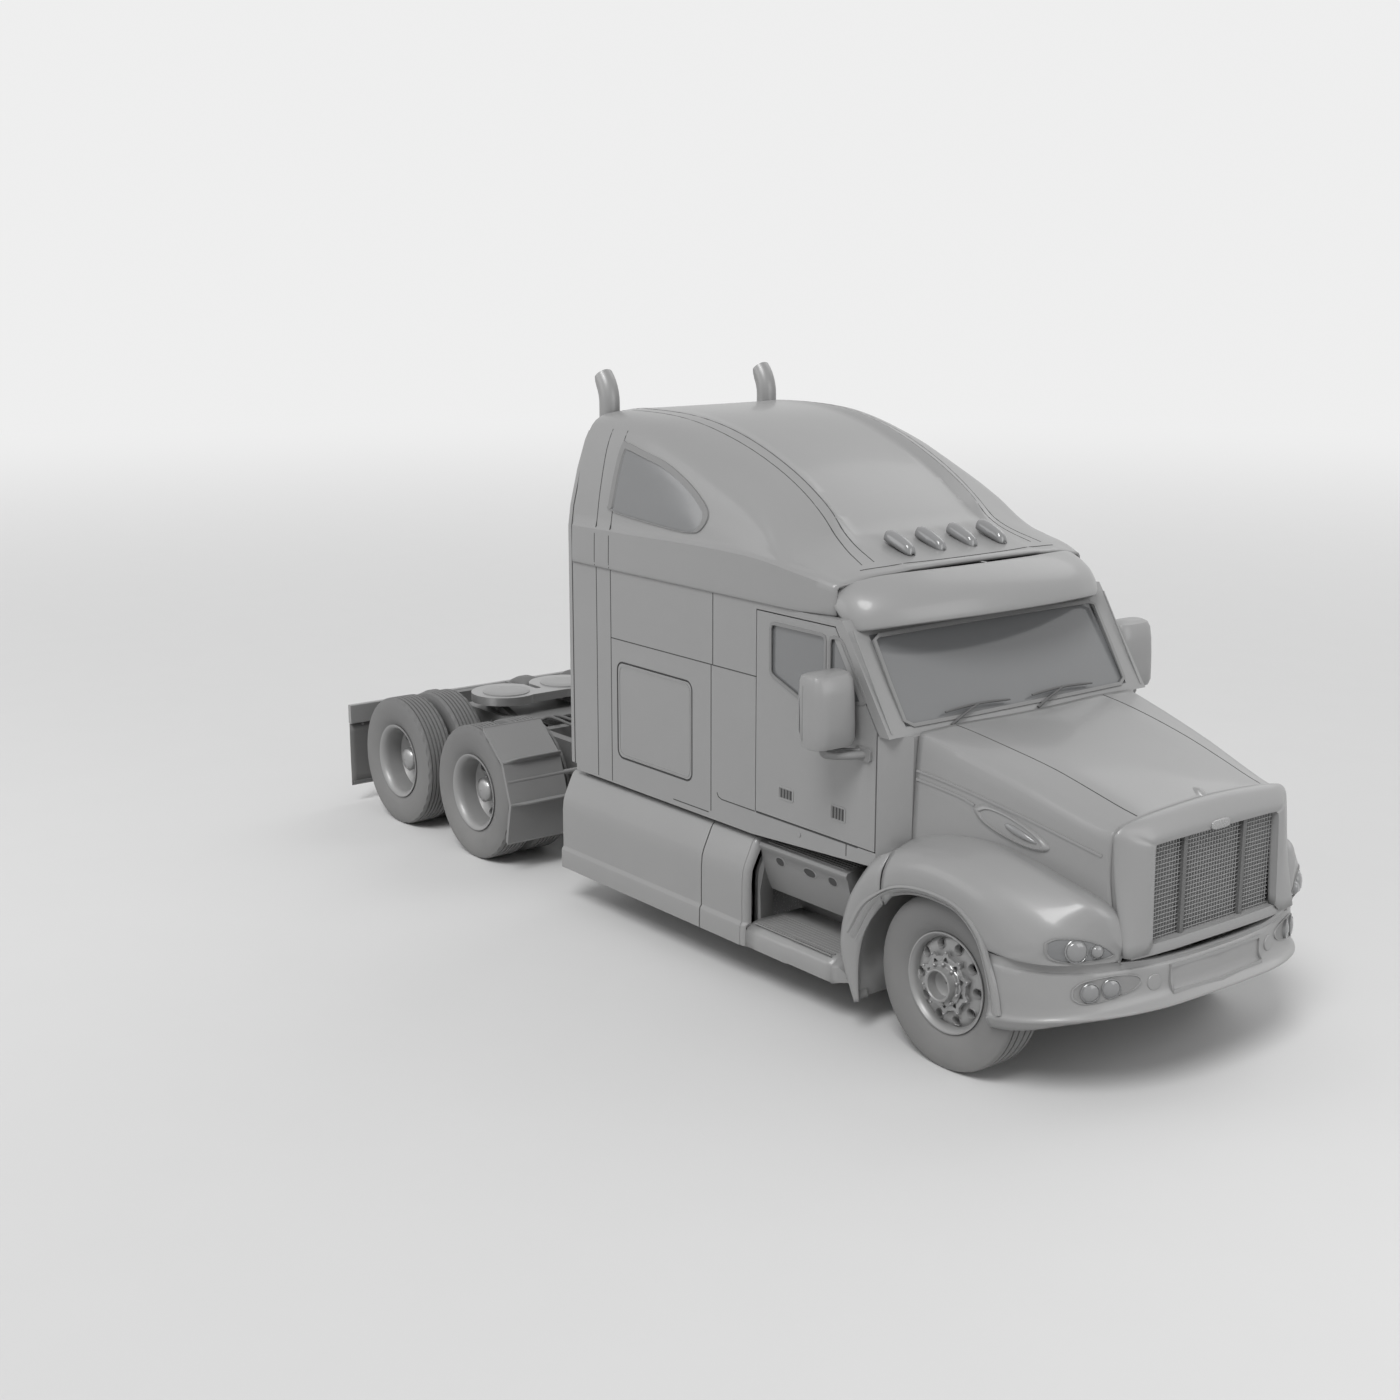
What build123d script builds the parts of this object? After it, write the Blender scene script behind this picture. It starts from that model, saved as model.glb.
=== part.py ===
from build123d import *
import os
from math import cos, radians, sin

os.makedirs("parts", exist_ok=True)

# A long-nose sleeper tractor unit, 6 x 4, on ten tyres. Row frame: +X forward,
# +Y left, +Z up, origin on the ground under the middle of the whole vehicle.

# Whole vehicle
overall_length = 8380.0
front_overhang = 1145.0
wheelbase = 5811.0
tandem_spacing = 1219.0
tyre_radius = 535.0
tyre_width = 280.0
seat_gap = 0.3
panel_gap = 8.0
overrun = 60.0
front_axle_x = overall_length / 2 - front_overhang
rear_end_x = -overall_length / 2
tandem_x = front_axle_x - wheelbase
drive_axle_xs = (tandem_x + tandem_spacing / 2, tandem_x - tandem_spacing / 2)
hub_z = tyre_radius

# Wheels
rim_radius = 300.0
rim_wall = 14.0
hub_radius = 118.0
spindle_radius = 45.0
hub_reach = 150.0
front_tyre_face_y = 1154.0
front_wheel_y = front_tyre_face_y - tyre_width / 2
dual_face_y = 1214.0
dual_pitch = 330.0
dual_outer_y = dual_face_y - tyre_width / 2
dual_inner_y = dual_outer_y - dual_pitch
disc_thickness = 24.0
hand_hole_radius = 34.0
hand_hole_ring = 228.0
hand_holes = 10
drum_radius = 205.0
drum_width = 170.0

# Frame
rail_outer_y = 432.0
rail_height = 270.0
rail_flange = 85.0
rail_web = 10.0
rail_top_z = 875.0
rail_bottom_z = rail_top_z - rail_height
rail_front_ahead = 760.0
rail_front_x = front_axle_x + rail_front_ahead
crossbar_depth = 60.0
rail_rear_x = rear_end_x + crossbar_depth
rail_length = rail_front_x - rail_rear_x
crossmember_length = 90.0
crossmember_height = 115.0
crossmember_gap = 318.5
engine_rear_setback = 440.0
gearbox_length = 880.0
gearbox_rear_x = front_axle_x - engine_rear_setback - gearbox_length
crossmember_place_shares = (0.0, 0.30, 0.571, 0.786, 1.0)

# Cab and sleeper shell
cab_half_width = 1150.0
side_wall = 60.0
cab_rear_setback = 3793.0
cab_rear_x = front_axle_x - cab_rear_setback
cab_floor_z = 1020.0
floor_thickness = 60.0
cab_belt_z = 2550.0
sill_front_z = 1090.0
sill_break_setback = 1770.0
sill_break_x = front_axle_x - sill_break_setback
screen_low_setback = 500.0
screen_low_z = 1905.0
screen_top_setback = 900.0
screen_low_x = front_axle_x - screen_low_setback
screen_top_x = front_axle_x - screen_top_setback
screen_frame = 85.0
screen_thickness = 12.0
screen_side_margin = 160.0
screen_edge_margin = 45.0

# Door
door_rear_setback = 1735.0
door_front_setback = 612.0
door_low_z = 1185.0
door_top_z = 2500.0
door_thickness = 50.0
door_lip = 16.0
door_rear_x = front_axle_x - door_rear_setback
door_front_x = front_axle_x - door_front_setback
window_rear_setback = 1600.0
window_post_setback = 1060.0
window_post = 40.0
window_sill_z = 1985.0
window_rear_sill_z = 2110.0
window_top_z = 2440.0
window_dip_length = 340.0
vent_low_z = 2025.0
vent_front_low_z = 2085.0
window_margin = 50.0
glass_thickness = 8.0

# Luggage hatch
hatch_rear_setback = 3262.0
hatch_front_setback = 2420.0
hatch_low_z = 1232.0
hatch_top_z = 1906.0
hatch_corner = 55.0
hatch_thickness = 45.0

# Roof cap
roof_top_z = 3610.0
band_top_z = 2810.0
band_proud = 14.0
roof_top_half = 905.0
roof_corner = 90.0
roof_wall = 50.0
roof_flat_setback = 3250.0
roof_mid_setback = 2360.0
roof_mid_z = 3455.0
ledge_rear_setback = 1640.0
ledge_rear_z = 3055.0
brow_setback = 1050.0
brow_z = 2738.0
nose_setback = 930.0
roof_window_rear = 3400.0
roof_window_front = 2350.0
roof_window_low_z = 2935.0
roof_window_top_z = 3350.0
roof_window_shares = ((0, 0), (0.92, -0.05), (1, 0.22), (0.6, 0.83), (0.05, 1))

# Hood and grille shell
hood_rear_setback = 455.0
hood_rear_x = front_axle_x - hood_rear_setback
hood_rear_z = 1905.0
hood_rear_half = 965.0
hood_mid_ahead = 250.0
hood_mid_z = 1765.0
hood_mid_half = 870.0
hood_front_z = 1545.0
hood_front_half = 730.0
hood_crown = 45.0
hood_corner = 70.0
hood_wall = 26.0
grille_face_ahead = 1020.0
grille_open_low_z = 945.0
grille_open_top_z = 1512.0
grille_open_half = 545.0
grille_corner = 30.0
grille_cut = 200.0
headlamp_rear_ahead = 640.0
headlamp_inner_y = 765.0
headlamp_outer_y = 1190.0
headlamp_peak_y = 1040.0
headlamp_low_z = 893.0
headlamp_mid_z = 945.0
headlamp_top_z = 1015.0
lens_thickness = 22.0
hood_pivot_ahead = 985.0
hood_pivot_z = 888.0
hinge_y = 200.0
hinge_lug_width = 30.0
hinge_lug_radius = 16.0
hinge_pin_radius = 10.0
hinge_clearance = 5.0

# Fender
fender_half = 1250.0
fender_inner = 640.0
fender_low_z = 868.0
fender_front_ahead = 900.0
fender_wall = 25.0
fender_front_radius = 2150.0
arch_radius = 570.0
arch_back = 40.0
arch_z = 500.0

# Bumper
bumper_top_z = 842.0
bumper_low_z = 520.0
bumper_lip_height = 40.0
bumper_wall = 60.0


def export(builder, label):
    """Label a finished piece and write its file."""
    builder.part.label = label
    export_step(builder.part, f"parts/{label}.step")


# Ladder frame: two channels, open towards each other, with their crossmembers
crossmember_z = rail_top_z - rail_web - crossmember_height / 2
with BuildPart() as frame:
    with BuildSketch(Plane.YZ.offset(rail_rear_x)):
        with BuildLine():
            Polyline(
                (rail_outer_y - rail_flange, rail_bottom_z),
                (rail_outer_y, rail_bottom_z),
                (rail_outer_y, rail_top_z),
                (rail_outer_y - rail_flange, rail_top_z),
                (rail_outer_y - rail_flange, rail_top_z - rail_web),
                (rail_outer_y - rail_web, rail_top_z - rail_web),
                (rail_outer_y - rail_web, rail_bottom_z + rail_web),
                (rail_outer_y - rail_flange, rail_bottom_z + rail_web),
                close=True,
            )
        make_face()
    extrude(amount=rail_length)
    mirror(about=Plane.XZ)
    first_x = rail_rear_x + crossmember_length / 2
    last_x = gearbox_rear_x - crossmember_gap
    crossmember_xs = [first_x + share * (last_x - first_x) for share in crossmember_place_shares]
    for x in (*crossmember_xs, rail_front_x - crossmember_length / 2):
        with Locations((x, 0, crossmember_z)):
            Box(crossmember_length, 2 * (rail_outer_y - rail_web), crossmember_height)
export(frame, "frame")

# Engine with its gearbox, one plain block between the rails
engine_front_ahead = 600.0
engine_half_width = 335.0
engine_low_z = 630.0
engine_top_z = 1400.0
mount_length = 120.0
mount_height = 110.0
gearbox_half = 190.0
gearbox_top_z = 960.0
with BuildPart() as engine:
    with BuildSketch(Plane.XY.offset(engine_low_z)):
        with Locations((front_axle_x + (engine_front_ahead - engine_rear_setback) / 2, 0)):
            Rectangle(engine_front_ahead + engine_rear_setback, 2 * engine_half_width)
    extrude(amount=engine_top_z - engine_low_z)
    with BuildSketch(Plane.XY.offset(engine_low_z)):
        with Locations((front_axle_x - engine_rear_setback - gearbox_length / 2, 0)):
            Rectangle(gearbox_length, 2 * gearbox_half)
    extrude(amount=gearbox_top_z - engine_low_z)
    with Locations(
        (front_axle_x, 0, engine_low_z + mount_height),
        (front_axle_x - engine_rear_setback - gearbox_length / 2, 0, engine_low_z + mount_height),
    ):
        Box(mount_length, 2 * (rail_outer_y - rail_web), mount_height)
export(engine, "engine")

# Radiator core ahead of the engine, standing on the rails
radiator_ahead = 690.0
radiator_depth = 70.0
radiator_half = 430.0
radiator_top_z = 1440.0
with BuildPart() as radiator:
    with BuildSketch(Plane.XY.offset(rail_top_z)):
        with Locations((front_axle_x + radiator_ahead, 0)):
            Rectangle(radiator_depth, 2 * radiator_half)
    extrude(amount=radiator_top_z - rail_top_z)
export(radiator, "radiator")

# Front axle beam with the springs that it hangs on
kingpin_y = 830.0
kingpin_radius = 25.0
eye_radius = 50.0
eye_height = 120.0
beam_depth = 90.0
beam_height = 80.0
beam_z = hub_z - 65.0
beam_drop_y = 600.0
spring_width = 80.0
spring_thickness = 38.0
spring_reach = 640.0
with BuildPart() as front_axle:
    with Locations((front_axle_x, 0, beam_z)):
        Box(beam_depth, 2 * beam_drop_y, beam_height)
    for side in (-1, 1):
        with Locations((front_axle_x, side * (beam_drop_y + kingpin_y) / 2, hub_z)):
            Box(beam_depth, kingpin_y - beam_drop_y, beam_height)
        with Locations((front_axle_x, side * (beam_drop_y - beam_height / 4), (beam_z + hub_z) / 2)):
            Box(beam_depth, beam_height / 2, hub_z - beam_z + beam_height)
    for side in (-1, 1):
        with Locations((front_axle_x, side * kingpin_y, hub_z)):
            Cylinder(eye_radius, eye_height)
            Cylinder(kingpin_radius + seat_gap, eye_height + overrun, mode=Mode.SUBTRACT)
    with BuildSketch(Plane.XZ.offset(-(rail_outer_y - spring_width))):
        with BuildLine():
            top = ThreePointArc(
                (front_axle_x - spring_reach, rail_bottom_z),
                (front_axle_x, beam_z + beam_height / 2 + spring_thickness),
                (front_axle_x + spring_reach, rail_bottom_z),
            )
            Line(top @ 1, (front_axle_x + spring_reach, rail_bottom_z - spring_thickness))
            low = ThreePointArc(
                (front_axle_x + spring_reach, rail_bottom_z - spring_thickness),
                (front_axle_x, beam_z + beam_height / 2 - spring_thickness / 4),
                (front_axle_x - spring_reach, rail_bottom_z - spring_thickness),
            )
            Line(low @ 1, top @ 0)
        make_face()
    extrude(amount=-spring_width)
    mirror(about=Plane.XZ)
export(front_axle, "front_axle")

# Drive axles, each a tube, a bowl and two spindles, with the propeller shafts
axle_tube_radius = 70.0
bowl_radius = 190.0
bowl_width = 230.0
tube_end_y = 560.0
spindle_setback = 30.0
spindle_end_y = dual_outer_y - dual_pitch / 2 + hub_reach - spindle_setback
shaft_radius = 50.0
shaft_front_z = 690.0
pinion_reach = 330.0
flange_rim = 30.0
with BuildPart() as driveline:
    for axle_x in drive_axle_xs:
        with BuildSketch(Plane.XZ.offset(-tube_end_y)):
            with Locations((axle_x, hub_z)):
                Circle(axle_tube_radius)
        extrude(amount=2 * tube_end_y)
        with BuildSketch(Plane.XZ.offset(-bowl_width / 2)):
            with Locations((axle_x, hub_z)):
                Circle(bowl_radius)
        extrude(amount=bowl_width)
        with BuildSketch(Plane.XZ.offset(-spindle_end_y)):
            with Locations((axle_x, hub_z)):
                Circle(spindle_radius)
        extrude(amount=2 * spindle_end_y)
        with BuildSketch(Plane.YZ.offset(axle_x)):
            with Locations((0, hub_z)):
                Circle(shaft_radius + flange_rim)
        extrude(amount=pinion_reach)
    with BuildSketch(Plane.YZ.offset(drive_axle_xs[0] + pinion_reach)):
        with Locations((0, hub_z)):
            Circle(shaft_radius)
    with BuildSketch(Plane.YZ.offset(gearbox_rear_x)):
        with Locations((0, shaft_front_z)):
            Circle(shaft_radius)
    loft()
    with BuildSketch(Plane.YZ.offset(drive_axle_xs[1] + pinion_reach)):
        with Locations((0, hub_z)):
            Circle(shaft_radius)
    extrude(amount=tandem_spacing - pinion_reach)
export(driveline, "driveline")

# Trailing arms under the drive axles, hung from the rails, with their air springs
arm_width = 70.0
arm_height = 60.0
arm_ahead = 420.0
arm_back = 330.0
hanger_length = 110.0
arm_y = rail_outer_y - rail_flange / 2
arm_top_z = hub_z - axle_tube_radius
air_spring_radius = 75.0
air_spring_setback = 245.0
with BuildPart() as drive_suspension:
    for axle_x in drive_axle_xs:
        with BuildSketch(Plane.XY.offset(arm_top_z)):
            with Locations((axle_x + (arm_ahead - arm_back) / 2, arm_y)):
                Rectangle(arm_ahead + arm_back, arm_width)
        extrude(amount=-arm_height)
        with BuildSketch(Plane.XY.offset(rail_bottom_z)):
            with Locations((axle_x + arm_ahead - hanger_length / 2, arm_y)):
                Rectangle(hanger_length, arm_width)
        extrude(amount=-(rail_bottom_z - arm_top_z + arm_height))
        with BuildSketch(Plane.XY.offset(arm_top_z)):
            with Locations((axle_x - air_spring_setback, arm_y)):
                Circle(air_spring_radius)
        extrude(amount=rail_bottom_z - arm_top_z)
    mirror(about=Plane.XZ)
export(drive_suspension, "drive_suspension")

# Fifth wheel base: a plate on the rails with a bored pedestal on each side
fifth_setback = 340.0
fifth_x = tandem_x - fifth_setback
fifth_top_z = 1060.0
fifth_thickness = 70.0
fifth_lobe_radius = 285.0
fifth_lobe_y = 290.0
base_plate_thickness = 16.0
base_plate_length = 900.0
pedestal_width = 60.0
pedestal_length = 420.0
pedestal_y = 330.0
pivot_drop = 46.0
pivot_eye_radius = 40.0
pivot_radius = 16.0
pivot_z = fifth_top_z - fifth_thickness - pivot_drop
base_top_z = rail_top_z + base_plate_thickness
with BuildPart() as fifth_wheel_base:
    with BuildSketch(Plane.XY.offset(rail_top_z)):
        with Locations((fifth_x, 0)):
            Rectangle(base_plate_length, 2 * rail_outer_y)
    extrude(amount=base_plate_thickness)
    with BuildSketch(Plane.XZ.offset(-(pedestal_y + pedestal_width / 2))):
        with BuildLine():
            Polyline(
                (fifth_x - pedestal_length / 2, base_top_z),
                (fifth_x + pedestal_length / 2, base_top_z),
                (fifth_x + pivot_eye_radius, pivot_z),
                (fifth_x - pivot_eye_radius, pivot_z),
                close=True,
            )
        make_face()
        with Locations((fifth_x, pivot_z)):
            Circle(pivot_eye_radius)
            Circle(pivot_radius + seat_gap, mode=Mode.SUBTRACT)
    extrude(amount=pedestal_width)
    mirror(about=Plane.XZ)
export(fifth_wheel_base, "fifth_wheel_base")

# Fifth wheel plate: two round lobes, a front bridge, the throat for the pin, and
# a pair of lugs with their cross pin on each side
throat_half = 27.0
throat_ahead = 60.0
bridge_length = 260.0
plate_lug = 18.0
plate_lug_radius = 36.0
fifth_low_z = fifth_top_z - fifth_thickness
lug_reach = pedestal_width / 2 + seat_gap + plate_lug
with BuildPart() as fifth_wheel_plate:
    with BuildSketch(Plane.XY.offset(fifth_low_z)):
        with Locations((fifth_x, fifth_lobe_y), (fifth_x, -fifth_lobe_y)):
            Circle(fifth_lobe_radius)
        with Locations((fifth_x + bridge_length / 2, 0)):
            Rectangle(bridge_length, 2 * fifth_lobe_y)
        with Locations((fifth_x + throat_ahead - fifth_lobe_radius, 0)):
            Rectangle(2 * fifth_lobe_radius, 2 * throat_half, mode=Mode.SUBTRACT)
        with Locations((fifth_x + throat_ahead, 0)):
            Circle(throat_half, mode=Mode.SUBTRACT)
    extrude(amount=fifth_thickness)
    for lug_y in (pedestal_y - lug_reach + plate_lug, pedestal_y + lug_reach):
        with BuildSketch(Plane.XZ.offset(-lug_y)):
            with Locations((fifth_x, pivot_z)):
                Circle(plate_lug_radius)
            with Locations((fifth_x, (pivot_z + fifth_low_z) / 2)):
                Rectangle(2 * plate_lug_radius, fifth_low_z - pivot_z)
        extrude(amount=plate_lug)
    with BuildSketch(Plane.XZ.offset(-(pedestal_y + lug_reach))):
        with Locations((fifth_x, pivot_z)):
            Circle(pivot_radius)
    extrude(amount=2 * lug_reach)
    mirror(about=Plane.XZ)
export(fifth_wheel_plate, "fifth_wheel_plate")


def screen_x(z):
    """X of the windscreen's outer line at a height."""
    run_share = (z - screen_low_z) / (door_top_z - screen_low_z)
    return screen_low_x + run_share * (screen_top_x - screen_low_x)


def door_edge_x(z):
    """X of the door's slanted front edge at a height."""
    return screen_x(z) - screen_frame - 1.5 * panel_gap


def door_outline(grow):
    """Corner points of the door, grown outwards by a gap."""
    slant_low_z = screen_low_z + 2 * panel_gap
    return (
        (door_rear_x - grow, door_low_z - grow),
        (door_front_x + grow, door_low_z - grow),
        (door_front_x + grow, slant_low_z),
        (door_edge_x(door_top_z) + grow, door_top_z + grow),
        (door_rear_x - grow, door_top_z + grow),
    )


# Cab floor, rising to the front
cowl_rear_setback = 600.0
cowl_rear_x = front_axle_x - cowl_rear_setback
floor_flat_setback = 1440.0
floor_top_z = cab_floor_z + floor_thickness
with BuildPart() as cab_floor:
    with BuildSketch(Plane.XZ.offset(-(cab_half_width - side_wall))):
        with BuildLine():
            Polyline(
                (cab_rear_x + side_wall, cab_floor_z),
                (sill_break_x, cab_floor_z),
                (cowl_rear_x, sill_front_z),
                (cowl_rear_x, sill_front_z + floor_thickness),
                (front_axle_x - floor_flat_setback, floor_top_z),
                (cab_rear_x + side_wall, floor_top_z),
                close=True,
            )
        make_face()
    extrude(amount=2 * (cab_half_width - side_wall))
export(cab_floor, "cab_floor")


def floor_under_z(x):
    """Height of the floor's underside."""
    rise_share = max(0, (x - sill_break_x) / (cowl_rear_x - sill_break_x))
    return cab_floor_z + rise_share * (sill_front_z - cab_floor_z)


# Rubber and steel mounts under the cab
mount_place_shares = (0.03, 0.5, 0.93)
cab_mount_length = 100.0
with BuildPart() as cab_mounts:
    for place_share in mount_place_shares:
        mount_rear_x = cab_rear_x + place_share * (cowl_rear_x - cab_rear_x) - cab_mount_length / 2
        with BuildSketch(Plane.XY.offset(rail_top_z)):
            with Locations((mount_rear_x + cab_mount_length / 2, arm_y)):
                Rectangle(cab_mount_length, rail_flange)
        extrude(amount=floor_under_z(mount_rear_x) - rail_top_z)
    mirror(about=Plane.XZ)
export(cab_mounts, "cab_mounts")

# Side walls with rebated openings for the door and the hatch
hatch_x = front_axle_x - (hatch_rear_setback + hatch_front_setback) / 2
hatch_z = (hatch_low_z + hatch_top_z) / 2
hatch_length = hatch_rear_setback - hatch_front_setback
hatch_height = hatch_top_z - hatch_low_z
for side_name, side in (("right", -1), ("left", 1)):
    with BuildPart() as cab_side:
        with BuildSketch(Plane.XZ.offset(-side * cab_half_width)):
            with BuildLine():
                Polyline(
                    (cab_rear_x, cab_floor_z),
                    (sill_break_x, cab_floor_z),
                    (cowl_rear_x, sill_front_z),
                    (cowl_rear_x, screen_low_z),
                    (screen_x(screen_low_z) - screen_frame, screen_low_z),
                    (screen_x(cab_belt_z) - screen_frame, cab_belt_z),
                    (cab_rear_x, cab_belt_z),
                    close=True,
                )
            make_face()
        extrude(amount=side * side_wall)
        for grow, door_depth, hatch_depth in (
            (panel_gap, door_thickness + seat_gap, hatch_thickness + seat_gap),
            (-door_lip, side_wall, side_wall),
        ):
            corners = door_outline(grow)
            with BuildSketch(Plane.XZ.offset(-side * cab_half_width)):
                with BuildLine():
                    Polyline(
                        corners[0],
                        (door_front_x + overrun, corners[1][1]),
                        (door_front_x + overrun, corners[2][1]),
                        (door_edge_x(door_top_z) + overrun, corners[3][1]),
                        corners[4],
                        close=True,
                    )
                make_face()
            extrude(amount=side * door_depth, mode=Mode.SUBTRACT)
            with BuildSketch(Plane.XZ.offset(-side * cab_half_width)):
                with Locations((hatch_x, hatch_z)):
                    RectangleRounded(hatch_length + 2 * grow, hatch_height + 2 * grow, hatch_corner + grow)
            extrude(amount=side * hatch_depth, mode=Mode.SUBTRACT)
    export(cab_side, f"cab_side_{side_name}")

# Rear wall
with BuildPart() as cab_back:
    with BuildSketch(Plane.YZ.offset(cab_rear_x)):
        with Locations((0, (cab_floor_z + cab_belt_z) / 2)):
            Rectangle(2 * (cab_half_width - side_wall), cab_belt_z - cab_floor_z)
    extrude(amount=side_wall)
export(cab_back, "cab_back")

# Cowl: firewall and scuttle between the hood and the cab
cowl_front_x = hood_rear_x - panel_gap
cowl_low_front_z = 1250.0
cowl_front_half = 985.0
with BuildPart() as cowl:
    with BuildSketch(Plane.XZ.offset(-cab_half_width)):
        with BuildLine():
            Polyline(
                (cowl_rear_x, sill_front_z),
                (cowl_front_x, cowl_low_front_z),
                (cowl_front_x, screen_low_z),
                (cowl_rear_x, screen_low_z),
                close=True,
            )
        make_face()
    extrude(amount=2 * cab_half_width)
    with BuildSketch(Plane.XY.offset(sill_front_z - overrun)):
        with BuildLine():
            Polyline(
                (cowl_rear_x, -cab_half_width),
                (cowl_front_x, -cowl_front_half),
                (cowl_front_x, cowl_front_half),
                (cowl_rear_x, cab_half_width),
                close=True,
            )
        make_face()
    extrude(amount=screen_low_z - sill_front_z + 2 * overrun, mode=Mode.INTERSECT)
export(cowl, "cowl")

# Windscreen frame: pillars, lower rail and header in one slanted piece
screen_open_low_z = screen_low_z + screen_edge_margin
screen_open_top_z = door_top_z - screen_edge_margin
screen_open_half = cab_half_width - screen_side_margin
with BuildPart() as windscreen_frame:
    with BuildSketch(Plane.XZ.offset(-cab_half_width)):
        with BuildLine():
            Polyline(
                (screen_x(screen_low_z) - screen_frame, screen_low_z),
                (screen_x(screen_low_z), screen_low_z),
                (screen_x(cab_belt_z), cab_belt_z),
                (screen_x(cab_belt_z) - screen_frame, cab_belt_z),
                close=True,
            )
        make_face()
    extrude(amount=2 * cab_half_width)
    with BuildSketch(Plane.XZ.offset(-screen_open_half)):
        with BuildLine():
            Polyline(
                (screen_x(screen_open_low_z) - screen_frame - overrun, screen_open_low_z),
                (screen_x(screen_open_low_z) + overrun, screen_open_low_z),
                (screen_x(screen_open_top_z) + overrun, screen_open_top_z),
                (screen_x(screen_open_top_z) - screen_frame - overrun, screen_open_top_z),
                close=True,
            )
        make_face()
    extrude(amount=2 * screen_open_half, mode=Mode.SUBTRACT)
export(windscreen_frame, "windscreen_frame")

# Windscreen pane
screen_sink = 14.0
with BuildPart() as windscreen:
    with BuildSketch(Plane.XZ.offset(-screen_open_half)):
        with BuildLine():
            Polyline(
                (screen_x(screen_open_low_z) - screen_sink - screen_thickness, screen_open_low_z),
                (screen_x(screen_open_low_z) - screen_sink, screen_open_low_z),
                (screen_x(screen_open_top_z) - screen_sink, screen_open_top_z),
                (screen_x(screen_open_top_z) - screen_sink - screen_thickness, screen_open_top_z),
                close=True,
            )
        make_face()
    extrude(amount=2 * screen_open_half)
export(windscreen, "windscreen")


def roof_form(inset, low_z):
    """The roof cap's closed outer form, drawn in by an inset, down to a height."""
    rear_x = cab_rear_x + inset
    top_z = roof_top_z - inset
    with BuildPart() as form:
        with BuildSketch(Plane.XZ.offset(-cab_half_width - overrun)):
            with BuildLine():
                Polyline(
                    (front_axle_x - nose_setback - inset, cab_belt_z - overrun),
                    (rear_x, cab_belt_z - overrun),
                    (rear_x, top_z),
                    (front_axle_x - roof_flat_setback, top_z),
                )
                ThreePointArc(
                    (front_axle_x - roof_flat_setback, top_z),
                    (front_axle_x - roof_mid_setback - inset / 2, roof_mid_z - inset),
                    (front_axle_x - ledge_rear_setback - inset, ledge_rear_z - inset / 2),
                )
                Polyline(
                    (front_axle_x - ledge_rear_setback - inset, ledge_rear_z - inset / 2),
                    (front_axle_x - brow_setback - inset, brow_z - inset / 2),
                    (front_axle_x - nose_setback - inset, brow_z - (brow_setback - nose_setback)),
                    (front_axle_x - nose_setback - inset, cab_belt_z - overrun),
                )
            make_face()
        extrude(amount=2 * (cab_half_width + overrun))
        with BuildSketch(Plane.YZ.offset(cab_rear_x - overrun)):
            base_half = cab_half_width + band_proud - inset
            with BuildLine():
                Polyline(
                    (-base_half, low_z),
                    (base_half, low_z),
                    (base_half, band_top_z),
                    (roof_top_half - inset, roof_top_z - inset),
                    (inset - roof_top_half, roof_top_z - inset),
                    (-base_half, band_top_z),
                    close=True,
                )
            make_face()
            if not inset:
                fillet(vertices().group_by(Axis.Y)[-1], roof_corner)
        extrude(amount=cab_rear_setback, mode=Mode.INTERSECT)
    return form.part


# Roof cap over the cab and the sleeper, hollow and open below
roof_outer = roof_form(0, cab_belt_z)
roof_core = roof_form(roof_wall, cab_belt_z - overrun)
roof_window_outline = [
    (
        front_axle_x - roof_window_rear + along_share * (roof_window_rear - roof_window_front),
        roof_window_low_z + up_share * (roof_window_top_z - roof_window_low_z),
    )
    for along_share, up_share in roof_window_shares
]
with BuildPart() as window_prism:
    with BuildSketch(Plane.XZ.offset(-cab_half_width - overrun)):
        with BuildLine():
            Polyline(*roof_window_outline, close=True)
        make_face()
    extrude(amount=2 * (cab_half_width + overrun))
with BuildPart() as roof_cap:
    add(roof_outer)
    add(roof_core, mode=Mode.SUBTRACT)
    add(window_prism.part, mode=Mode.SUBTRACT)
export(roof_cap, "roof_cap")

# Side panes of the roof cap
with BuildPart() as roof_windows:
    add(roof_form(screen_sink, cab_belt_z))
    add(roof_form(screen_sink + glass_thickness, cab_belt_z - overrun), mode=Mode.SUBTRACT)
    add(window_prism.part, mode=Mode.INTERSECT)
export(roof_windows, "roof_windows")

# Sun visor over the windscreen: bowed forwards in the middle, its root on the roof's brow
visor_thickness = 24.0
visor_fall = 32.0
visor_rows = (
    # half width, top setback, top height, lip setback, lip height
    (1030.0, 1008.0, 2734.0, 798.0, 2516.0),
    (640.0, 888.0, 2788.0, 678.0, 2541.0),
    (0.0, 815.0, 2806.0, 612.0, 2545.0),
)
visor_stations = [(-half, *row) for half, *row in visor_rows]
visor_stations += [(half, *row) for half, *row in reversed(visor_rows[:-1])]


def visor_section(y, top_setback, top_z, lip_setback, lip_z):
    """The visor's closed outline at one place across the cab."""
    brow_x = front_axle_x - brow_setback
    top_x = front_axle_x - top_setback
    lip_x = front_axle_x - lip_setback
    with BuildSketch(Plane.XZ.offset(-y)) as section:
        with BuildLine():
            Polyline(
                (brow_x, brow_z),
                (top_x, top_z),
                (lip_x, lip_z),
                (lip_x - visor_thickness, lip_z),
                (top_x, top_z - visor_fall),
                (brow_x + visor_thickness, brow_z - visor_thickness),
                close=True,
            )
        make_face()
    return section.sketch


with BuildPart() as sun_visor:
    for near_station, far_station in zip(visor_stations, visor_stations[1:]):
        add(visor_section(*near_station))
        add(visor_section(*far_station))
        loft(ruled=True)
export(sun_visor, "sun_visor")


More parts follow.
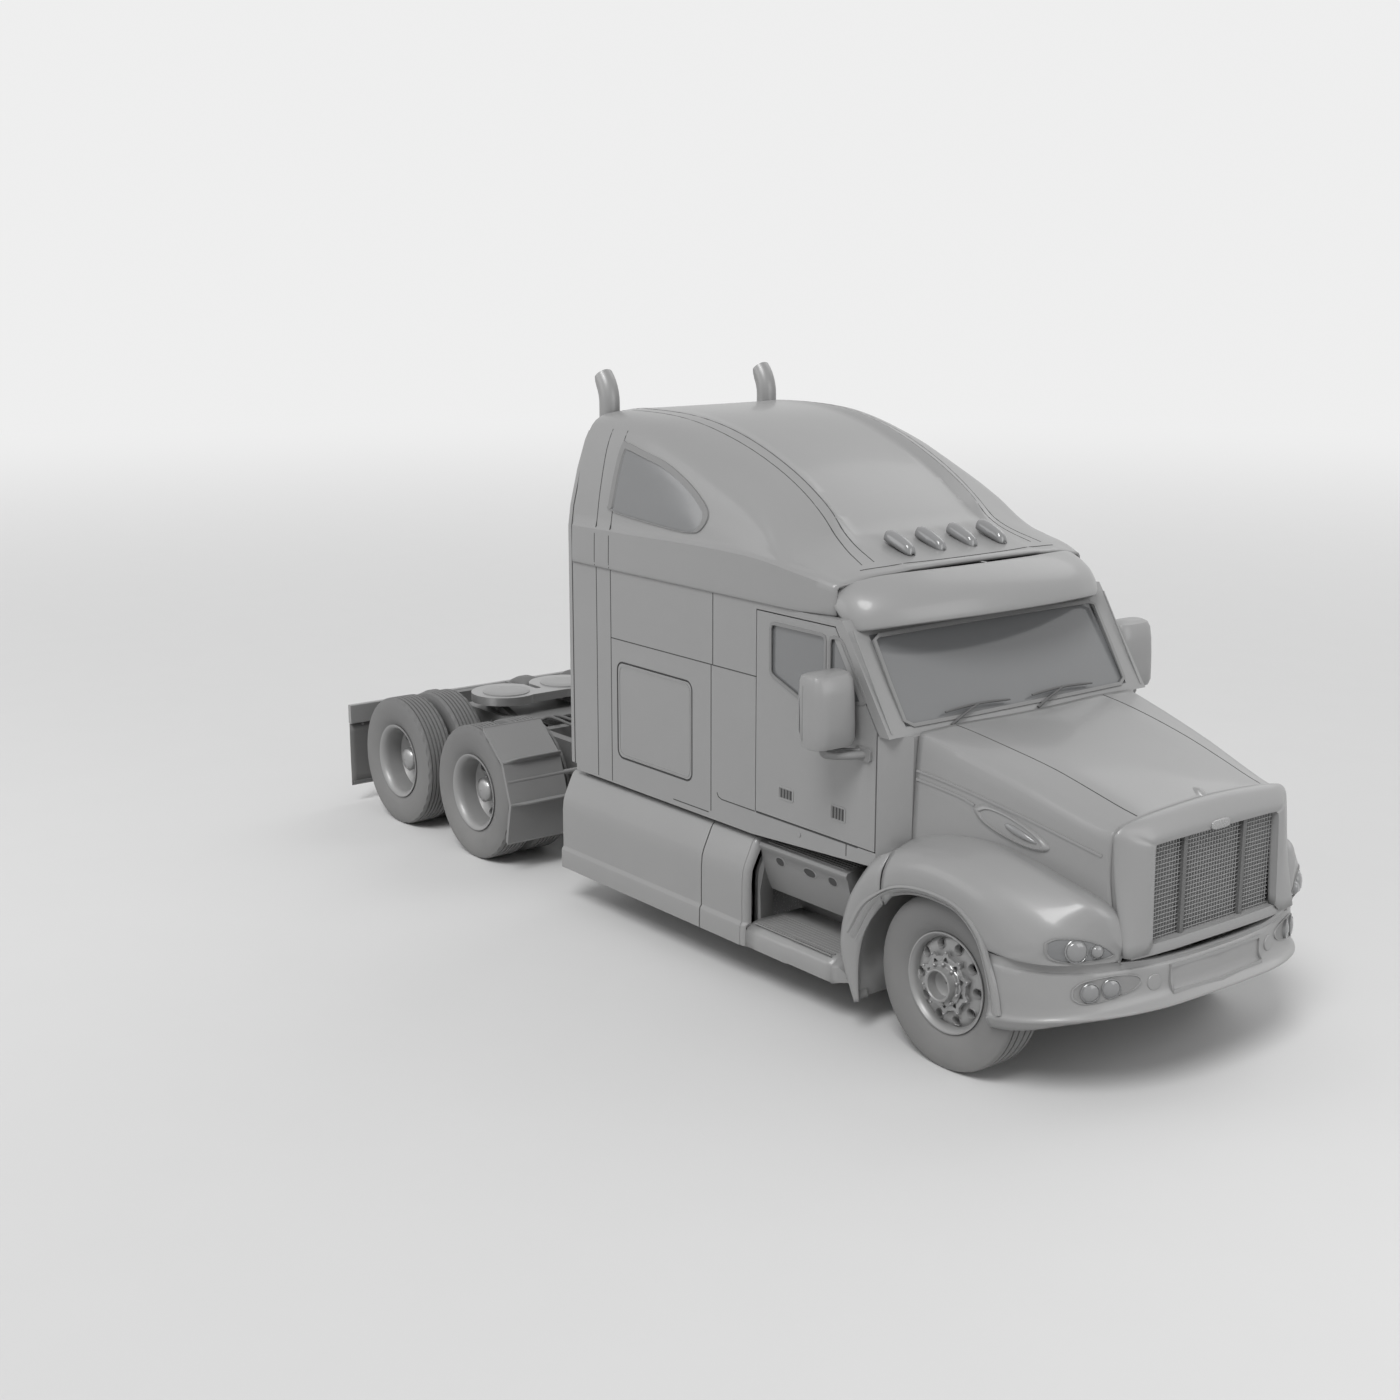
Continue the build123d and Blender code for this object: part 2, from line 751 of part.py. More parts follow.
def hood_section(x, half, side_z, inset):
    """A cross section of the hood: straight sides and a crowned top."""
    with BuildSketch(Plane.YZ.offset(x)) as section:
        with BuildLine():
            Polyline(
                (inset - half, side_z - inset),
                (inset - half, fender_low_z - (overrun if inset else 0)),
                (half - inset, fender_low_z - (overrun if inset else 0)),
                (half - inset, side_z - inset),
            )
            ThreePointArc(
                (half - inset, side_z - inset),
                (0, side_z + hood_crown - inset),
                (inset - half, side_z - inset),
            )
        make_face()
        fillet(section.vertices().group_by(Axis.Y)[-1], hood_corner)
    return section.sketch


hood_stations = (
    (hood_rear_x, hood_rear_half, hood_rear_z),
    (front_axle_x + hood_mid_ahead, hood_mid_half, hood_mid_z),
    (front_axle_x + grille_face_ahead + overrun, hood_front_half, hood_front_z),
)


def nose_plan(nose_x, half, rear_x, corner):
    """Plan view of a nose: a wide arc between two straight sides."""
    sag = fender_front_radius - (fender_front_radius**2 - half**2) ** 0.5
    with BuildSketch() as plan:
        with BuildLine():
            Polyline((nose_x - sag, -half), (rear_x, -half), (rear_x, half), (nose_x - sag, half))
            ThreePointArc((nose_x - sag, half), (nose_x, 0), (nose_x - sag, -half))
        make_face()
        fillet(plan.vertices().group_by(Axis.X)[-1], corner)
    return plan.sketch


# Rise of the fender's top at its crease and at its outer edge
fender_crease_y = 936.0
fender_crease_rear_z = 1290.0
fender_crease_mid_z = 1385.0
fender_crease_front_z = 1215.0
fender_edge_rear_z = 1215.0
fender_edge_mid_z = 1275.0
fender_edge_front_z = 950.0
fender_mid_ahead = 97.0
crease_heights = (fender_crease_rear_z, fender_crease_mid_z, fender_crease_front_z)
edge_heights = (fender_edge_rear_z, fender_edge_mid_z, fender_edge_front_z)
nose_corner = 180.0
nose_wall = 60.0


def fender_section(y, heights, inset):
    """Side view of the fender at a distance from the middle."""
    rear_x = hood_rear_x - (overrun if inset else 0)
    front_x = front_axle_x + fender_front_ahead + overrun
    low_z = fender_low_z - (overrun if inset else 0)
    with BuildSketch(Plane.XZ.offset(-y)) as section:
        with BuildLine():
            Polyline(
                (rear_x, heights[0] - inset), (rear_x, low_z), (front_x, low_z), (front_x, heights[2] - inset)
            )
            ThreePointArc(
                (front_x, heights[2] - inset),
                (front_axle_x + fender_mid_ahead, heights[1] - inset),
                (rear_x, heights[0] - inset),
            )
        make_face()
    return section.sketch


def front_body(inset):
    """The closed form of hood and fenders, drawn in by a wall."""
    with BuildPart() as form:
        sections = [hood_section(*station, inset) for station in hood_stations]
        if inset:
            sections.insert(0, hood_section(hood_rear_x - overrun, hood_rear_half, hood_rear_z, inset))
        add(loft(sections, ruled=True, mode=Mode.PRIVATE))
        outer = fender_section(fender_half - inset, edge_heights, inset)
        crease = fender_section(fender_crease_y, crease_heights, inset)
        inner = fender_section(fender_inner, crease_heights, inset)
        for lower, upper in ((outer, crease), (crease, inner)):
            piece = loft([lower, upper], ruled=True, mode=Mode.PRIVATE)
            add(piece)
            add(piece.mirror(Plane.XZ))
        plan = nose_plan(
            front_axle_x + grille_face_ahead - (nose_wall if inset else 0),
            fender_half - inset,
            hood_rear_x - 2 * overrun,
            nose_corner - inset,
        )
        prism = extrude(plan, amount=2 * hood_rear_z, mode=Mode.PRIVATE)
        add(prism, mode=Mode.INTERSECT)
    return form.part


# Hood with its fenders and grille shell, one moulding, open below and behind
with BuildPart() as arch_cutter:
    with BuildSketch(Plane.XZ.offset(-fender_half - overrun)):
        with Locations((front_axle_x - arch_back, arch_z)):
            Circle(arch_radius)
    extrude(amount=2 * (fender_half + overrun))
with BuildPart() as lamp_cutter:
    with BuildSketch(Plane.YZ.offset(front_axle_x + headlamp_rear_ahead)):
        with BuildLine():
            Polyline(
                (headlamp_inner_y, headlamp_low_z),
                (headlamp_outer_y, headlamp_low_z),
                (headlamp_outer_y, headlamp_mid_z),
                (headlamp_peak_y, headlamp_top_z),
                (headlamp_inner_y, headlamp_top_z),
                close=True,
            )
        make_face()
    extrude(amount=grille_face_ahead - headlamp_rear_ahead)
    mirror(about=Plane.XZ)
hood_pivot_x = front_axle_x + hood_pivot_ahead
grille_z = (grille_open_low_z + grille_open_top_z) / 2
grille_height = grille_open_top_z - grille_open_low_z
with BuildPart() as hood:
    add(front_body(0))
    add(front_body(hood_wall), mode=Mode.SUBTRACT)
    add(arch_cutter.part, mode=Mode.SUBTRACT)
    add(lamp_cutter.part, mode=Mode.SUBTRACT)
    with BuildSketch(Plane.YZ.offset(front_axle_x + grille_face_ahead - grille_cut)):
        with Locations((0, grille_z)):
            RectangleRounded(2 * grille_open_half, grille_height, grille_corner)
    extrude(amount=2 * grille_cut, mode=Mode.SUBTRACT)
    slot_half = hinge_lug_width / 2 + seat_gap
    slot_back = hinge_lug_radius + hinge_clearance
    for side in (-1, 1):
        with BuildSketch(Plane.XZ.offset(slot_half - side * hinge_y)):
            with BuildLine():
                Polyline(
                    (hood_pivot_x - slot_back, fender_low_z - overrun),
                    (hood_pivot_x + overrun, fender_low_z - overrun),
                    (hood_pivot_x + overrun, hood_pivot_z + slot_back),
                    (hood_pivot_x - slot_back, hood_pivot_z + slot_back),
                    close=True,
                )
            make_face()
        extrude(amount=-2 * slot_half, mode=Mode.SUBTRACT)
        with BuildSketch(Plane.XZ.offset(slot_half + hinge_pin_radius - side * hinge_y)):
            with Locations((hood_pivot_x, hood_pivot_z)):
                Circle(hinge_pin_radius)
        extrude(amount=-2 * (slot_half + hinge_pin_radius))
export(hood, "hood")

# Headlamps: lenses that fill their openings in the fenders
with BuildPart() as headlamps:
    add(front_body(0))
    add(front_body(lens_thickness), mode=Mode.SUBTRACT)
    add(lamp_cutter.part, mode=Mode.INTERSECT)
export(headlamps, "headlamps")

# Grille insert: a back panel with upright bars
grille_plate = 14.0
grille_bar = 24.0
grille_sink = 95.0
grille_bar_shares = (-0.62, -0.5, 0.5, 0.62)
grille_x = front_axle_x + grille_face_ahead - grille_sink
with BuildPart() as grille:
    with BuildSketch(Plane.YZ.offset(grille_x)):
        with Locations((0, grille_z)):
            RectangleRounded(
                2 * (grille_open_half - seat_gap),
                grille_height - 2 * seat_gap,
                grille_corner - seat_gap,
            )
    extrude(amount=grille_plate)
    with BuildSketch(Plane.YZ.offset(grille_x)):
        for bar_share in grille_bar_shares:
            with Locations((bar_share * grille_open_half, grille_z)):
                Rectangle(grille_bar, grille_height - 4 * seat_gap)
    extrude(amount=grille_plate + grille_bar)
export(grille, "grille")

# Bumper: a bowed wall that wraps round to the wheel arches, with a lower lip
bumper_top_ahead = 1035.0
bumper_low_ahead = 1075.0
bumper_side_wall = 40.0
bracket_depth = 80.0
bracket_height = 120.0
horn_width = 60.0
with BuildPart() as bumper:
    top_plan = nose_plan(front_axle_x + bumper_top_ahead, fender_half, front_axle_x, nose_corner)
    low_plan = nose_plan(front_axle_x + bumper_low_ahead, fender_half, front_axle_x, nose_corner)
    lip_plan = nose_plan(front_axle_x + front_overhang, fender_half, front_axle_x, nose_corner)
    core_plan = nose_plan(
        front_axle_x + bumper_top_ahead - bumper_wall,
        fender_half - bumper_side_wall,
        front_axle_x - overrun,
        nose_corner - bumper_side_wall,
    )
    add(
        loft(
            [
                Plane.XY.offset(bumper_low_z + bumper_lip_height) * low_plan,
                Plane.XY.offset(bumper_top_z) * top_plan,
            ],
            ruled=True,
            mode=Mode.PRIVATE,
        )
    )
    add(extrude(Plane.XY.offset(bumper_low_z) * lip_plan, amount=bumper_lip_height, mode=Mode.PRIVATE))
    add(
        extrude(
            Plane.XY.offset(bumper_low_z - overrun) * core_plan,
            amount=bumper_top_z - bumper_low_z + 2 * overrun,
            mode=Mode.PRIVATE,
        ),
        mode=Mode.SUBTRACT,
    )
    add(arch_cutter.part, mode=Mode.SUBTRACT)
    with Locations((rail_front_x + bracket_depth / 2, 0, (rail_top_z + rail_bottom_z) / 2)):
        Box(bracket_depth, 2 * rail_outer_y, bracket_height)
    horn_length = bumper_top_ahead - bumper_wall / 2 - rail_front_ahead
    for side in (-1, 1):
        with Locations((rail_front_x + horn_length / 2, side * arm_y, (rail_top_z + rail_bottom_z) / 2)):
            Box(horn_length, horn_width, bracket_height)
        with BuildSketch(Plane.XZ.offset(hinge_lug_width / 2 - side * hinge_y)):
            with Locations((hood_pivot_x, (hood_pivot_z + bumper_top_z - hinge_lug_radius) / 2)):
                Rectangle(2 * hinge_lug_radius, hood_pivot_z - bumper_top_z + hinge_lug_radius)
            with Locations((hood_pivot_x, hood_pivot_z)):
                Circle(hinge_lug_radius)
                Circle(hinge_pin_radius + seat_gap, mode=Mode.SUBTRACT)
        extrude(amount=-hinge_lug_width)
export(bumper, "bumper")


def door_leaf(side):
    """Door panel with two window openings."""
    with BuildPart() as leaf:
        with BuildSketch(Plane.XZ.offset(-side * cab_half_width)):
            with BuildLine():
                Polyline(*door_outline(0), close=True)
            make_face()
            with BuildLine():
                Polyline(
                    (front_axle_x - window_rear_setback, window_rear_sill_z),
                    (front_axle_x - window_rear_setback + window_dip_length, window_sill_z),
                    (front_axle_x - window_post_setback - window_post / 2, window_sill_z),
                    (front_axle_x - window_post_setback - window_post / 2, window_top_z),
                    (front_axle_x - window_rear_setback, window_top_z),
                    close=True,
                )
            make_face(mode=Mode.SUBTRACT)
            with BuildLine():
                Polyline(
                    (front_axle_x - window_post_setback + window_post / 2, vent_low_z),
                    (door_edge_x(vent_front_low_z) - window_margin, vent_front_low_z),
                    (door_edge_x(window_top_z) - window_margin, window_top_z),
                    (front_axle_x - window_post_setback + window_post / 2, window_top_z),
                    close=True,
                )
            make_face(mode=Mode.SUBTRACT)
        extrude(amount=side * door_thickness)
    return leaf.part


def door_panes(side):
    """The two panes that fill the door's window openings."""
    with BuildPart() as pane:
        with BuildSketch(Plane.XZ.offset(-side * (cab_half_width - screen_sink))):
            with BuildLine():
                Polyline(
                    (front_axle_x - window_rear_setback, window_sill_z - overrun),
                    (door_edge_x(window_sill_z) - window_margin / 2, window_sill_z - overrun),
                    (door_edge_x(window_top_z) - window_margin / 2, window_top_z),
                    (front_axle_x - window_rear_setback, window_top_z),
                    close=True,
                )
            make_face()
        extrude(amount=side * glass_thickness)
        add(door_leaf(side), mode=Mode.SUBTRACT)
    return pane.part


for side_name, side in (("right", -1), ("left", 1)):
    with BuildPart() as door:
        add(door_leaf(side))
    export(door, f"door_{side_name}")
    with BuildPart() as door_glass:
        add(door_panes(side))
    export(door_glass, f"door_glass_{side_name}")

# Mirrors on the doors: a rounded housing on a bent arm
mirror_width = 250.0
mirror_depth = 150.0
mirror_height = 450.0
mirror_setback = 835.0
mirror_offset = 245.0
mirror_out_y = cab_half_width + mirror_offset
mirror_z = 2050.0
mirror_arm_ahead = 60.0
mirror_arm_drop = 30.0
arm_radius = 18.0
mirror_arm_x = front_axle_x - mirror_setback + mirror_arm_ahead
mirror_low_z = mirror_z - mirror_height / 2
for side_name, side in (("right", -1), ("left", 1)):
    with BuildPart() as side_mirror:
        with BuildSketch(Plane.XY.offset(mirror_low_z)):
            with Locations((front_axle_x - mirror_setback, side * mirror_out_y)):
                RectangleRounded(mirror_depth, mirror_width, mirror_depth / 3)
        extrude(amount=mirror_height)
        with BuildSketch(Plane.XZ.offset(-side * cab_half_width)):
            with Locations((mirror_arm_x, mirror_low_z - mirror_arm_drop)):
                Circle(arm_radius)
        extrude(amount=-side * (mirror_out_y - cab_half_width + arm_radius))
        with BuildSketch(Plane.XY.offset(mirror_low_z - mirror_arm_drop)):
            with Locations((mirror_arm_x, side * mirror_out_y)):
                Circle(arm_radius)
        extrude(amount=2 * mirror_arm_drop)
    export(side_mirror, f"mirror_{side_name}")

# Luggage hatches
for side_name, side in (("right", -1), ("left", 1)):
    with BuildPart() as hatch:
        with BuildSketch(Plane.XZ.offset(-side * cab_half_width)):
            with Locations((hatch_x, hatch_z)):
                RectangleRounded(hatch_length, hatch_height, hatch_corner)
        extrude(amount=side * hatch_thickness)
    export(hatch, f"hatch_{side_name}")

# Half section of a tyre, as shares of its rise from the rim and of its width
tyre_profile_shares = ((0.0, 0.76), (0.12, 0.90), (0.48, 1.0), (0.82, 0.95), (1.0, 0.76))


def tyre_solid(axle_x, side, centre_y):
    """A tyre turned from ten corner points."""
    rise = tyre_radius - rim_radius
    near = []
    far = []
    for rise_share, width_share in tyre_profile_shares:
        corner_x = axle_x + rim_radius + rise_share * rise
        near.append((corner_x, side * (centre_y - width_share * tyre_width / 2)))
        far.append((corner_x, side * (centre_y + width_share * tyre_width / 2)))
    with BuildPart() as tyre:
        with BuildSketch(Plane.XY.offset(hub_z)):
            with BuildLine():
                Polyline(*near, *reversed(far), close=True)
            make_face()
        revolve(axis=Axis((axle_x, 0, hub_z), (0, 1, 0)))
    return tyre.part


def turned_rings(axle_x, side, rings):
    """One solid of revolution from rings about an axle."""
    with BuildPart() as turned:
        with BuildSketch(Plane.XY.offset(hub_z)):
            for inner, outer, near_y, far_y in rings:
                with Locations((axle_x + (inner + outer) / 2, side * (near_y + far_y) / 2)):
                    Rectangle(outer - inner, far_y - near_y)
        revolve(axis=Axis((axle_x, 0, hub_z), (0, 1, 0)))
    return turned.part


# Wheels as rings: (inner radius, outer radius, near y, far y)
knuckle_clearance = 6.0
knuckle_plate_y = kingpin_y + eye_radius + knuckle_clearance
knuckle_plate = 24.0
front_spindle_end_y = 1030.0
front_hub_y = knuckle_plate_y + knuckle_plate + seat_gap
front_disc_sink = 60.0
front_disc_y = front_tyre_face_y - front_disc_sink
drum_step = 40.0
hub_nose_y = 1200.0
bead_half = 0.42 * tyre_width
drum_wall = 12.0
bore = spindle_radius + seat_gap
front_rings = (
    (rim_radius - rim_wall, rim_radius, front_wheel_y - bead_half, front_wheel_y + bead_half),
    (spindle_radius, rim_radius - rim_wall / 2, front_disc_y, front_disc_y + disc_thickness),
    (bore, hub_radius, front_hub_y, front_spindle_end_y + seat_gap),
    (0, hub_radius, front_spindle_end_y + seat_gap, front_disc_y + disc_thickness),
    (0, hub_radius * 0.7, front_disc_y, hub_nose_y),
    (drum_radius - drum_wall, drum_radius, front_hub_y - drum_step, front_spindle_end_y),
    (hub_radius - drum_wall, drum_radius, front_spindle_end_y - drum_wall, front_spindle_end_y),
)
dual_mid_y = dual_outer_y - dual_pitch / 2
dual_hub_y = tube_end_y + seat_gap
drum_near_y = dual_hub_y + drum_step
dual_rings = (
    (rim_radius - rim_wall, rim_radius, dual_inner_y - bead_half, dual_outer_y + bead_half),
    (spindle_radius, rim_radius - rim_wall / 2, dual_mid_y - disc_thickness, dual_mid_y + disc_thickness),
    (bore, hub_radius, dual_hub_y, spindle_end_y + seat_gap),
    (0, hub_radius, spindle_end_y + seat_gap, spindle_end_y + drum_wall),
    (drum_radius - drum_wall, drum_radius, drum_near_y, drum_near_y + drum_width),
    (hub_radius - drum_wall, drum_radius, drum_near_y + drum_width - drum_wall, drum_near_y + drum_width),
)


def wheel_solid(axle_x, side, rings, disc_near_y, disc_far_y):
    """A disc wheel with hub, drum and round hand holes."""
    with BuildPart() as wheel:
        add(turned_rings(axle_x, side, rings))
        with BuildSketch(Plane.XZ.offset(-side * (disc_near_y - drum_wall))):
            with Locations((axle_x, hub_z)):
                with PolarLocations(hand_hole_ring, hand_holes):
                    Circle(hand_hole_radius)
        extrude(amount=-side * (disc_far_y - disc_near_y + 2 * drum_wall), mode=Mode.SUBTRACT)
    return wheel.part


for side_name, side in (("right", -1), ("left", 1)):
    with BuildPart() as tyre:
        add(tyre_solid(front_axle_x, side, front_wheel_y))
    export(tyre, f"front_tyre_{side_name}")
    with BuildPart() as wheel:
        add(wheel_solid(front_axle_x, side, front_rings, front_disc_y, front_disc_y + disc_thickness))
    export(wheel, f"front_wheel_{side_name}")
    for axle_number, axle_x in enumerate(drive_axle_xs, start=1):
        with BuildPart() as tyres:
            add(tyre_solid(axle_x, side, dual_outer_y))
            add(tyre_solid(axle_x, side, dual_inner_y))
        export(tyres, f"dual_tyres_{axle_number}_{side_name}")
        with BuildPart() as wheels:
            add(
                wheel_solid(
                    axle_x,
                    side,
                    dual_rings,
                    dual_mid_y - disc_thickness,
                    dual_mid_y + disc_thickness,
                )
            )
        export(wheels, f"dual_wheels_{axle_number}_{side_name}")

# Steering knuckles: a fork round the beam's eye, a back plate and a spindle
lug_height = 34.0
knuckle_half = 50.0
for side_name, side in (("right", -1), ("left", 1)):
    with BuildPart() as knuckle:
        for near_z, far_z in (
            (hub_z + eye_height / 2 + seat_gap, hub_z + eye_height / 2 + lug_height),
            (hub_z - eye_height / 2 - lug_height, hub_z - eye_height / 2 - seat_gap),
        ):
            with BuildSketch(Plane.XY.offset(near_z)):
                with Locations((front_axle_x, side * kingpin_y)):
                    Circle(knuckle_half)
                with Locations((front_axle_x, side * (kingpin_y + knuckle_plate_y + knuckle_plate / 2) / 2)):
                    Rectangle(2 * knuckle_half, knuckle_plate_y - kingpin_y + knuckle_plate / 2)
            extrude(amount=far_z - near_z)
        with Locations((front_axle_x, side * kingpin_y, hub_z)):
            Cylinder(kingpin_radius, eye_height + lug_height)
        with Locations((front_axle_x, side * (knuckle_plate_y + knuckle_plate / 2), hub_z)):
            Box(2 * knuckle_half, knuckle_plate, eye_height + 2 * lug_height)
        with BuildSketch(Plane.XZ.offset(-side * knuckle_plate_y)):
            with Locations((front_axle_x, hub_z)):
                Circle(spindle_radius)
        extrude(amount=-side * (front_spindle_end_y - knuckle_plate_y))
    export(knuckle, f"knuckle_{side_name}")

# Exhaust stacks behind the sleeper, tips bent back
stack_y = 730.0
stack_standoff = 137.0
stack_radius = 75.0
stack_low_z = 800.0
stack_straight_z = 3640.0
stack_bend_radius = 260.0
stack_bend_angle = 46.0
stack_bracket_shares = (0.25, 0.56)
stack_x = cab_rear_x - stack_standoff
with BuildPart() as exhaust_stacks:
    with BuildLine(Plane.XZ.offset(-stack_y)):
        upright = Line((stack_x, stack_low_z), (stack_x, stack_straight_z))
        JernArc(upright @ 1, (0, 1), stack_bend_radius, stack_bend_angle)
    with BuildSketch(Plane.XY.offset(stack_low_z)):
        with Locations((stack_x, stack_y)):
            Circle(stack_radius)
    sweep()
    for bracket_share in stack_bracket_shares:
        bracket_z = stack_low_z + bracket_share * (stack_straight_z - stack_low_z)
        with BuildSketch(Plane.YZ.offset(cab_rear_x)):
            with Locations((stack_y, bracket_z)):
                Rectangle(stack_radius, stack_radius)
        extrude(amount=stack_x - cab_rear_x)
    with BuildSketch(Plane.XZ.offset(-rail_outer_y)):
        with Locations((stack_x, stack_low_z + stack_radius / 2)):
            Rectangle(stack_radius, stack_radius)
    extrude(amount=rail_outer_y - stack_y)
    mirror(about=Plane.XZ)
export(exhaust_stacks, "exhaust_stacks")

# Side extenders: narrow upright strips on the sleeper's rear corners
extender_low_z = 1060.0
extender_top_z = 3470.0
extender_top_y = 960.0
extender_wall = 30.0
extender_depth = 85.0
with BuildPart() as side_extenders:
    with BuildSketch(Plane.YZ.offset(cab_rear_x)):
        with BuildLine():
            Polyline(
                (cab_half_width, extender_low_z),
                (cab_half_width, band_top_z),
                (extender_top_y, extender_top_z),
                (extender_top_y - extender_wall, extender_top_z),
                (cab_half_width - extender_wall, band_top_z),
                (cab_half_width - extender_wall, extender_low_z),
                close=True,
            )
        make_face()
    extrude(amount=-extender_depth)
    mirror(about=Plane.XZ)
export(side_extenders, "side_extenders")

# Fuel tanks with straps and brackets
tank_radius = 300.0
tank_y = 800.0
tank_z = 620.0
tank_rear_setback = 3780.0
tank_front_setback = 1860.0
strap = 8.0
strap_width = 60.0
strap_place_shares = (0.2, 0.8)
fairing_proud = 70.0
fairing_half = cab_half_width + fairing_proud
fairing_wall = 30.0
with BuildPart() as fuel_tanks:
    with BuildSketch(Plane.YZ.offset(front_axle_x - tank_rear_setback)):
        with Locations((tank_y, tank_z)):
            Circle(tank_radius)
    extrude(amount=tank_rear_setback - tank_front_setback)
    for strap_share in strap_place_shares:
        strap_x = front_axle_x - tank_rear_setback + strap_share * (tank_rear_setback - tank_front_setback)
        with BuildSketch(Plane.YZ.offset(strap_x - strap_width / 2)):
            with Locations((tank_y, tank_z)):
                Circle(tank_radius + strap)
            with Locations(((rail_outer_y + tank_y) / 2, tank_z + strap_width)):
                Rectangle(tank_y - rail_outer_y, 2 * strap_width)
            with Locations(((fairing_half - fairing_wall + tank_y) / 2, tank_z)):
                Rectangle(fairing_half - fairing_wall - tank_y, strap_width)
        extrude(amount=strap_width)
    mirror(about=Plane.XZ)
export(fuel_tanks, "fuel_tanks")

# Chassis fairings: a bent panel each side with closed ends
fairing_rear_setback = 3885.0
fairing_front_setback = 1745.0
fairing_low_z = 262.0
skirt_top_z = 410.0
skirt_proud = 14.0
fairing_ridge_z = 780.0
fairing_top_z = 985.0
fairing_top_inset = 40.0
fairing_shelf_inset = 110.0
fairing_end = 25.0
fairing_x = front_axle_x - fairing_rear_setback
fairing_length = fairing_rear_setback - fairing_front_setback
fairing_top_y = cab_half_width - fairing_top_inset
fairing_shelf_y = cab_half_width - fairing_shelf_inset
fairing_outline = (
    (fairing_half + skirt_proud, fairing_low_z),
    (fairing_half + skirt_proud, skirt_top_z),
    (fairing_half, skirt_top_z + skirt_proud),
    (fairing_half, fairing_ridge_z),
    (fairing_top_y, fairing_top_z),
    (fairing_shelf_y, fairing_top_z),
)
with BuildPart() as side_fairings:
    with BuildSketch(Plane.YZ.offset(fairing_x)):
        with BuildLine():
            Polyline(
                *fairing_outline,
                (fairing_shelf_y, fairing_top_z - fairing_wall),
                (fairing_top_y - fairing_wall / 2, fairing_top_z - fairing_wall),
                (fairing_half - fairing_wall, fairing_ridge_z - fairing_wall / 4),
                (fairing_half - fairing_wall, skirt_top_z),
                (fairing_half - fairing_wall, fairing_low_z),
                close=True,
            )
        make_face()
    extrude(amount=fairing_length)
    for end_x in (fairing_x, fairing_x + fairing_length - fairing_end):
        with BuildSketch(Plane.YZ.offset(end_x)):
            with BuildLine():
                Polyline(*fairing_outline, (fairing_shelf_y, fairing_low_z), close=True)
            make_face()
        extrude(amount=fairing_end)
    mirror(about=Plane.XZ)
export(side_fairings, "side_fairings")

# Cab steps between the fairing and the front wheel
step_front_setback = 900.0
step_toe_setback = 755.0
step_inner_y = 700.0
step_top_z = 968.0
step_box_low_z = 620.0
step_box_half = 1100.0
tread_low_z = 270.0
tread_top_z = 430.0
step_wall = 30.0
step_rear_x = front_axle_x - fairing_front_setback
step_length = fairing_front_setback - step_front_setback
with BuildPart() as cab_steps:
    with BuildSketch(Plane.YZ.offset(step_rear_x)):
        with BuildLine():
            Polyline(
                (step_inner_y, tread_low_z),
                (fairing_half, tread_low_z),
                (fairing_half, tread_top_z - step_wall),
                (fairing_half - step_wall, tread_top_z),
                (step_inner_y + step_wall, tread_top_z),
                (step_inner_y + step_wall, step_box_low_z),
                (step_box_half - 2 * step_wall, step_box_low_z),
                (step_box_half, step_top_z),
                (step_inner_y, step_top_z),
                close=True,
            )
        make_face()
    extrude(amount=step_length)
    with BuildSketch(Plane.XZ.offset(-step_inner_y)):
        with BuildLine():
            Polyline(
                (front_axle_x - step_front_setback, tread_low_z),
                (front_axle_x - step_toe_setback, tread_low_z),
                (front_axle_x - step_front_setback, tread_top_z),
                close=True,
            )
        make_face()
    extrude(amount=step_inner_y - fairing_half)
    with Locations((step_rear_x + step_length / 2, (rail_outer_y + step_inner_y) / 2, rail_bottom_z + step_wall)):
        Box(2 * step_wall, step_inner_y - rail_outer_y, 2 * step_wall)
    mirror(about=Plane.XZ)
export(cab_steps, "cab_steps")

# Rear halves of the front wheel arches, fixed behind the hood, with their flaps
guard_radius = 840.0
guard_inner_radius = 700.0
guard_low_z = 640.0
guard_inner_y = 660.0
guard_sheet = 30.0
flap_low_z = 212.0
flap_top_rear_setback = 865.0
flap_low_rear_setback = 715.0
flap_low_front_setback = 655.0
guard_top_x = hood_rear_x - panel_gap
arch_x = front_axle_x - arch_back


def guard_sector(inner, outer):
    """Ring sector behind the hood's rear edge and above the flap."""
    with BuildSketch() as sector:
        with Locations((arch_x, arch_z)):
            Circle(outer)
            Circle(inner, mode=Mode.SUBTRACT)
        with Locations((guard_top_x - guard_radius / 2, guard_low_z + guard_radius / 2)):
            Rectangle(guard_radius, guard_radius, mode=Mode.INTERSECT)
    return sector.sketch


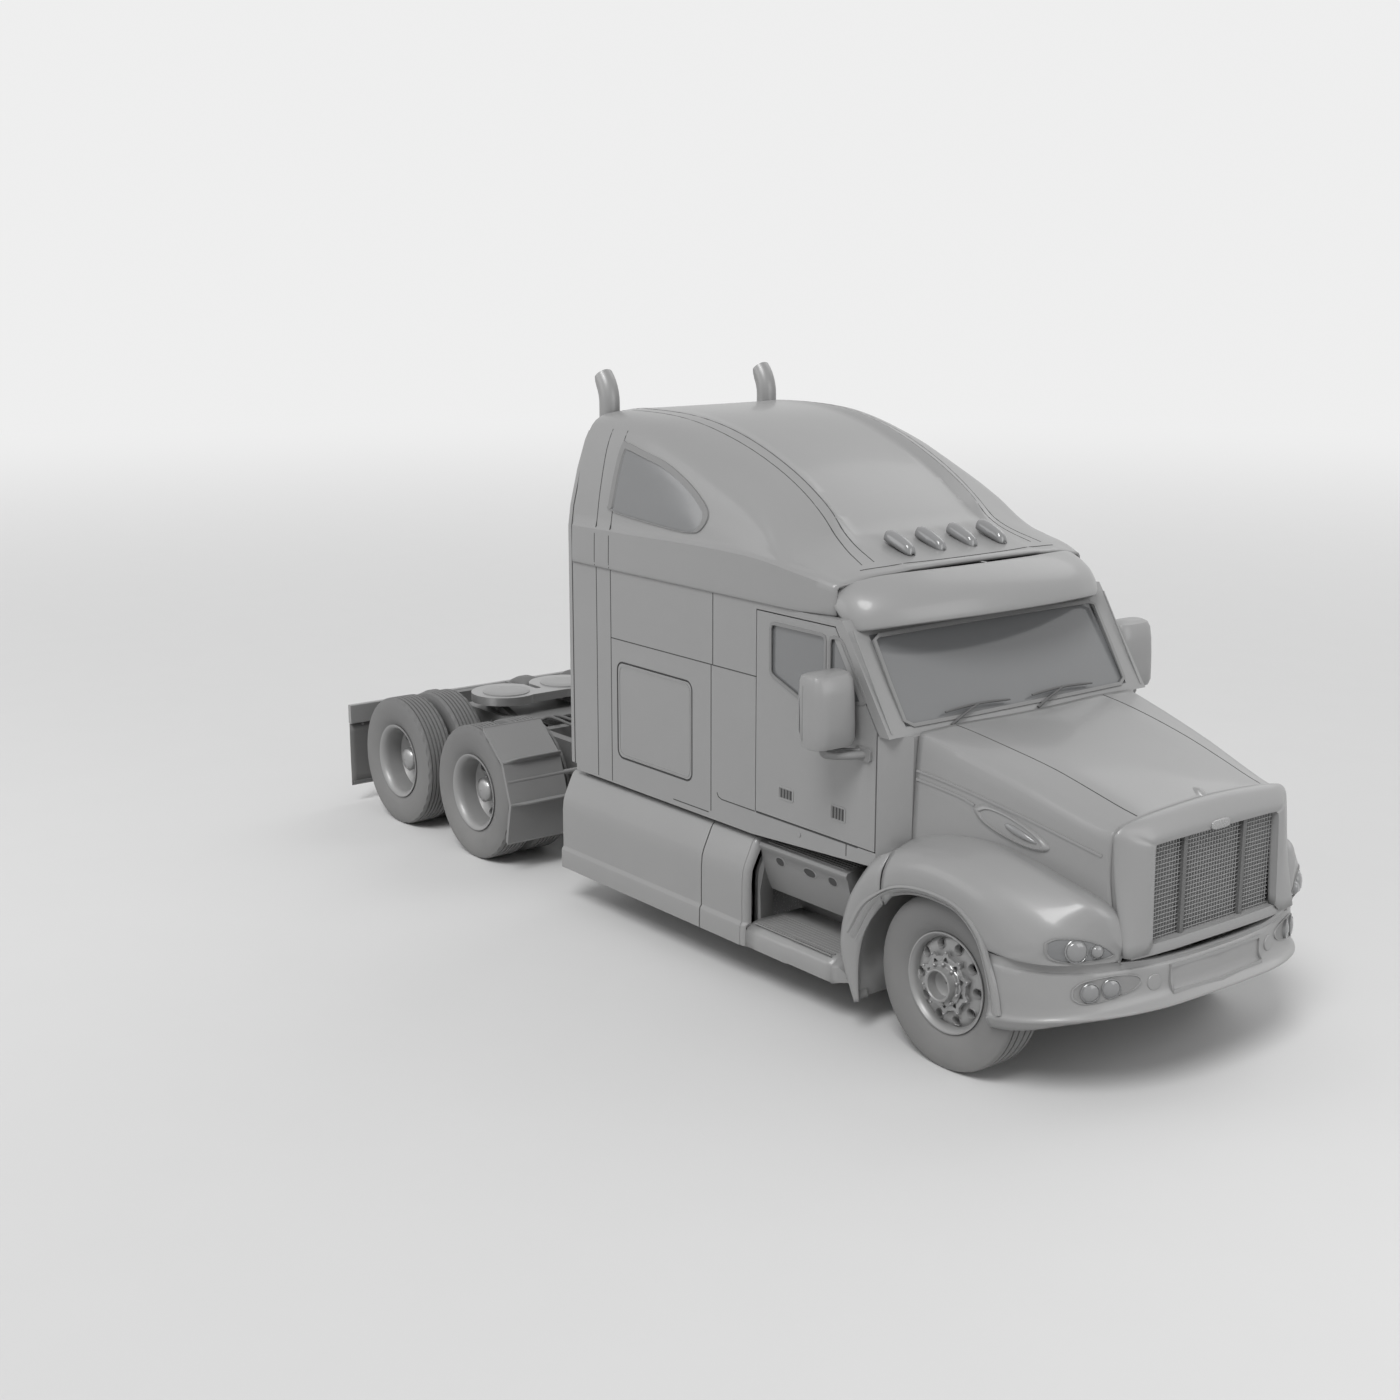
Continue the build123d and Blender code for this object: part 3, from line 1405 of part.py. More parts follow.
with BuildPart() as rear_mudguards:
    for sector, near_y, far_y in (
        (guard_sector(guard_inner_radius, guard_radius), cab_half_width, fender_half),
        (guard_sector(arch_radius, guard_radius), fender_half - fender_wall, fender_half),
        (guard_sector(guard_inner_radius, guard_inner_radius + guard_sheet), guard_inner_y, fender_half),
    ):
        add(extrude(Plane.XZ.offset(-far_y) * sector, amount=far_y - near_y, mode=Mode.PRIVATE))
    with BuildSketch(Plane.XZ.offset(-fender_half)):
        with BuildLine():
            Polyline(
                (front_axle_x - flap_top_rear_setback, guard_low_z + guard_sheet),
                (front_axle_x - flap_low_rear_setback, flap_low_z),
                (front_axle_x - flap_low_front_setback, flap_low_z),
                (arch_x - arch_radius + guard_sheet, arch_z - guard_sheet),
                (arch_x - arch_radius + guard_sheet, guard_low_z + guard_sheet),
                close=True,
            )
        make_face()
        with Locations((arch_x, arch_z)):
            Circle(arch_radius, mode=Mode.SUBTRACT)
    extrude(amount=fender_wall)
    with BuildSketch(Plane.XZ.offset(-fender_half)):
        with BuildLine():
            Polyline(
                (arch_x - guard_inner_radius - guard_sheet / 2, guard_low_z + guard_sheet),
                (front_axle_x - flap_low_rear_setback, flap_low_z),
                (front_axle_x - flap_low_rear_setback + guard_sheet / 2, flap_low_z),
                (arch_x - guard_inner_radius + guard_sheet / 2, guard_low_z + guard_sheet),
                close=True,
            )
        make_face()
    extrude(amount=fender_half - guard_inner_y)
    mirror(about=Plane.XZ)
export(rear_mudguards, "rear_mudguards")

# Quarter fenders ahead of the first drive axle: a folded sheet on a tube
quarter_radius = 640.0
quarter_sheet = 10.0
quarter_angles = (66.0, 34.0, 4.0, -26.0)
quarter_near_y = 720.0
quarter_far_y = 1245.0
quarter_tube_radius = 22.0
quarter_tube_angle = 20.0
quarter_axle_x = drive_axle_xs[0]
outer_folds = [
    (quarter_axle_x + quarter_radius * cos(radians(a)), hub_z + quarter_radius * sin(radians(a)))
    for a in quarter_angles
]
inner_radius = quarter_radius - quarter_sheet
inner_folds = [
    (quarter_axle_x + inner_radius * cos(radians(a)), hub_z + inner_radius * sin(radians(a)))
    for a in quarter_angles
]
with BuildPart() as quarter_fenders:
    with BuildSketch(Plane.XZ.offset(-quarter_near_y)):
        with BuildLine():
            Polyline(*outer_folds, *reversed(inner_folds), close=True)
        make_face()
    extrude(amount=quarter_near_y - quarter_far_y)
    with BuildSketch(Plane.XZ.offset(-rail_outer_y)):
        with Locations(
            (
                quarter_axle_x + quarter_radius * cos(radians(quarter_tube_angle)),
                hub_z + quarter_radius * sin(radians(quarter_tube_angle)),
            )
        ):
            Circle(quarter_tube_radius)
    extrude(amount=rail_outer_y - quarter_far_y)
    mirror(about=Plane.XZ)
export(quarter_fenders, "quarter_fenders")

# Rear crossbar across the frame's end, with the mud flaps below it
bar_half = 1225.0
bar_low_z = 705.0
lamp_depth = 12.0
with BuildPart() as rear_crossbar:
    with BuildSketch(Plane.YZ.offset(rear_end_x + lamp_depth)):
        with Locations((0, (rail_top_z + bar_low_z) / 2)):
            Rectangle(2 * bar_half, rail_top_z - bar_low_z)
    extrude(amount=crossbar_depth - lamp_depth)
export(rear_crossbar, "rear_crossbar")

mudflap_thickness = 12.0
mudflap_low_z = 152.0
mudflap_inner_y = 620.0
with BuildPart() as mudflaps:
    with BuildSketch(Plane.XY.offset(bar_low_z)):
        with Locations((rear_end_x + crossbar_depth / 2, (bar_half + mudflap_inner_y) / 2)):
            Rectangle(mudflap_thickness, bar_half - mudflap_inner_y)
    extrude(amount=mudflap_low_z - bar_low_z)
    mirror(about=Plane.XZ)
export(mudflaps, "mudflaps")

# Fixed lamps: tail lamps on the crossbar and marker lamps on the roof's ledge
tail_lamp_radius = 48.0
tail_lamp_first_y = 680.0
tail_lamp_pitch = 140.0
tail_lamp_count = 3
marker_radius = 34.0
marker_length = 150.0
marker_setback = 1260.0
marker_spread = 430.0
marker_place_shares = (-1, -0.35, 0.35, 1)
ledge_fall_share = (ledge_rear_z - brow_z) / (ledge_rear_setback - brow_setback)
marker_z = brow_z + (marker_setback - brow_setback) * ledge_fall_share
with BuildPart() as lamps:
    with BuildSketch(Plane.YZ.offset(rear_end_x)):
        for lamp_number in range(tail_lamp_count):
            lamp_y = tail_lamp_first_y + lamp_number * tail_lamp_pitch
            with Locations((lamp_y, (rail_top_z + bar_low_z) / 2), (-lamp_y, (rail_top_z + bar_low_z) / 2)):
                Circle(tail_lamp_radius)
    extrude(amount=lamp_depth)
    for place_share in marker_place_shares:
        slope = Plane(
            origin=(front_axle_x - marker_setback, place_share * marker_spread, marker_z),
            x_dir=(1, 0, -ledge_fall_share),
            z_dir=(ledge_fall_share, 0, 1),
        )
        with BuildSketch(slope):
            SlotOverall(marker_length, 2 * marker_radius)
        extrude(amount=marker_radius)
export(lamps, "lamps")

# Interior: dashboard, steering wheel, seats and bunk
dash_low_z = 1500.0
dash_depth = 330.0
dash_side_gap = 20.0
dash_profile_shares = ((0, 0), (0, 0.95), (0.75, 0.9), (1, 0.5), (0.7, 0))
dash_half = cab_half_width - side_wall - dash_side_gap
dash_outline = [
    (cowl_rear_x - back_share * dash_depth, dash_low_z + up_share * (screen_low_z - dash_low_z))
    for back_share, up_share in dash_profile_shares
]
with BuildPart() as dashboard:
    with BuildSketch(Plane.XZ.offset(-dash_half)):
        with BuildLine():
            Polyline(*dash_outline, close=True)
        make_face()
    extrude(amount=2 * dash_half)
export(dashboard, "dashboard")

driver_y = 600.0
wheel_ring_radius = 220.0
wheel_ring_thickness = 16.0
column_radius = 30.0
column_tilt = 50.0
column_reach = 130.0
wheel_ring_z = 1830.0
wheel_plane = Plane(
    origin=(cowl_rear_x - dash_depth - column_reach, driver_y, wheel_ring_z),
    x_dir=(0, 1, 0),
    z_dir=(cos(radians(column_tilt)), 0, -sin(radians(column_tilt))),
)
with BuildPart() as steering_wheel:
    with BuildSketch(wheel_plane.offset(-wheel_ring_thickness)):
        Circle(wheel_ring_radius)
        Circle(wheel_ring_radius - 2 * wheel_ring_thickness, mode=Mode.SUBTRACT)
        Rectangle(2 * (wheel_ring_radius - wheel_ring_thickness), 2 * wheel_ring_thickness)
        Circle(3 * wheel_ring_thickness)
    extrude(amount=2 * wheel_ring_thickness)
    with BuildSketch(wheel_plane):
        Circle(column_radius)
    extrude(until=Until.NEXT, target=dashboard.part)
export(steering_wheel, "steering_wheel")

seat_width = 520.0
seat_base_width = 400.0
seat_depth = 500.0
seat_rear_setback = 2090.0
cushion_low_z = 1420.0
cushion_height = 130.0
back_height = 700.0
back_thickness = 130.0
bunk_low_z = 1930.0
bunk_thickness = 170.0
bunk_depth = 900.0
with BuildPart() as seats_and_bunk:
    for seat_y in (-driver_y, driver_y):
        seat_x = front_axle_x - seat_rear_setback
        with BuildSketch(Plane.XY.offset(cushion_low_z)):
            with Locations((seat_x + seat_depth / 2 + back_thickness / 2, seat_y)):
                RectangleRounded(seat_depth + back_thickness, seat_width, back_thickness / 3)
        extrude(amount=cushion_height)
        with BuildSketch(Plane.XY.offset(cushion_low_z + cushion_height)):
            with Locations((seat_x + back_thickness / 2, seat_y)):
                RectangleRounded(back_thickness, seat_width, back_thickness / 3)
        extrude(amount=back_height)
        with BuildSketch(Plane.XY.offset(floor_top_z)):
            with Locations((seat_x + seat_depth / 2 + back_thickness / 2, seat_y)):
                Rectangle(seat_base_width, seat_base_width)
        extrude(amount=cushion_low_z - floor_top_z)
    with BuildSketch(Plane.XY.offset(bunk_low_z)):
        with Locations((cab_rear_x + side_wall + bunk_depth / 2, 0)):
            Rectangle(bunk_depth, 2 * (cab_half_width - side_wall))
    extrude(amount=bunk_thickness)
export(seats_and_bunk, "seats_and_bunk")

# Wipers lying along the windscreen's lower edge
wiper_length = 560.0
wiper_thickness = 22.0
wiper_y = 380.0
wiper_low_z = screen_low_z + screen_edge_margin / 4
wiper_top_z = screen_low_z + 3 * screen_edge_margin / 4
with BuildPart() as wipers:
    with BuildSketch(Plane.XZ.offset(-wiper_y - wiper_length / 2)):
        with BuildLine():
            Polyline(
                (screen_x(wiper_low_z), wiper_low_z),
                (screen_x(wiper_low_z) + wiper_thickness, wiper_low_z),
                (screen_x(wiper_top_z) + wiper_thickness, wiper_top_z),
                (screen_x(wiper_top_z), wiper_top_z),
                close=True,
            )
        make_face()
    extrude(amount=wiper_length)
    mirror(about=Plane.XZ)
export(wipers, "wipers")
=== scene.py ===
"""Looks of a long-nose sleeper tractor unit, built round its CAD frame in the same metres."""
import math

import bmesh
import bpy
import numpy as np
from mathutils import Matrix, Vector
from mathutils.bvhtree import BVHTree


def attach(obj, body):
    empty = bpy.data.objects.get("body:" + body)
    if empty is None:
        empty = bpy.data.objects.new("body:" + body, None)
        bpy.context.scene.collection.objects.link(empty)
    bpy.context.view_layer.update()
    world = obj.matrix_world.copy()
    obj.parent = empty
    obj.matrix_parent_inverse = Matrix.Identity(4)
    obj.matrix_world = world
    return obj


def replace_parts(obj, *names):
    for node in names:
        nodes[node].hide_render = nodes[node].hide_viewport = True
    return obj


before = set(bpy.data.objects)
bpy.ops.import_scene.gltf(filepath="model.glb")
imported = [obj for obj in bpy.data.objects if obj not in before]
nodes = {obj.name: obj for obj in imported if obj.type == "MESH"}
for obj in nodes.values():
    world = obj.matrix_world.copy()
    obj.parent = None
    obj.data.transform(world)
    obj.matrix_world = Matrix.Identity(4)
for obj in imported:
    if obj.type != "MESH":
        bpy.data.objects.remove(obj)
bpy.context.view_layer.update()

# Places that many pieces share, in metres
AXLE_X = 3.045
HUB_Z = 0.535
CAB_HALF = 1.150
DRIVE_XS = (AXLE_X - 5.811 + 0.6095, AXLE_X - 5.811 - 0.6095)
STEER_Y, OUTER_Y, INNER_Y = 1.014, 1.074, 0.744  # middle planes of the front, outer dual and inner dual tyres
SIDES = (("right", -1), ("left", 1))

# Camera: the photograph's viewing angle, solved from the wheels and the frame
CAMERA_AT = (10.5802, -8.762, 4.7166)
CAMERA_YAW = math.radians(142.33)
CAMERA_PITCH = math.radians(-13.14)
FOCAL_PIXELS = 1931.6
FRAME_PIXELS = 1400


# Materials
def material(name, colour, rough, metal=0.0, grain=60.0, bump=0.02, vary=0.05, wear=0.0, coat=0.0, dirt=0.0):
    """A shader with fine grain, slow colour drift, and dust that settles low down."""
    made = bpy.data.materials.new(name)
    made.use_nodes = True
    tree = made.node_tree
    link = tree.links.new
    shader = tree.nodes["Principled BSDF"]
    shader.inputs["Metallic"].default_value = metal
    shader.inputs["Coat Weight"].default_value = coat
    shader.inputs["Coat Roughness"].default_value = 0.12
    place = tree.nodes.new("ShaderNodeTexCoord")
    slow = tree.nodes.new("ShaderNodeTexNoise")
    slow.inputs["Scale"].default_value = 1.7
    slow.inputs["Detail"].default_value = 6.0
    fine = tree.nodes.new("ShaderNodeTexNoise")
    fine.inputs["Scale"].default_value = grain
    fine.inputs["Detail"].default_value = 4.0
    link(place.outputs["Object"], slow.inputs["Vector"])
    link(place.outputs["Object"], fine.inputs["Vector"])
    drift = tree.nodes.new("ShaderNodeMapRange")
    drift.inputs["To Min"].default_value = 1.0 - vary
    drift.inputs["To Max"].default_value = 1.0 + vary
    link(slow.outputs["Fac"], drift.inputs["Value"])
    tint = tree.nodes.new("ShaderNodeMix")
    tint.data_type = "RGBA"
    tint.blend_type = "MULTIPLY"
    tint.inputs[0].default_value = 1.0
    tint.inputs[6].default_value = (*colour, 1.0)
    link(drift.outputs["Result"], tint.inputs[7])
    last = tint.outputs[2]
    if dirt:
        spot = tree.nodes.new("ShaderNodeSeparateXYZ")
        link(place.outputs["Object"], spot.inputs["Vector"])
        low = tree.nodes.new("ShaderNodeMapRange")
        low.inputs["From Min"].default_value = 1.1
        low.inputs["From Max"].default_value = 0.1
        low.inputs["To Max"].default_value = dirt
        link(spot.outputs["Z"], low.inputs["Value"])
        patchy = tree.nodes.new("ShaderNodeMath")
        patchy.operation = "MULTIPLY"
        link(low.outputs["Result"], patchy.inputs[0])
        link(slow.outputs["Fac"], patchy.inputs[1])
        dust = tree.nodes.new("ShaderNodeMix")
        dust.data_type = "RGBA"
        dust.inputs[7].default_value = (0.30, 0.295, 0.285, 1.0)
        link(patchy.outputs["Value"], dust.inputs[0])
        link(last, dust.inputs[6])
        last = dust.outputs[2]
    if wear:
        shape = tree.nodes.new("ShaderNodeNewGeometry")
        edge = tree.nodes.new("ShaderNodeMapRange")
        edge.inputs["From Min"].default_value = 0.52
        edge.inputs["From Max"].default_value = 0.60
        edge.inputs["To Max"].default_value = wear
        link(shape.outputs["Pointiness"], edge.inputs["Value"])
        rub = tree.nodes.new("ShaderNodeMix")
        rub.data_type = "RGBA"
        rub.inputs[7].default_value = (0.42, 0.42, 0.42, 1.0)
        link(edge.outputs["Result"], rub.inputs[0])
        link(last, rub.inputs[6])
        last = rub.outputs[2]
    link(last, shader.inputs["Base Color"])
    gloss = tree.nodes.new("ShaderNodeMapRange")
    gloss.inputs["To Min"].default_value = max(0.03, rough - 0.06)
    gloss.inputs["To Max"].default_value = min(1.0, rough + 0.06)
    link(fine.outputs["Fac"], gloss.inputs["Value"])
    link(gloss.outputs["Result"], shader.inputs["Roughness"])
    relief = tree.nodes.new("ShaderNodeBump")
    relief.inputs["Strength"].default_value = 0.35
    relief.inputs["Distance"].default_value = bump * 0.01
    link(fine.outputs["Fac"], relief.inputs["Height"])
    link(relief.outputs["Normal"], shader.inputs["Normal"])
    return made


def grey(level, tone=0.0):
    """A neutral grey, or one pulled a little warm (above 0) or cool (below 0)."""
    return (level * (1 + tone), level, level * (1 - tone))


MATERIALS = {
    "paint": material("body_paint", grey(0.250), 0.40, grain=220, bump=0.03, vary=0.035, coat=0.25, dirt=0.25),
    "moulding": material("moulded_plastic", grey(0.205), 0.55, grain=400, bump=0.12, vary=0.05, dirt=0.3),
    "glass": material("dark_glass", grey(0.165, -0.02), 0.12, grain=30, bump=0.004, vary=0.03, coat=0.5),
    # seam: near-black painted shade, laid in panel gaps, slots, openings and creases
    "seam": material("seam_shadow", grey(0.045), 0.8, grain=120, bump=0.05),
    "rubber": material("tyre_rubber", grey(0.150), 0.72, grain=500, bump=0.2, vary=0.08, dirt=0.5),
    "wheel": material("wheel_steel", grey(0.270), 0.38, metal=0.2, grain=180, bump=0.04, vary=0.06, dirt=0.35),
    "steel": material("machined_steel", grey(0.33), 0.32, metal=0.6, grain=260, bump=0.05, vary=0.06),
    "chassis": material("chassis_paint", grey(0.155), 0.58, grain=150, bump=0.1, vary=0.1, dirt=0.5),
    "cast": material("cast_iron", grey(0.140), 0.7, grain=300, bump=0.35, vary=0.1, dirt=0.4),
    "bright": material("bright_metal", grey(0.34), 0.26, metal=0.45, grain=90, bump=0.01, vary=0.04),
    "lens": material("lamp_lens", grey(0.205, -0.01), 0.16, grain=70, bump=0.02, vary=0.03, coat=0.6),
    "mesh": material("grille_mesh", grey(0.115), 0.5, grain=200, bump=0.1, vary=0.08),
    "inside": material("cab_trim", grey(0.120, 0.03), 0.75, grain=350, bump=0.25, vary=0.06),
    "cloth": material("seat_cloth", grey(0.11, 0.02), 0.95, grain=900, bump=0.5, vary=0.08),
    "flap": material("flap_rubber", grey(0.115), 0.8, grain=400, bump=0.25, vary=0.08, dirt=0.5),
}

NODE_FINISH = {
    "paint": (
        "bumper cab_back cab_side_left cab_side_right cowl door_left door_right hatch_left hatch_right hood"
        " roof_cap side_extenders side_fairings sun_visor windscreen_frame mirror_left mirror_right"
        " rear_mudguards"
    ),
    "moulding": "cab_steps quarter_fenders wipers",
    "glass": "door_glass_left door_glass_right roof_windows windscreen",
    "rubber": (
        "front_tyre_left front_tyre_right dual_tyres_1_left dual_tyres_1_right dual_tyres_2_left"
        " dual_tyres_2_right"
    ),
    "wheel": (
        "front_wheel_left front_wheel_right dual_wheels_1_left dual_wheels_1_right dual_wheels_2_left"
        " dual_wheels_2_right"
    ),
    "steel": "fifth_wheel_plate",
    "chassis": "frame rear_crossbar fifth_wheel_base cab_mounts drive_suspension front_axle radiator",
    "cast": "driveline engine knuckle_left knuckle_right",
    "bright": "exhaust_stacks fuel_tanks",
    "lens": "headlamps lamps",
    "mesh": "grille",
    "inside": "cab_floor dashboard steering_wheel",
    "cloth": "seats_and_bunk",
    "flap": "mudflaps",
}
for finish, names in NODE_FINISH.items():
    for name in names.split():
        data = nodes[name].data
        data.materials.clear()
        data.materials.append(MATERIALS[finish])


# Mesh tools
def around(count):
    """Evenly spaced angles of a full turn."""
    return np.linspace(0, 2 * math.pi, count + 1)[:-1]


def squared(value, power):
    """A sine or cosine pulled towards a rounded square."""
    return math.copysign(abs(value) ** power, value)


def ax(points):
    """Points measured from the front axle, moved into the shared frame."""
    return [(x + AXLE_X, y, z) for x, y, z in points]


def flip(points):
    """The same points on the other side of the vehicle."""
    return [(x, -y, z) for x, y, z in points]


def mirror_row(row):
    """A half section that ends in the middle, made whole."""
    return list(row) + flip(reversed(row[:-1]))


def both_sides(rows):
    """Sections from the middle outwards, with those of the other side put in front."""
    return [flip(row) for row in reversed(rows[1:])] + rows


def spline(points, steps):
    """A row of points rounded by steps between neighbours; a doubled point stays a corner."""
    pts = np.asarray(points, float)
    out = []
    for i in range(len(pts) - 1):
        a, b = pts[i], pts[i + 1]
        if np.linalg.norm(b - a) < 1e-9:
            continue
        before = pts[i - 1] if i > 0 else a
        after = pts[i + 2] if i + 2 < len(pts) else b
        if np.linalg.norm(a - before) < 1e-9:
            before = 2 * a - b
        if np.linalg.norm(after - b) < 1e-9:
            after = 2 * b - a
        for k in range(steps):
            t = k / steps
            out.append(
                0.5
                * (
                    2 * a
                    + (b - before) * t
                    + (2 * before - 5 * a + 4 * b - after) * t * t
                    + (3 * a - before - 3 * b + after) * t * t * t
                )
            )
    out.append(pts[-1])
    return np.array(out)


def closed_outline(points, steps=4):
    """A rounded loop through points."""
    return spline(list(points) + [points[0]], steps)[:-1]


def creased(rows, places):
    """Rows with the points at some places doubled, so that they stay corners."""
    return [[p for i, p in enumerate(row) for _ in range(2 if i in places else 1)] for row in rows]


def smooth_rows(rows, along, across):
    """A grid of points, rounded in both directions."""
    fine = [spline(row, across) for row in rows]
    columns = [spline([row[j] for row in fine], along) for j in range(len(fine[0]))]
    return [[column[i] for column in columns] for i in range(len(columns[0]))]


class Shape:
    """Points and faces of one piece, gathered before its mesh is made."""

    def __init__(self):
        self.points = []
        self.faces = []

    def add(self, points, faces):
        base = len(self.points)
        self.points += [tuple(float(c) for c in p) for p in points]
        self.faces += [tuple(base + i for i in f) for f in faces]
        return self

    def grid(self, rows, close_along=False, close_across=False, caps=False):
        """Quads between rows of equal length, and flat ends where caps is set."""
        n, m = len(rows), len(rows[0])
        points = [p for row in rows for p in row]
        faces = []
        for i in range(n if close_along else n - 1):
            for j in range(m if close_across else m - 1):
                k, l = (i + 1) % n, (j + 1) % m
                faces.append((i * m + j, i * m + l, k * m + l, k * m + j))
        if caps:
            faces.append(tuple(reversed(range(m))))
            faces.append(tuple((n - 1) * m + j for j in range(m)))
        return self.add(points, faces)

    def join(self, *others):
        for other in others:
            self.add(other.points, other.faces)
        return self

    def cap(self, ring):
        """One flat face inside a ring of points."""
        return self.add(ring, [tuple(range(len(ring)))])

    def loft(self, rings):
        """A closed solid through rings with the same number of points."""
        return self.grid(rings, close_across=True, caps=True)

    def prism(self, low, high):
        return self.loft([low, high])

    def box(self, low, high):
        (x, y, z), (u, v, w) = low, high
        return self.prism([(x, y, z), (u, y, z), (u, v, z), (x, v, z)], [(x, y, w), (u, y, w), (u, v, w), (x, v, w)])

    def lathe(self, profile, centre, side, turns, closed=False):
        """Turns (radius, distance along Y) about a wheel's axle."""
        x, y, z = centre
        rows = []
        for i in range(turns):
            a = 2 * math.pi * i / turns
            rows.append([(x + r * math.cos(a), y + side * d, z + r * math.sin(a)) for r, d in profile])
        return self.grid(rows, close_along=True, close_across=closed)

    def tube(self, path, radius, sides=12, closed=False):
        """A pipe along a path; radius is one number or one for each point."""
        pts = [Vector(p) for p in path]
        rows = []
        n = len(pts)
        normal = None
        for i, p in enumerate(pts):
            if closed:
                way = pts[(i + 1) % n] - pts[i - 1]
            else:
                way = pts[min(i + 1, n - 1)] - pts[max(i - 1, 0)]
            way.normalize()
            if normal is None:
                normal = way.orthogonal().normalized()
            normal = (normal - way * normal.dot(way)).normalized()
            other = way.cross(normal)
            r = radius[i] if hasattr(radius, "__len__") else radius
            row = []
            for j in range(sides):
                a = 2 * math.pi * j / sides
                row.append(p + r * (math.cos(a) * normal + math.sin(a) * other))
            rows.append(row)
        return self.grid(rows, close_along=closed, close_across=True, caps=not closed)

    def strip(self, path, width, height, outward, closed=False):
        """A low flat-topped bead along a path on a surface, width across and height proud."""
        pts = [Vector(p) for p in path]
        n = len(pts)
        out = Vector(outward).normalized()
        rows = []
        for i, p in enumerate(pts):
            if closed:
                way = pts[(i + 1) % n] - pts[i - 1]
            else:
                way = pts[min(i + 1, n - 1)] - pts[max(i - 1, 0)]
            across = way.cross(out).normalized() * width / 2
            rows.append(
                [
                    p - across - out * 0.004,
                    p - across * 0.9 + out * height,
                    p + across * 0.9 + out * height,
                    p + across - out * 0.004,
                ]
            )
        return self.grid(rows, close_along=closed, close_across=True, caps=not closed)

    def mirrored(self):
        """Adds the same on the other side of the vehicle."""
        return self.add(flip(self.points), [tuple(reversed(f)) for f in self.faces])

    def make(self, name, body, finish, bevel=0.0, subdivide=0, thick=0.0, offset=-1.0, flat=False):
        """The gathered faces as one piece that rides a body."""
        mesh = bpy.data.meshes.new(name)
        build = bmesh.new()
        made = [build.verts.new(p) for p in self.points]
        for face in self.faces:
            corners = []
            for i in face:
                if made[i] not in corners:
                    corners.append(made[i])
            if len(corners) > 2:
                try:
                    build.faces.new(corners)
                except ValueError:
                    pass
        bmesh.ops.remove_doubles(build, verts=build.verts, dist=1e-5)
        bmesh.ops.recalc_face_normals(build, faces=build.faces)
        build.to_mesh(mesh)
        build.free()
        mesh.materials.append(MATERIALS[finish])
        if not flat:
            mesh.polygons.foreach_set("use_smooth", [True] * len(mesh.polygons))
            mesh.set_sharp_from_angle(angle=math.radians(38))
        piece = bpy.data.objects.new(name, mesh)
        bpy.context.scene.collection.objects.link(piece)
        if subdivide:
            step = piece.modifiers.new("round", "SUBSURF")
            step.levels = step.render_levels = subdivide
        if thick:
            step = piece.modifiers.new("wall", "SOLIDIFY")
            step.thickness = thick
            step.offset = offset
        if bevel:
            round_edges(piece, bevel, 35)
        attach(piece, body)
        return piece


def round_edges(piece, width, least_angle):
    step = piece.modifiers.new("edges", "BEVEL")
    step.width = width
    step.segments = 2
    step.limit_method = "ANGLE"
    step.angle_limit = math.radians(least_angle)
    step.harden_normals = True


# Roof: half sections from the band's lower edge to the middle, rear to front
ROOF_STATIONS = (
    # x, band top z, side y z, crease y z, shoulder y z, ridge z, panel z, middle z
    (-3.793, 2.825, 1.10, 3.13, 1.025, 3.42, 0.905, 3.565, 3.605, 3.600, 3.600),
    (-3.60, 2.827, 1.10, 3.13, 1.025, 3.43, 0.905, 3.580, 3.622, 3.618, 3.618),
    (-3.20, 2.832, 1.10, 3.12, 1.025, 3.42, 0.900, 3.570, 3.622, 3.612, 3.620),
    (-2.90, 2.838, 1.10, 3.10, 1.025, 3.37, 0.890, 3.530, 3.598, 3.580, 3.595),
    (-2.60, 2.845, 1.10, 3.07, 1.025, 3.31, 0.880, 3.460, 3.540, 3.512, 3.530),
    (-2.30, 2.849, 1.10, 3.03, 1.030, 3.23, 0.865, 3.370, 3.445, 3.408, 3.430),
    (-2.00, 2.848, 1.105, 2.98, 1.035, 3.14, 0.850, 3.245, 3.318, 3.275, 3.300),
    (-1.78, 2.842, 1.11, 2.93, 1.045, 3.04, 0.842, 3.120, 3.200, 3.150, 3.180),
    (-1.62, 2.830, 1.12, 2.88, 1.060, 2.93, 0.845, 3.000, 3.095, 3.045, 3.075),
    (-1.50, 2.815, 1.12, 2.84, 1.065, 2.87, 0.855, 2.925, 2.985, 2.965, 2.990),
    (-1.36, 2.797, 1.10, 2.82, 1.060, 2.835, 0.860, 2.875, 2.910, 2.912, 2.930),
    (-1.20, 2.768, 1.09, 2.79, 1.040, 2.800, 0.860, 2.832, 2.858, 2.866, 2.885),
    (-1.06, 2.730, 1.07, 2.75, 1.020, 2.760, 0.850, 2.795, 2.822, 2.832, 2.852),
)
BAND_Y = CAB_HALF + 0.012
RIDGE_Y = 0.62
PANEL_Y = 0.56


BAND_LOW_Z = 2.552
FRONT_INSET = 0.10


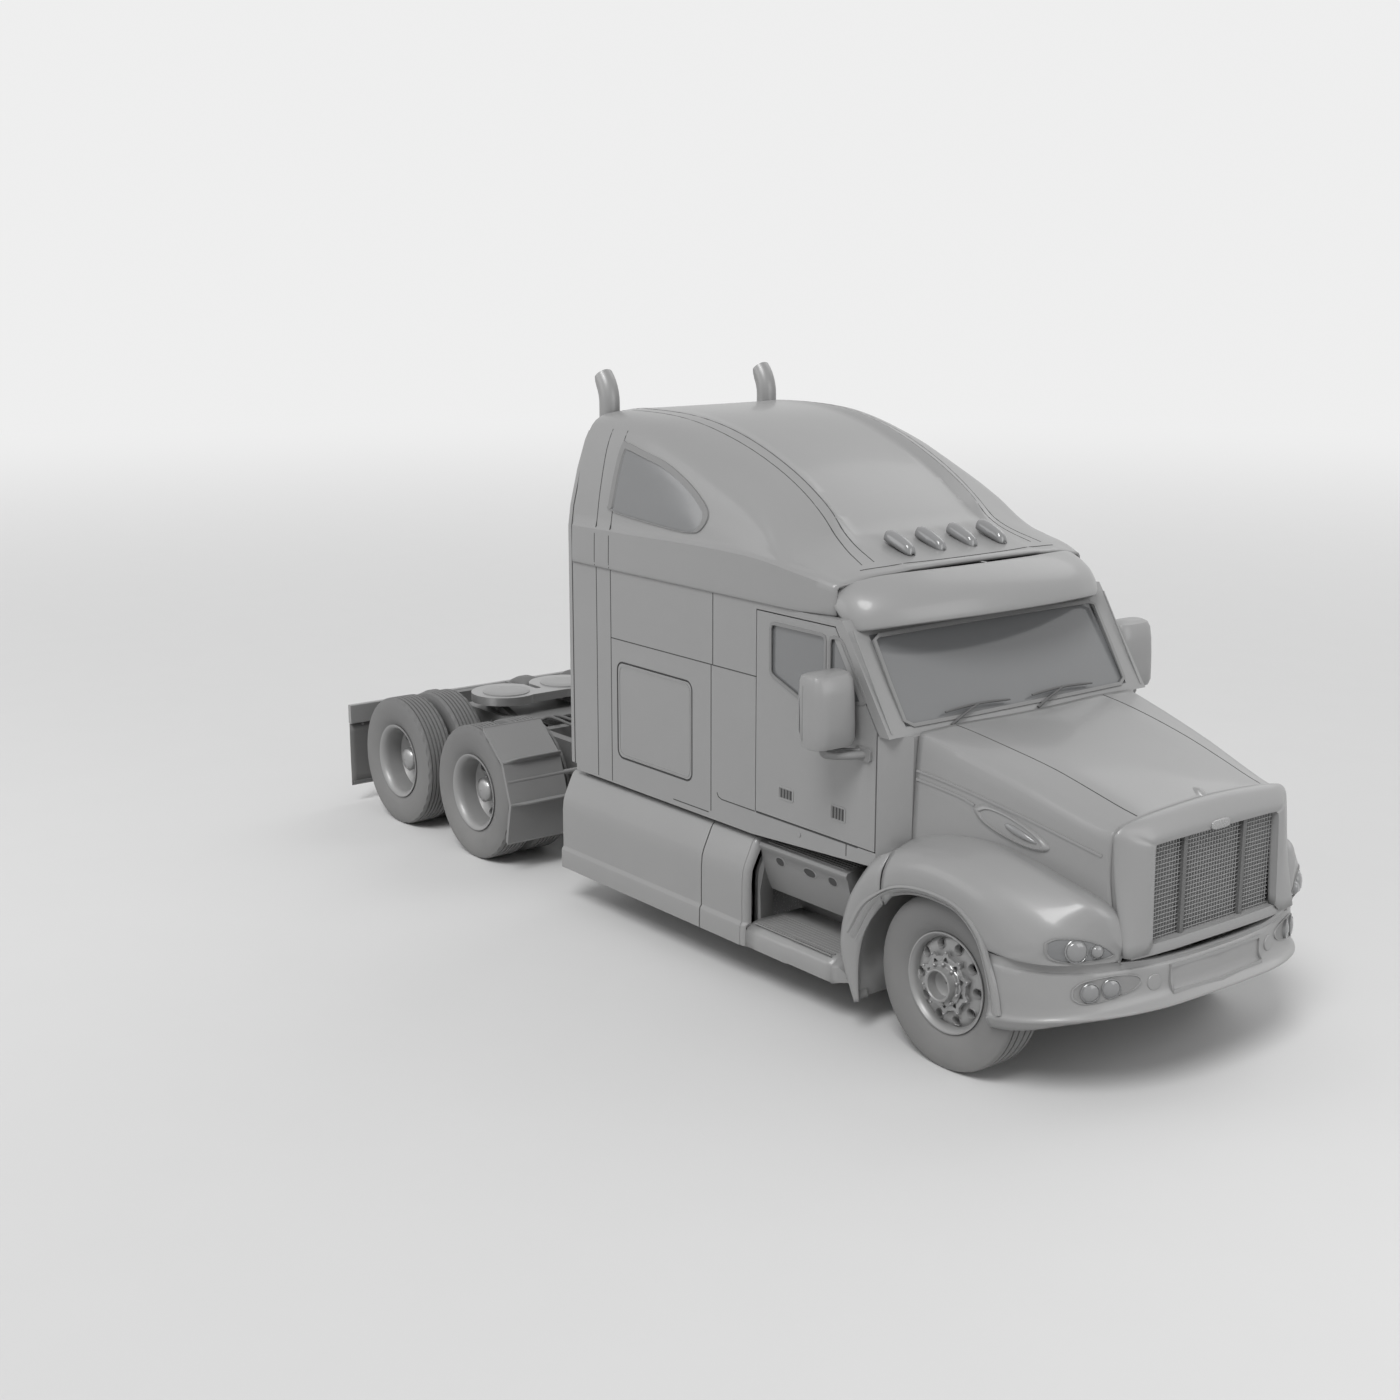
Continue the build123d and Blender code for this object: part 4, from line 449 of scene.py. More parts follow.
def roof_row(station):
    """A station's section from the right edge to the middle; the front ones draw in and bow forwards."""
    x, band_z, side_y, side_z, crease_y, crease_z, shoulder_y, shoulder_z, ridge_z, panel_z, middle_z = station
    front_pull = max(0.0, (x + 1.45) / 0.45) ** 2
    band_y = BAND_Y - FRONT_INSET * front_pull
    half = [
        (x, -band_y, BAND_LOW_Z),
        (x, -band_y, BAND_LOW_Z),
        (x, -band_y - 0.004, 2.60),
        (x, -band_y, band_z - 0.012),
        (x, -band_y, band_z - 0.012),
        (x, -band_y + 0.018, band_z + 0.008),
        (x, -band_y + 0.018, band_z + 0.008),
        (x, -side_y + FRONT_INSET * front_pull * 0.5, side_z),
        (x, -crease_y + FRONT_INSET * front_pull * 0.5, crease_z),
        (x, -shoulder_y, shoulder_z),
        (x, -RIDGE_Y, ridge_z),
        (x, -RIDGE_Y, ridge_z),
        (x, -PANEL_Y, panel_z),
        (x, -PANEL_Y, panel_z),
        (x, -PANEL_Y / 2, (panel_z + 3 * middle_z) / 4),
        (x, 0.0, middle_z),
    ]
    bow = [max(0.0, (x + 1.25) / 0.2) * 0.14 * (1 - (y / 1.1) ** 2) for _, y, _ in half]
    return ax([(x + b, y, z - 0.25 * b) for (x, y, z), b in zip(half, bow)])


roof_rows = smooth_rows([mirror_row(roof_row(s)) for s in ROOF_STATIONS], 4, 4)
roof = Shape().grid(roof_rows)
rear_end = [(x, y * 0.985, z - 0.012) for x, y, z in roof_rows[0]]
roof.grid([roof_rows[0], rear_end]).cap(rear_end)
roof_piece = roof.make("roof_shell", "chassis", "paint", thick=0.02)
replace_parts(roof_piece, "roof_cap")


ROOF_WINDOW = (
    (-3.345, 2.985), (-3.325, 2.955), (-2.95, 2.925), (-2.50, 2.905), (-2.385, 2.935), (-2.345, 3.02),
    (-2.42, 3.10), (-2.60, 3.20), (-2.84, 3.29), (-3.10, 3.345), (-3.255, 3.375), (-3.31, 3.345),
)


def tree_of(shape_rows):
    """A shell that lines can be cast at."""
    shape = Shape().grid(shape_rows)
    return BVHTree.FromPolygons([Vector(p) for p in shape.points], shape.faces)


BESIDE_Y, OVER_HOOD_Z, OVER_ROOF_Z = -1.6, 2.6, 4.2  # where lines are cast from


def cast(tree, start, way, proud=0.0):
    """The first point of a shell met from start, moved out of it by proud."""
    hit, normal, _, _ = tree.ray_cast(Vector(start), Vector(way).normalized())
    if hit is None:
        return None
    if normal.dot(Vector(way)) > 0:
        normal = -normal
    return hit + normal * proud


def from_side(tree, x, z, proud=0.0):
    """Where a shell is met from the right, x measured from the front axle."""
    return cast(tree, (x + AXLE_X, BESIDE_Y, z), (0, 1, 0), proud)


def side_path(tree, points):
    """Where points (x, z), seen from the right, lie on a shell; points beside it are left out."""
    met = [from_side(tree, x, z) for x, z in points]
    return [spot for spot in met if spot is not None]


def top_path(tree, points, start_z):
    """Where points (x, y), seen from above, lie on a shell."""
    met = [cast(tree, (x + AXLE_X, y, start_z), (0, 0, -1)) for x, y in points]
    return [spot for spot in met if spot is not None]


roof_tree = tree_of(roof_rows)
window_loop = closed_outline(ROOF_WINDOW)
middle = window_loop.mean(0)
rings = []
WINDOW_RINGS = (
    # size, distance proud of the roof: the rim's outer edge and top, the pane from its edge inwards
    (1.10, -0.004), (1.09, 0.010), (1.0, 0.012), (0.98, 0.002), (0.85, 0.003), (0.7, 0.003), (0.55, 0.003),
    (0.4, 0.003), (0.25, 0.003), (0.1, 0.003),
)
for scale, proud in WINDOW_RINGS:
    raised = np.array((0.0, 0.022 if scale > 1.03 else 0.0))
    ring = [tuple(middle + (p - middle) * scale + raised) for p in window_loop]
    rings.append([from_side(roof_tree, x, z, proud) for x, z in ring])
rim = Shape().grid(rings[:4], close_across=True).mirrored()
rim.make("roof_window_rims", "chassis", "moulding")
panes = Shape().grid(rings[3:], close_across=True)
panes.cap(rings[-1]).mirrored()
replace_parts(panes.make("roof_window_panes", "chassis", "glass"), "roof_windows")

# Marker lamps: four bullets on the ledge in front of the dome
MARKER_YS = (-0.41, -0.14, 0.14, 0.41)
MARKER_REAR, MARKER_FRONT = (-1.345, 2.948), (-1.105, 2.866)
MARKER_SUNK = 0.012
MARKER_STATIONS = (
    # share of the length, half width, height
    (0.0, 0.022, 0.0), (0.05, 0.040, 0.045), (0.3, 0.047, 0.062), (0.7, 0.045, 0.060), (0.92, 0.036, 0.044),
    (1.0, 0.016, 0.0),
)
markers = Shape()
for y in MARKER_YS:
    rows = []
    for t, half, top in MARKER_STATIONS:
        x = MARKER_REAR[0] + t * (MARKER_FRONT[0] - MARKER_REAR[0])
        base = MARKER_REAR[1] + (MARKER_FRONT[1] - MARKER_REAR[1]) * t - MARKER_SUNK
        arc = np.linspace(0, math.pi, 13)
        rows.append(ax([(x, y + half * math.cos(a), base + (top + MARKER_SUNK) * math.sin(a) ** 0.8) for a in arc]))
    markers.grid(smooth_rows(rows, 3, 1))
markers.make("marker_lamps", "chassis", "lens", thick=0.004)

# Hood and fenders: half sections from the low outer edge inwards, rear to front
FENDER_ROWS = (
    (
        (-0.455, 1.20, 0.905), (-0.455, 1.232, 0.985), (-0.455, 1.222, 1.12), (-0.455, 1.15, 1.232),
        (-0.455, 1.05, 1.262), (-0.455, 0.95, 1.285), (-0.455, 0.88, 1.275), (-0.455, 0.78, 1.25),
    ),
    (
        (-0.33, 1.21, 1.022), (-0.32, 1.236, 1.055), (-0.31, 1.230, 1.185), (-0.30, 1.15, 1.285),
        (-0.30, 1.05, 1.318), (-0.30, 0.95, 1.335), (-0.30, 0.87, 1.325), (-0.30, 0.76, 1.29),
    ),
    (
        (-0.18, 1.21, 1.064), (-0.16, 1.238, 1.088), (-0.13, 1.232, 1.215), (-0.10, 1.15, 1.315),
        (-0.10, 1.05, 1.352), (-0.095, 0.95, 1.375), (-0.095, 0.86, 1.365), (-0.095, 0.75, 1.32),
    ),
    (
        (-0.02, 1.21, 1.072), (0.01, 1.238, 1.092), (0.06, 1.232, 1.212), (0.12, 1.15, 1.307), (0.14, 1.05, 1.352),
        (0.169, 0.95, 1.386), (0.17, 0.86, 1.375), (0.17, 0.74, 1.33),
    ),
    (
        (0.13, 1.21, 1.052), (0.17, 1.238, 1.066), (0.26, 1.230, 1.175), (0.35, 1.145, 1.262), (0.39, 1.05, 1.308),
        (0.427, 0.95, 1.346), (0.43, 0.86, 1.335), (0.43, 0.73, 1.29),
    ),
    (
        (0.242, 1.21, 0.990), (0.29, 1.236, 1.000), (0.40, 1.226, 1.115), (0.52, 1.135, 1.203), (0.57, 1.04, 1.258),
        (0.62, 0.945, 1.296), (0.62, 0.86, 1.285), (0.62, 0.72, 1.24),
    ),
    (
        (0.310, 1.205, 0.905), (0.385, 1.230, 0.900), (0.52, 1.218, 1.030), (0.665, 1.125, 1.128),
        (0.72, 1.03, 1.195), (0.77, 0.93, 1.250), (0.78, 0.85, 1.245), (0.78, 0.72, 1.20),
    ),
    (
        (0.42, 1.205, 0.869), (0.50, 1.222, 0.890), (0.65, 1.190, 0.975), (0.765, 1.100, 1.075), (0.81, 1.01, 1.150),
        (0.865, 0.915, 1.212), (0.885, 0.84, 1.205), (0.89, 0.72, 1.16),
    ),
    (
        (0.60, 1.203, 0.869), (0.64, 1.200, 0.895), (0.745, 1.140, 0.970), (0.820, 1.060, 1.045),
        (0.865, 0.97, 1.105), (0.915, 0.885, 1.158), (0.935, 0.83, 1.155), (0.94, 0.72, 1.12),
    ),
    (
        (0.735, 1.140, 0.869), (0.750, 1.130, 0.895), (0.810, 1.075, 0.965), (0.860, 1.005, 1.018),
        (0.895, 0.93, 1.063), (0.935, 0.865, 1.105), (0.955, 0.82, 1.105), (0.96, 0.72, 1.08),
    ),
    (
        (0.830, 1.045, 0.869), (0.838, 1.035, 0.893), (0.868, 0.985, 0.955), (0.898, 0.930, 0.992),
        (0.922, 0.88, 1.020), (0.950, 0.84, 1.045), (0.968, 0.80, 1.045), (0.975, 0.72, 1.03),
    ),
    (
        (0.905, 0.905, 0.869), (0.910, 0.900, 0.885), (0.925, 0.870, 0.930), (0.940, 0.845, 0.952),
        (0.952, 0.82, 0.968), (0.968, 0.80, 0.982), (0.980, 0.78, 0.985), (0.985, 0.72, 0.98),
    ),
    (
        (0.965, 0.745, 0.869), (0.967, 0.742, 0.876), (0.972, 0.738, 0.890), (0.976, 0.734, 0.900),
        (0.979, 0.730, 0.906), (0.983, 0.728, 0.912), (0.986, 0.724, 0.915), (0.990, 0.715, 0.915),
    ),
)
# Upper body: x, side y at the fender, its z, upper side y z, edge y z, outer crown y z, middle z
BODY_ROWS = (
    (-0.455, 0.990, 1.20, 0.975, 1.60, 0.955, 1.890, 0.925, 1.930, 0.60, 1.936, 1.925),
    (-0.25, 0.965, 1.24, 0.950, 1.58, 0.925, 1.845, 0.893, 1.888, 0.58, 1.915, 1.918),
    (0.03, 0.925, 1.28, 0.912, 1.54, 0.888, 1.775, 0.853, 1.822, 0.56, 1.872, 1.885),
    (0.30, 0.880, 1.28, 0.868, 1.50, 0.852, 1.700, 0.818, 1.748, 0.55, 1.818, 1.842),
    (0.55, 0.832, 1.22, 0.826, 1.44, 0.815, 1.620, 0.785, 1.668, 0.54, 1.750, 1.785),
    (0.74, 0.790, 1.14, 0.788, 1.37, 0.783, 1.560, 0.757, 1.612, 0.53, 1.690, 1.730),
    (0.875, 0.757, 1.02, 0.756, 1.30, 0.754, 1.520, 0.733, 1.588, 0.53, 1.650, 1.678),
)
HOOD_WALL = 0.018


def body_row(row):
    """A station's section from the right fender to the middle; the front ones lean forwards at the edges."""
    x, low_y, low_z, side_y, side_z, under_y, under_z, edge_y, edge_z, crown_y, crown_z, middle_z = row
    lead = max(0.0, (x - 0.55) / 0.33)
    half = [
        (x + 0.10 * lead, -low_y, low_z - 0.17),
        (x + 0.05 * lead, -low_y, low_z),
        (x, -side_y, side_z),
        (x, -under_y, under_z),
        (x, -edge_y, edge_z),
        (x, -edge_y, edge_z),
        (x + 0.02 * lead, -crown_y, crown_z),
        (x + 0.025 * lead, -crown_y / 2, (crown_z + 2 * middle_z) / 3),
        (x + 0.03 * lead, 0.0, middle_z),
    ]
    return ax(half)


hood_rows = smooth_rows([mirror_row(body_row(r)) for r in BODY_ROWS], 5, 3)
fender_rows = smooth_rows([ax(flip(row)) for row in creased(FENDER_ROWS, (3, 5))], 4, 3)
hood_shell = Shape().grid(hood_rows)
fenders = Shape().grid(fender_rows).mirrored()
hood_shell.join(fenders)
hood_piece = hood_shell.make("hood_shell", "hood", "paint", thick=HOOD_WALL)
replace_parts(hood_piece, "hood")

# Grille surround: rows from the hood's front seam over the rounded shell into the opening; a row given
# twice is a sharp edge
HOOD_SEAM = (
    (0.985, 0.750, 0.900), (0.905, 0.752, 1.25), (0.878, 0.752, 1.50), (0.880, 0.735, 1.592), (0.897, 0.60, 1.642),
    (0.905, 0.30, 1.668), (0.905, 0.0, 1.678),
)
OPENING_EDGE = (
    (1.032, 0.558, 0.935), (1.022, 0.556, 1.25), (1.014, 0.554, 1.475), (1.008, 0.540, 1.508), (1.008, 0.51, 1.516),
    (1.012, 0.30, 1.520), (1.014, 0.0, 1.522),
)
SURROUND = (
    HOOD_SEAM,
    HOOD_SEAM,
    (
        (1.000, 0.758, 0.900), (0.925, 0.760, 1.25), (0.900, 0.760, 1.50), (0.900, 0.744, 1.603),
        (0.918, 0.60, 1.655), (0.926, 0.30, 1.681), (0.926, 0.0, 1.690),
    ),
    (
        (1.025, 0.735, 0.900), (0.960, 0.735, 1.25), (0.935, 0.735, 1.50), (0.932, 0.715, 1.590),
        (0.948, 0.59, 1.640), (0.956, 0.30, 1.664), (0.956, 0.0, 1.672),
    ),
    (
        (1.034, 0.665, 0.900), (1.005, 0.665, 1.25), (0.985, 0.665, 1.50), (0.975, 0.650, 1.560),
        (0.988, 0.575, 1.592), (0.996, 0.30, 1.612), (0.996, 0.0, 1.618),
    ),
    (
        (1.036, 0.600, 0.900), (1.026, 0.600, 1.25), (1.015, 0.600, 1.49), (1.008, 0.588, 1.530),
        (1.012, 0.545, 1.548), (1.018, 0.30, 1.560), (1.020, 0.0, 1.564),
    ),
    OPENING_EDGE,
    OPENING_EDGE,
    (
        (0.985, 0.545, 0.945), (0.966, 0.543, 1.25), (0.954, 0.541, 1.465), (0.948, 0.528, 1.496),
        (0.948, 0.50, 1.503), (0.952, 0.30, 1.507), (0.954, 0.0, 1.509),
    ),
)
tucked = tuple((x - 0.045, y - 0.012, z - 0.010 if z > 1.4 else z) for x, y, z in HOOD_SEAM)
surround_rows = smooth_rows([mirror_row(ax(flip(row))) for row in (tucked,) + SURROUND], 3, 5)
surround = Shape().grid(surround_rows)
sill = []
for y in np.linspace(-0.70, 0.70, 15):
    face = 1.033 - 0.03 * (y / 0.7) ** 4
    sill.append(ax([
        (face - 0.09, y, 0.872), (face, y, 0.876), (face + 0.004, y, 0.905), (face - 0.006, y, 0.938),
        (face - 0.07, y, 0.942),
    ]))
surround.loft(sill)
surround.make("grille_surround", "hood", "paint", thick=0.006)
plate = Shape()
plaque_rings = []
outline = [(0.085 * squared(math.cos(a), 0.5), 0.028 * squared(math.sin(a), 0.6)) for a in around(32)]
PLAQUE_X, PLAQUE_Z = 1.012, 1.545
for dx, k in ((-0.03, 1.0), (0.012, 1.0), (0.017, 0.94), (0.019, 0.8)):
    plaque_rings.append(ax([(PLAQUE_X + dx, y * k, PLAQUE_Z + z * k) for y, z in outline]))
plate.loft(plaque_rings)
plate.make("blank_plaque", "hood", "bright")
knob_rings = []
for u, s in ((-0.060, 0.1), (-0.045, 0.9), (0.0, 1.4), (0.045, 0.9), (0.060, 0.1)):
    ring = [
        (0.865 + u, 0.03 * s * math.cos(a), 1.668 + 0.035 * s * max(0.0, math.sin(a)) - 0.3 * u)
        for a in around(16)
    ]
    knob_rings.append(ax(ring))
Shape().loft(knob_rings).make("hood_handle", "hood", "wheel")

# Grille: woven wire behind upright bars
wires = Shape()
GRILLE_X = AXLE_X + 0.972
WIRE_R, WIRE_PITCH = 0.0028, 0.025
GRILLE_LOW_Z, GRILLE_HIGH_Z = 0.925, 1.515
for y in np.arange(-0.525, 0.53, WIRE_PITCH):
    wires.tube([(GRILLE_X, y, z) for z in (0.93, 1.51)], WIRE_R, 5)
for z in np.arange(0.955, 1.50, WIRE_PITCH):
    wires.tube([(GRILLE_X + 0.004, y, z) for y in (-0.535, 0.535)], WIRE_R, 5)
wires.make("grille_wire", "hood", "bright")
backing = Shape().box((GRILLE_X - 0.03, -0.545, GRILLE_LOW_Z), (GRILLE_X - 0.012, 0.545, GRILLE_HIGH_Z))
BAR_SECTION = ((-0.02, -0.02), (0.022, -0.016), (0.028, 0.0), (0.022, 0.016), (-0.02, 0.02))
for y in (-0.265, 0.265):
    backing.loft([[(GRILLE_X + d, y + w, z) for d, w in BAR_SECTION] for z in (GRILLE_LOW_Z, GRILLE_HIGH_Z)])
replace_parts(backing.make("grille_screen", "hood", "mesh"), "grille")


# Lamps and other rounded pieces laid on a shell, seen from the front
FRONT_X = AXLE_X + 1.5


def from_front(tree, y, z, proud=0.0):
    """Where a shell is met from the front."""
    return cast(tree, (FRONT_X, y, z), (-1, 0, 0), proud)


def patch_on(tree, outline, scales):
    """Rings of a rounded outline in (y, z), laid on a shell."""
    loop = closed_outline(outline)
    centre = loop.mean(0)
    rings = []
    for scale, proud in scales:
        spots = [centre + (p - centre) * scale for p in loop]
        rings.append([from_front(tree, y, z, proud) for y, z in spots])
    return rings


def disc_on(tree, y, z, radius, profile, facing):
    """A turned piece on a shell; profile is (share of the radius, distance proud)."""
    spot = from_front(tree, y, z)
    way = Vector(facing).normalized()
    side_way = way.cross(Vector((0, 0, 1))).normalized()
    up = side_way.cross(way)
    rows = []
    for size, reach in profile:
        rows.append(
            [spot + way * reach + radius * size * (math.cos(a) * side_way + math.sin(a) * up) for a in around(32)]
        )
    return Shape().loft(rows)


fender_tree = tree_of(fender_rows)
# Outline (y, z); rings are (share of the outline, distance proud)
LAMP_OUTLINE = (
    (-1.125, 1.000), (-1.075, 1.030), (-0.97, 1.020), (-0.88, 0.985), (-0.815, 0.940), (-0.80, 0.915), (-0.87, 0.900),
    (-1.00, 0.893), (-1.09, 0.905), (-1.125, 0.945),
)
lamp_rings = patch_on(fender_tree, LAMP_OUTLINE, ((1.06, 0.0), (1.05, 0.008), (1.0, 0.009), (0.97, 0.002)))
lens_rings = patch_on(fender_tree, LAMP_OUTLINE, ((0.98, 0.002), (0.9, 0.004), (0.55, 0.006), (0.2, 0.006)))
Shape().grid(lamp_rings, close_across=True).mirrored().make("headlamp_rims", "hood", "moulding")
lens = Shape().grid(lens_rings, close_across=True)
lens.cap(lens_rings[-1]).mirrored()
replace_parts(lens.make("headlamp_lenses", "hood", "glass"), "headlamps")
BULB_PROFILE = (
    (1.16, -0.02), (1.16, 0.012), (1.08, 0.016), (1.0, 0.012), (0.96, 0.018), (0.75, 0.026), (0.4, 0.031),
    (0.1, 0.032),
)
bulbs = Shape()
for y, z, radius in ((-0.998, 0.958, 0.060), (-0.893, 0.950, 0.036)):
    bulbs.join(disc_on(fender_tree, y, z, radius, BULB_PROFILE, (0.86, -0.42, 0.12)))
bulbs.mirrored().make("headlamp_bulbs", "hood", "lens")

# Arch moulding: three ribs along the lip, the hood's run and the bumper's run apart
ARCH_LIP = (
    (-0.665, 0.603), (-0.563, 0.793), (-0.458, 0.932), (-0.345, 0.996), (-0.199, 1.038), (-0.033, 1.048),
    (0.150, 1.022), (0.295, 0.914), (0.368, 0.775), (0.410, 0.632), (0.424, 0.505),
)
ARCH_OUT = (
    (-0.760, 0.680), (-0.635, 0.880), (-0.478, 0.995), (-0.350, 1.064), (-0.199, 1.103), (0.0, 1.114), (0.200, 1.082),
    (0.360, 0.966), (0.437, 0.819), (0.500, 0.673), (0.532, 0.530),
)
ARCH_Y = 1.205
# Share of the way from the lip to the outer edge, rise
ARCH_RIBS = (
    (0.0, -0.008), (0.0, 0.004), (0.22, 0.010), (0.30, 0.002), (0.38, 0.010), (0.60, 0.010), (0.68, 0.002),
    (0.76, 0.010), (0.97, 0.006), (1.03, -0.012),
)


def arch_band(name, body, first, last):
    """The moulding between two of the arch's points."""
    lip = spline(ARCH_LIP, 5)[first * 5 : last * 5 + 1]
    out = spline(ARCH_OUT, 5)[first * 5 : last * 5 + 1]
    rows = []
    for (x0, z0), (x1, z1) in zip(lip, out):
        row = []
        for s, rise in ARCH_RIBS:
            row.append((x0 + (x1 - x0) * s, -(ARCH_Y + 0.030 * min(1.0, s * 1.3) + rise), z0 + (z1 - z0) * s))
        rows.append(ax(row))
    Shape().loft(rows).mirrored().make(name, body, "paint")


arch_band("arch_moulding_hood", "hood", 2, 7)
arch_band("arch_moulding_bumper", "chassis", 7, 10)
arch_band("arch_moulding_rear", "chassis", 0, 2)

# Bumper: half sections from the top edge over the face to the lip and the chin
BUMPER_PLAN = (
    # y, top x z, face x, lip x z, chin x z
    (0.0, 1.040, 0.840, 1.052, 1.140, 0.600, 0.95, 0.530),
    (0.25, 1.035, 0.841, 1.046, 1.130, 0.596, 0.94, 0.528),
    (0.47, 1.010, 0.846, 1.020, 1.108, 0.588, 0.92, 0.524),
    (0.68, 0.960, 0.856, 0.970, 1.055, 0.578, 0.88, 0.515),
    (0.86, 0.890, 0.866, 0.902, 0.975, 0.565, 0.82, 0.495),
    (1.00, 0.805, 0.867, 0.822, 0.875, 0.550, 0.74, 0.470),
    (1.10, 0.705, 0.867, 0.728, 0.765, 0.535, 0.66, 0.445),
    (1.165, 0.600, 0.867, 0.625, 0.650, 0.520, 0.57, 0.425),
    (1.200, 0.500, 0.867, 0.525, 0.540, 0.510, 0.48, 0.412),
    (1.212, 0.400, 0.867, 0.430, 0.440, 0.500, 0.40, 0.405),
)
bumper_rows = []
for y, top_x, top_z, face_x, lip_x, lip_z, chin_x, chin_z in BUMPER_PLAN:
    inner_y = y * 0.93
    side_pull = max(0.0, (y - 0.95) / 0.26)
    out_y = y + 0.028 * side_pull
    bumper_rows.append(
        [
            (top_x - 0.07, -inner_y, top_z - 0.012),
            (top_x, -y, top_z),
            (top_x + 0.004, -y, top_z - 0.010),
            (top_x + 0.002, -y - 0.002 * side_pull, 0.812),
            (face_x + 0.004, -y - 0.006 * side_pull, 0.800),
            (face_x + 0.010, -y - 0.010 * side_pull, 0.740),
            (face_x + 0.016, -y - 0.014 * side_pull, 0.670),
            (face_x + (lip_x - face_x) * 0.5, -y - 0.018 * side_pull, lip_z + 0.035),
            (lip_x - 0.006, -out_y, lip_z + 0.010),
            (lip_x, -out_y, lip_z),
            (lip_x - 0.008, -out_y, lip_z - 0.012),
            (chin_x + (lip_x - chin_x) * 0.55, -y, (lip_z + chin_z) / 2 - 0.004),
            (chin_x, -y * 0.965, chin_z),
            (chin_x - 0.05, -y * 0.93, chin_z - 0.004),
        ]
    )
bumper_grid = smooth_rows([ax(row) for row in both_sides(bumper_rows)], 4, 2)
bumper = Shape().grid(bumper_grid)
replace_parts(bumper.make("bumper_shell", "chassis", "paint", thick=0.02), "bumper")
bumper_tree = tree_of(bumper_grid)
# Fog lamp pocket, outline (y, z)
FOG_OUTLINE = (
    (-0.985, 0.725), (-0.93, 0.765), (-0.78, 0.785), (-0.66, 0.775), (-0.610, 0.745), (-0.640, 0.700), (-0.76, 0.665),
    (-0.92, 0.640), (-0.985, 0.670),
)
pocket_rim = patch_on(bumper_tree, FOG_OUTLINE, ((1.05, -0.002), (1.04, 0.008), (1.0, 0.009), (0.96, -0.004)))
pocket_floor = patch_on(bumper_tree, FOG_OUTLINE, ((0.98, 0.003), (0.7, 0.003), (0.35, 0.003), (0.1, 0.003)))
Shape().grid(pocket_rim, close_across=True).mirrored().make("fog_pocket_rims", "chassis", "paint")
pockets = Shape().grid(pocket_floor, close_across=True).mirrored()
pockets.make("fog_pocket_floors", "chassis", "moulding")

LAMP_PROFILE = ((1.08, -0.01), (1.08, 0.014), (1.0, 0.018), (0.94, 0.012), (0.8, 0.018), (0.4, 0.024), (0.05, 0.026))
COVER_PROFILE = ((1.0, -0.01), (1.0, 0.003), (0.93, 0.007), (0.5, 0.008), (0.05, 0.008))
fogs = Shape()
for y, z in ((-0.905, 0.702), (-0.790, 0.716)):
    fogs.join(disc_on(bumper_tree, y, z, 0.054, LAMP_PROFILE, (0.88, -0.46, 0.05)))
covers = disc_on(bumper_tree, -0.515, 0.712, 0.048, COVER_PROFILE, (0.96, -0.22, 0.05))
fogs.mirrored().make("fog_lamps", "chassis", "lens")
covers.mirrored().make("bumper_covers", "chassis", "paint")
PLATE_LOOP = (
    (-0.40, 0.785), (0.0, 0.79), (0.40, 0.785), (0.40, 0.70), (0.40, 0.640), (0.0, 0.636), (-0.40, 0.640),
    (-0.40, 0.70),
)
plate_path = [from_front(bumper_tree, y, z) for y, z in PLATE_LOOP]
Shape().strip(plate_path, 0.022, 0.012, (1, 0, 0.05), closed=True).make("plate_recess_frame", "chassis", "paint")

# Sun visor: sections from the top edge over the bulge to the lip, from the middle out
VISOR_STATIONS = (
    # y, top x z, lip x z, bulge
    (0.0, -0.800, 2.812, -0.590, 2.548, 0.060),
    (0.32, -0.822, 2.808, -0.606, 2.545, 0.060),
    (0.62, -0.885, 2.798, -0.655, 2.538, 0.062),
    (0.84, -0.970, 2.778, -0.735, 2.522, 0.064),
    (0.985, -1.045, 2.742, -0.815, 2.504, 0.060),
    (1.060, -1.110, 2.700, -0.890, 2.490, 0.045),
    (1.085, -1.150, 2.665, -0.950, 2.488, 0.020),
)
visor_rows = []
for y, top_x, top_z, lip_x, lip_z, bulge in VISOR_STATIONS:
    row = [
        (top_x - 0.04, -y * 0.99, top_z - 0.045), (top_x - 0.01, -y, top_z - 0.004),
        (top_x + 0.012, -y, top_z + 0.004),
    ]
    for t, out in ((0.25, 0.75), (0.5, 1.0), (0.75, 0.85)):
        row.append((
            top_x + (lip_x - top_x) * t + bulge * out * 0.75, -y - 0.012 * out,
            top_z + (lip_z - top_z) * t + bulge * out * 0.55,
        ))
    row += [
        (lip_x + 0.012, -y, lip_z + 0.012), (lip_x, -y, lip_z - 0.008), (lip_x - 0.018, -y * 0.995, lip_z - 0.006),
        (lip_x - 0.055, -y * 0.985, lip_z + 0.030), (top_x - 0.02, -y * 0.98, top_z - 0.150),
    ]
    visor_rows.append(row)
visor_grid = smooth_rows([ax(row) for row in both_sides(visor_rows)], 4, 3)
visor = Shape().loft(visor_grid)
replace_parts(visor.make("visor_shell", "chassis", "paint"), "sun_visor")

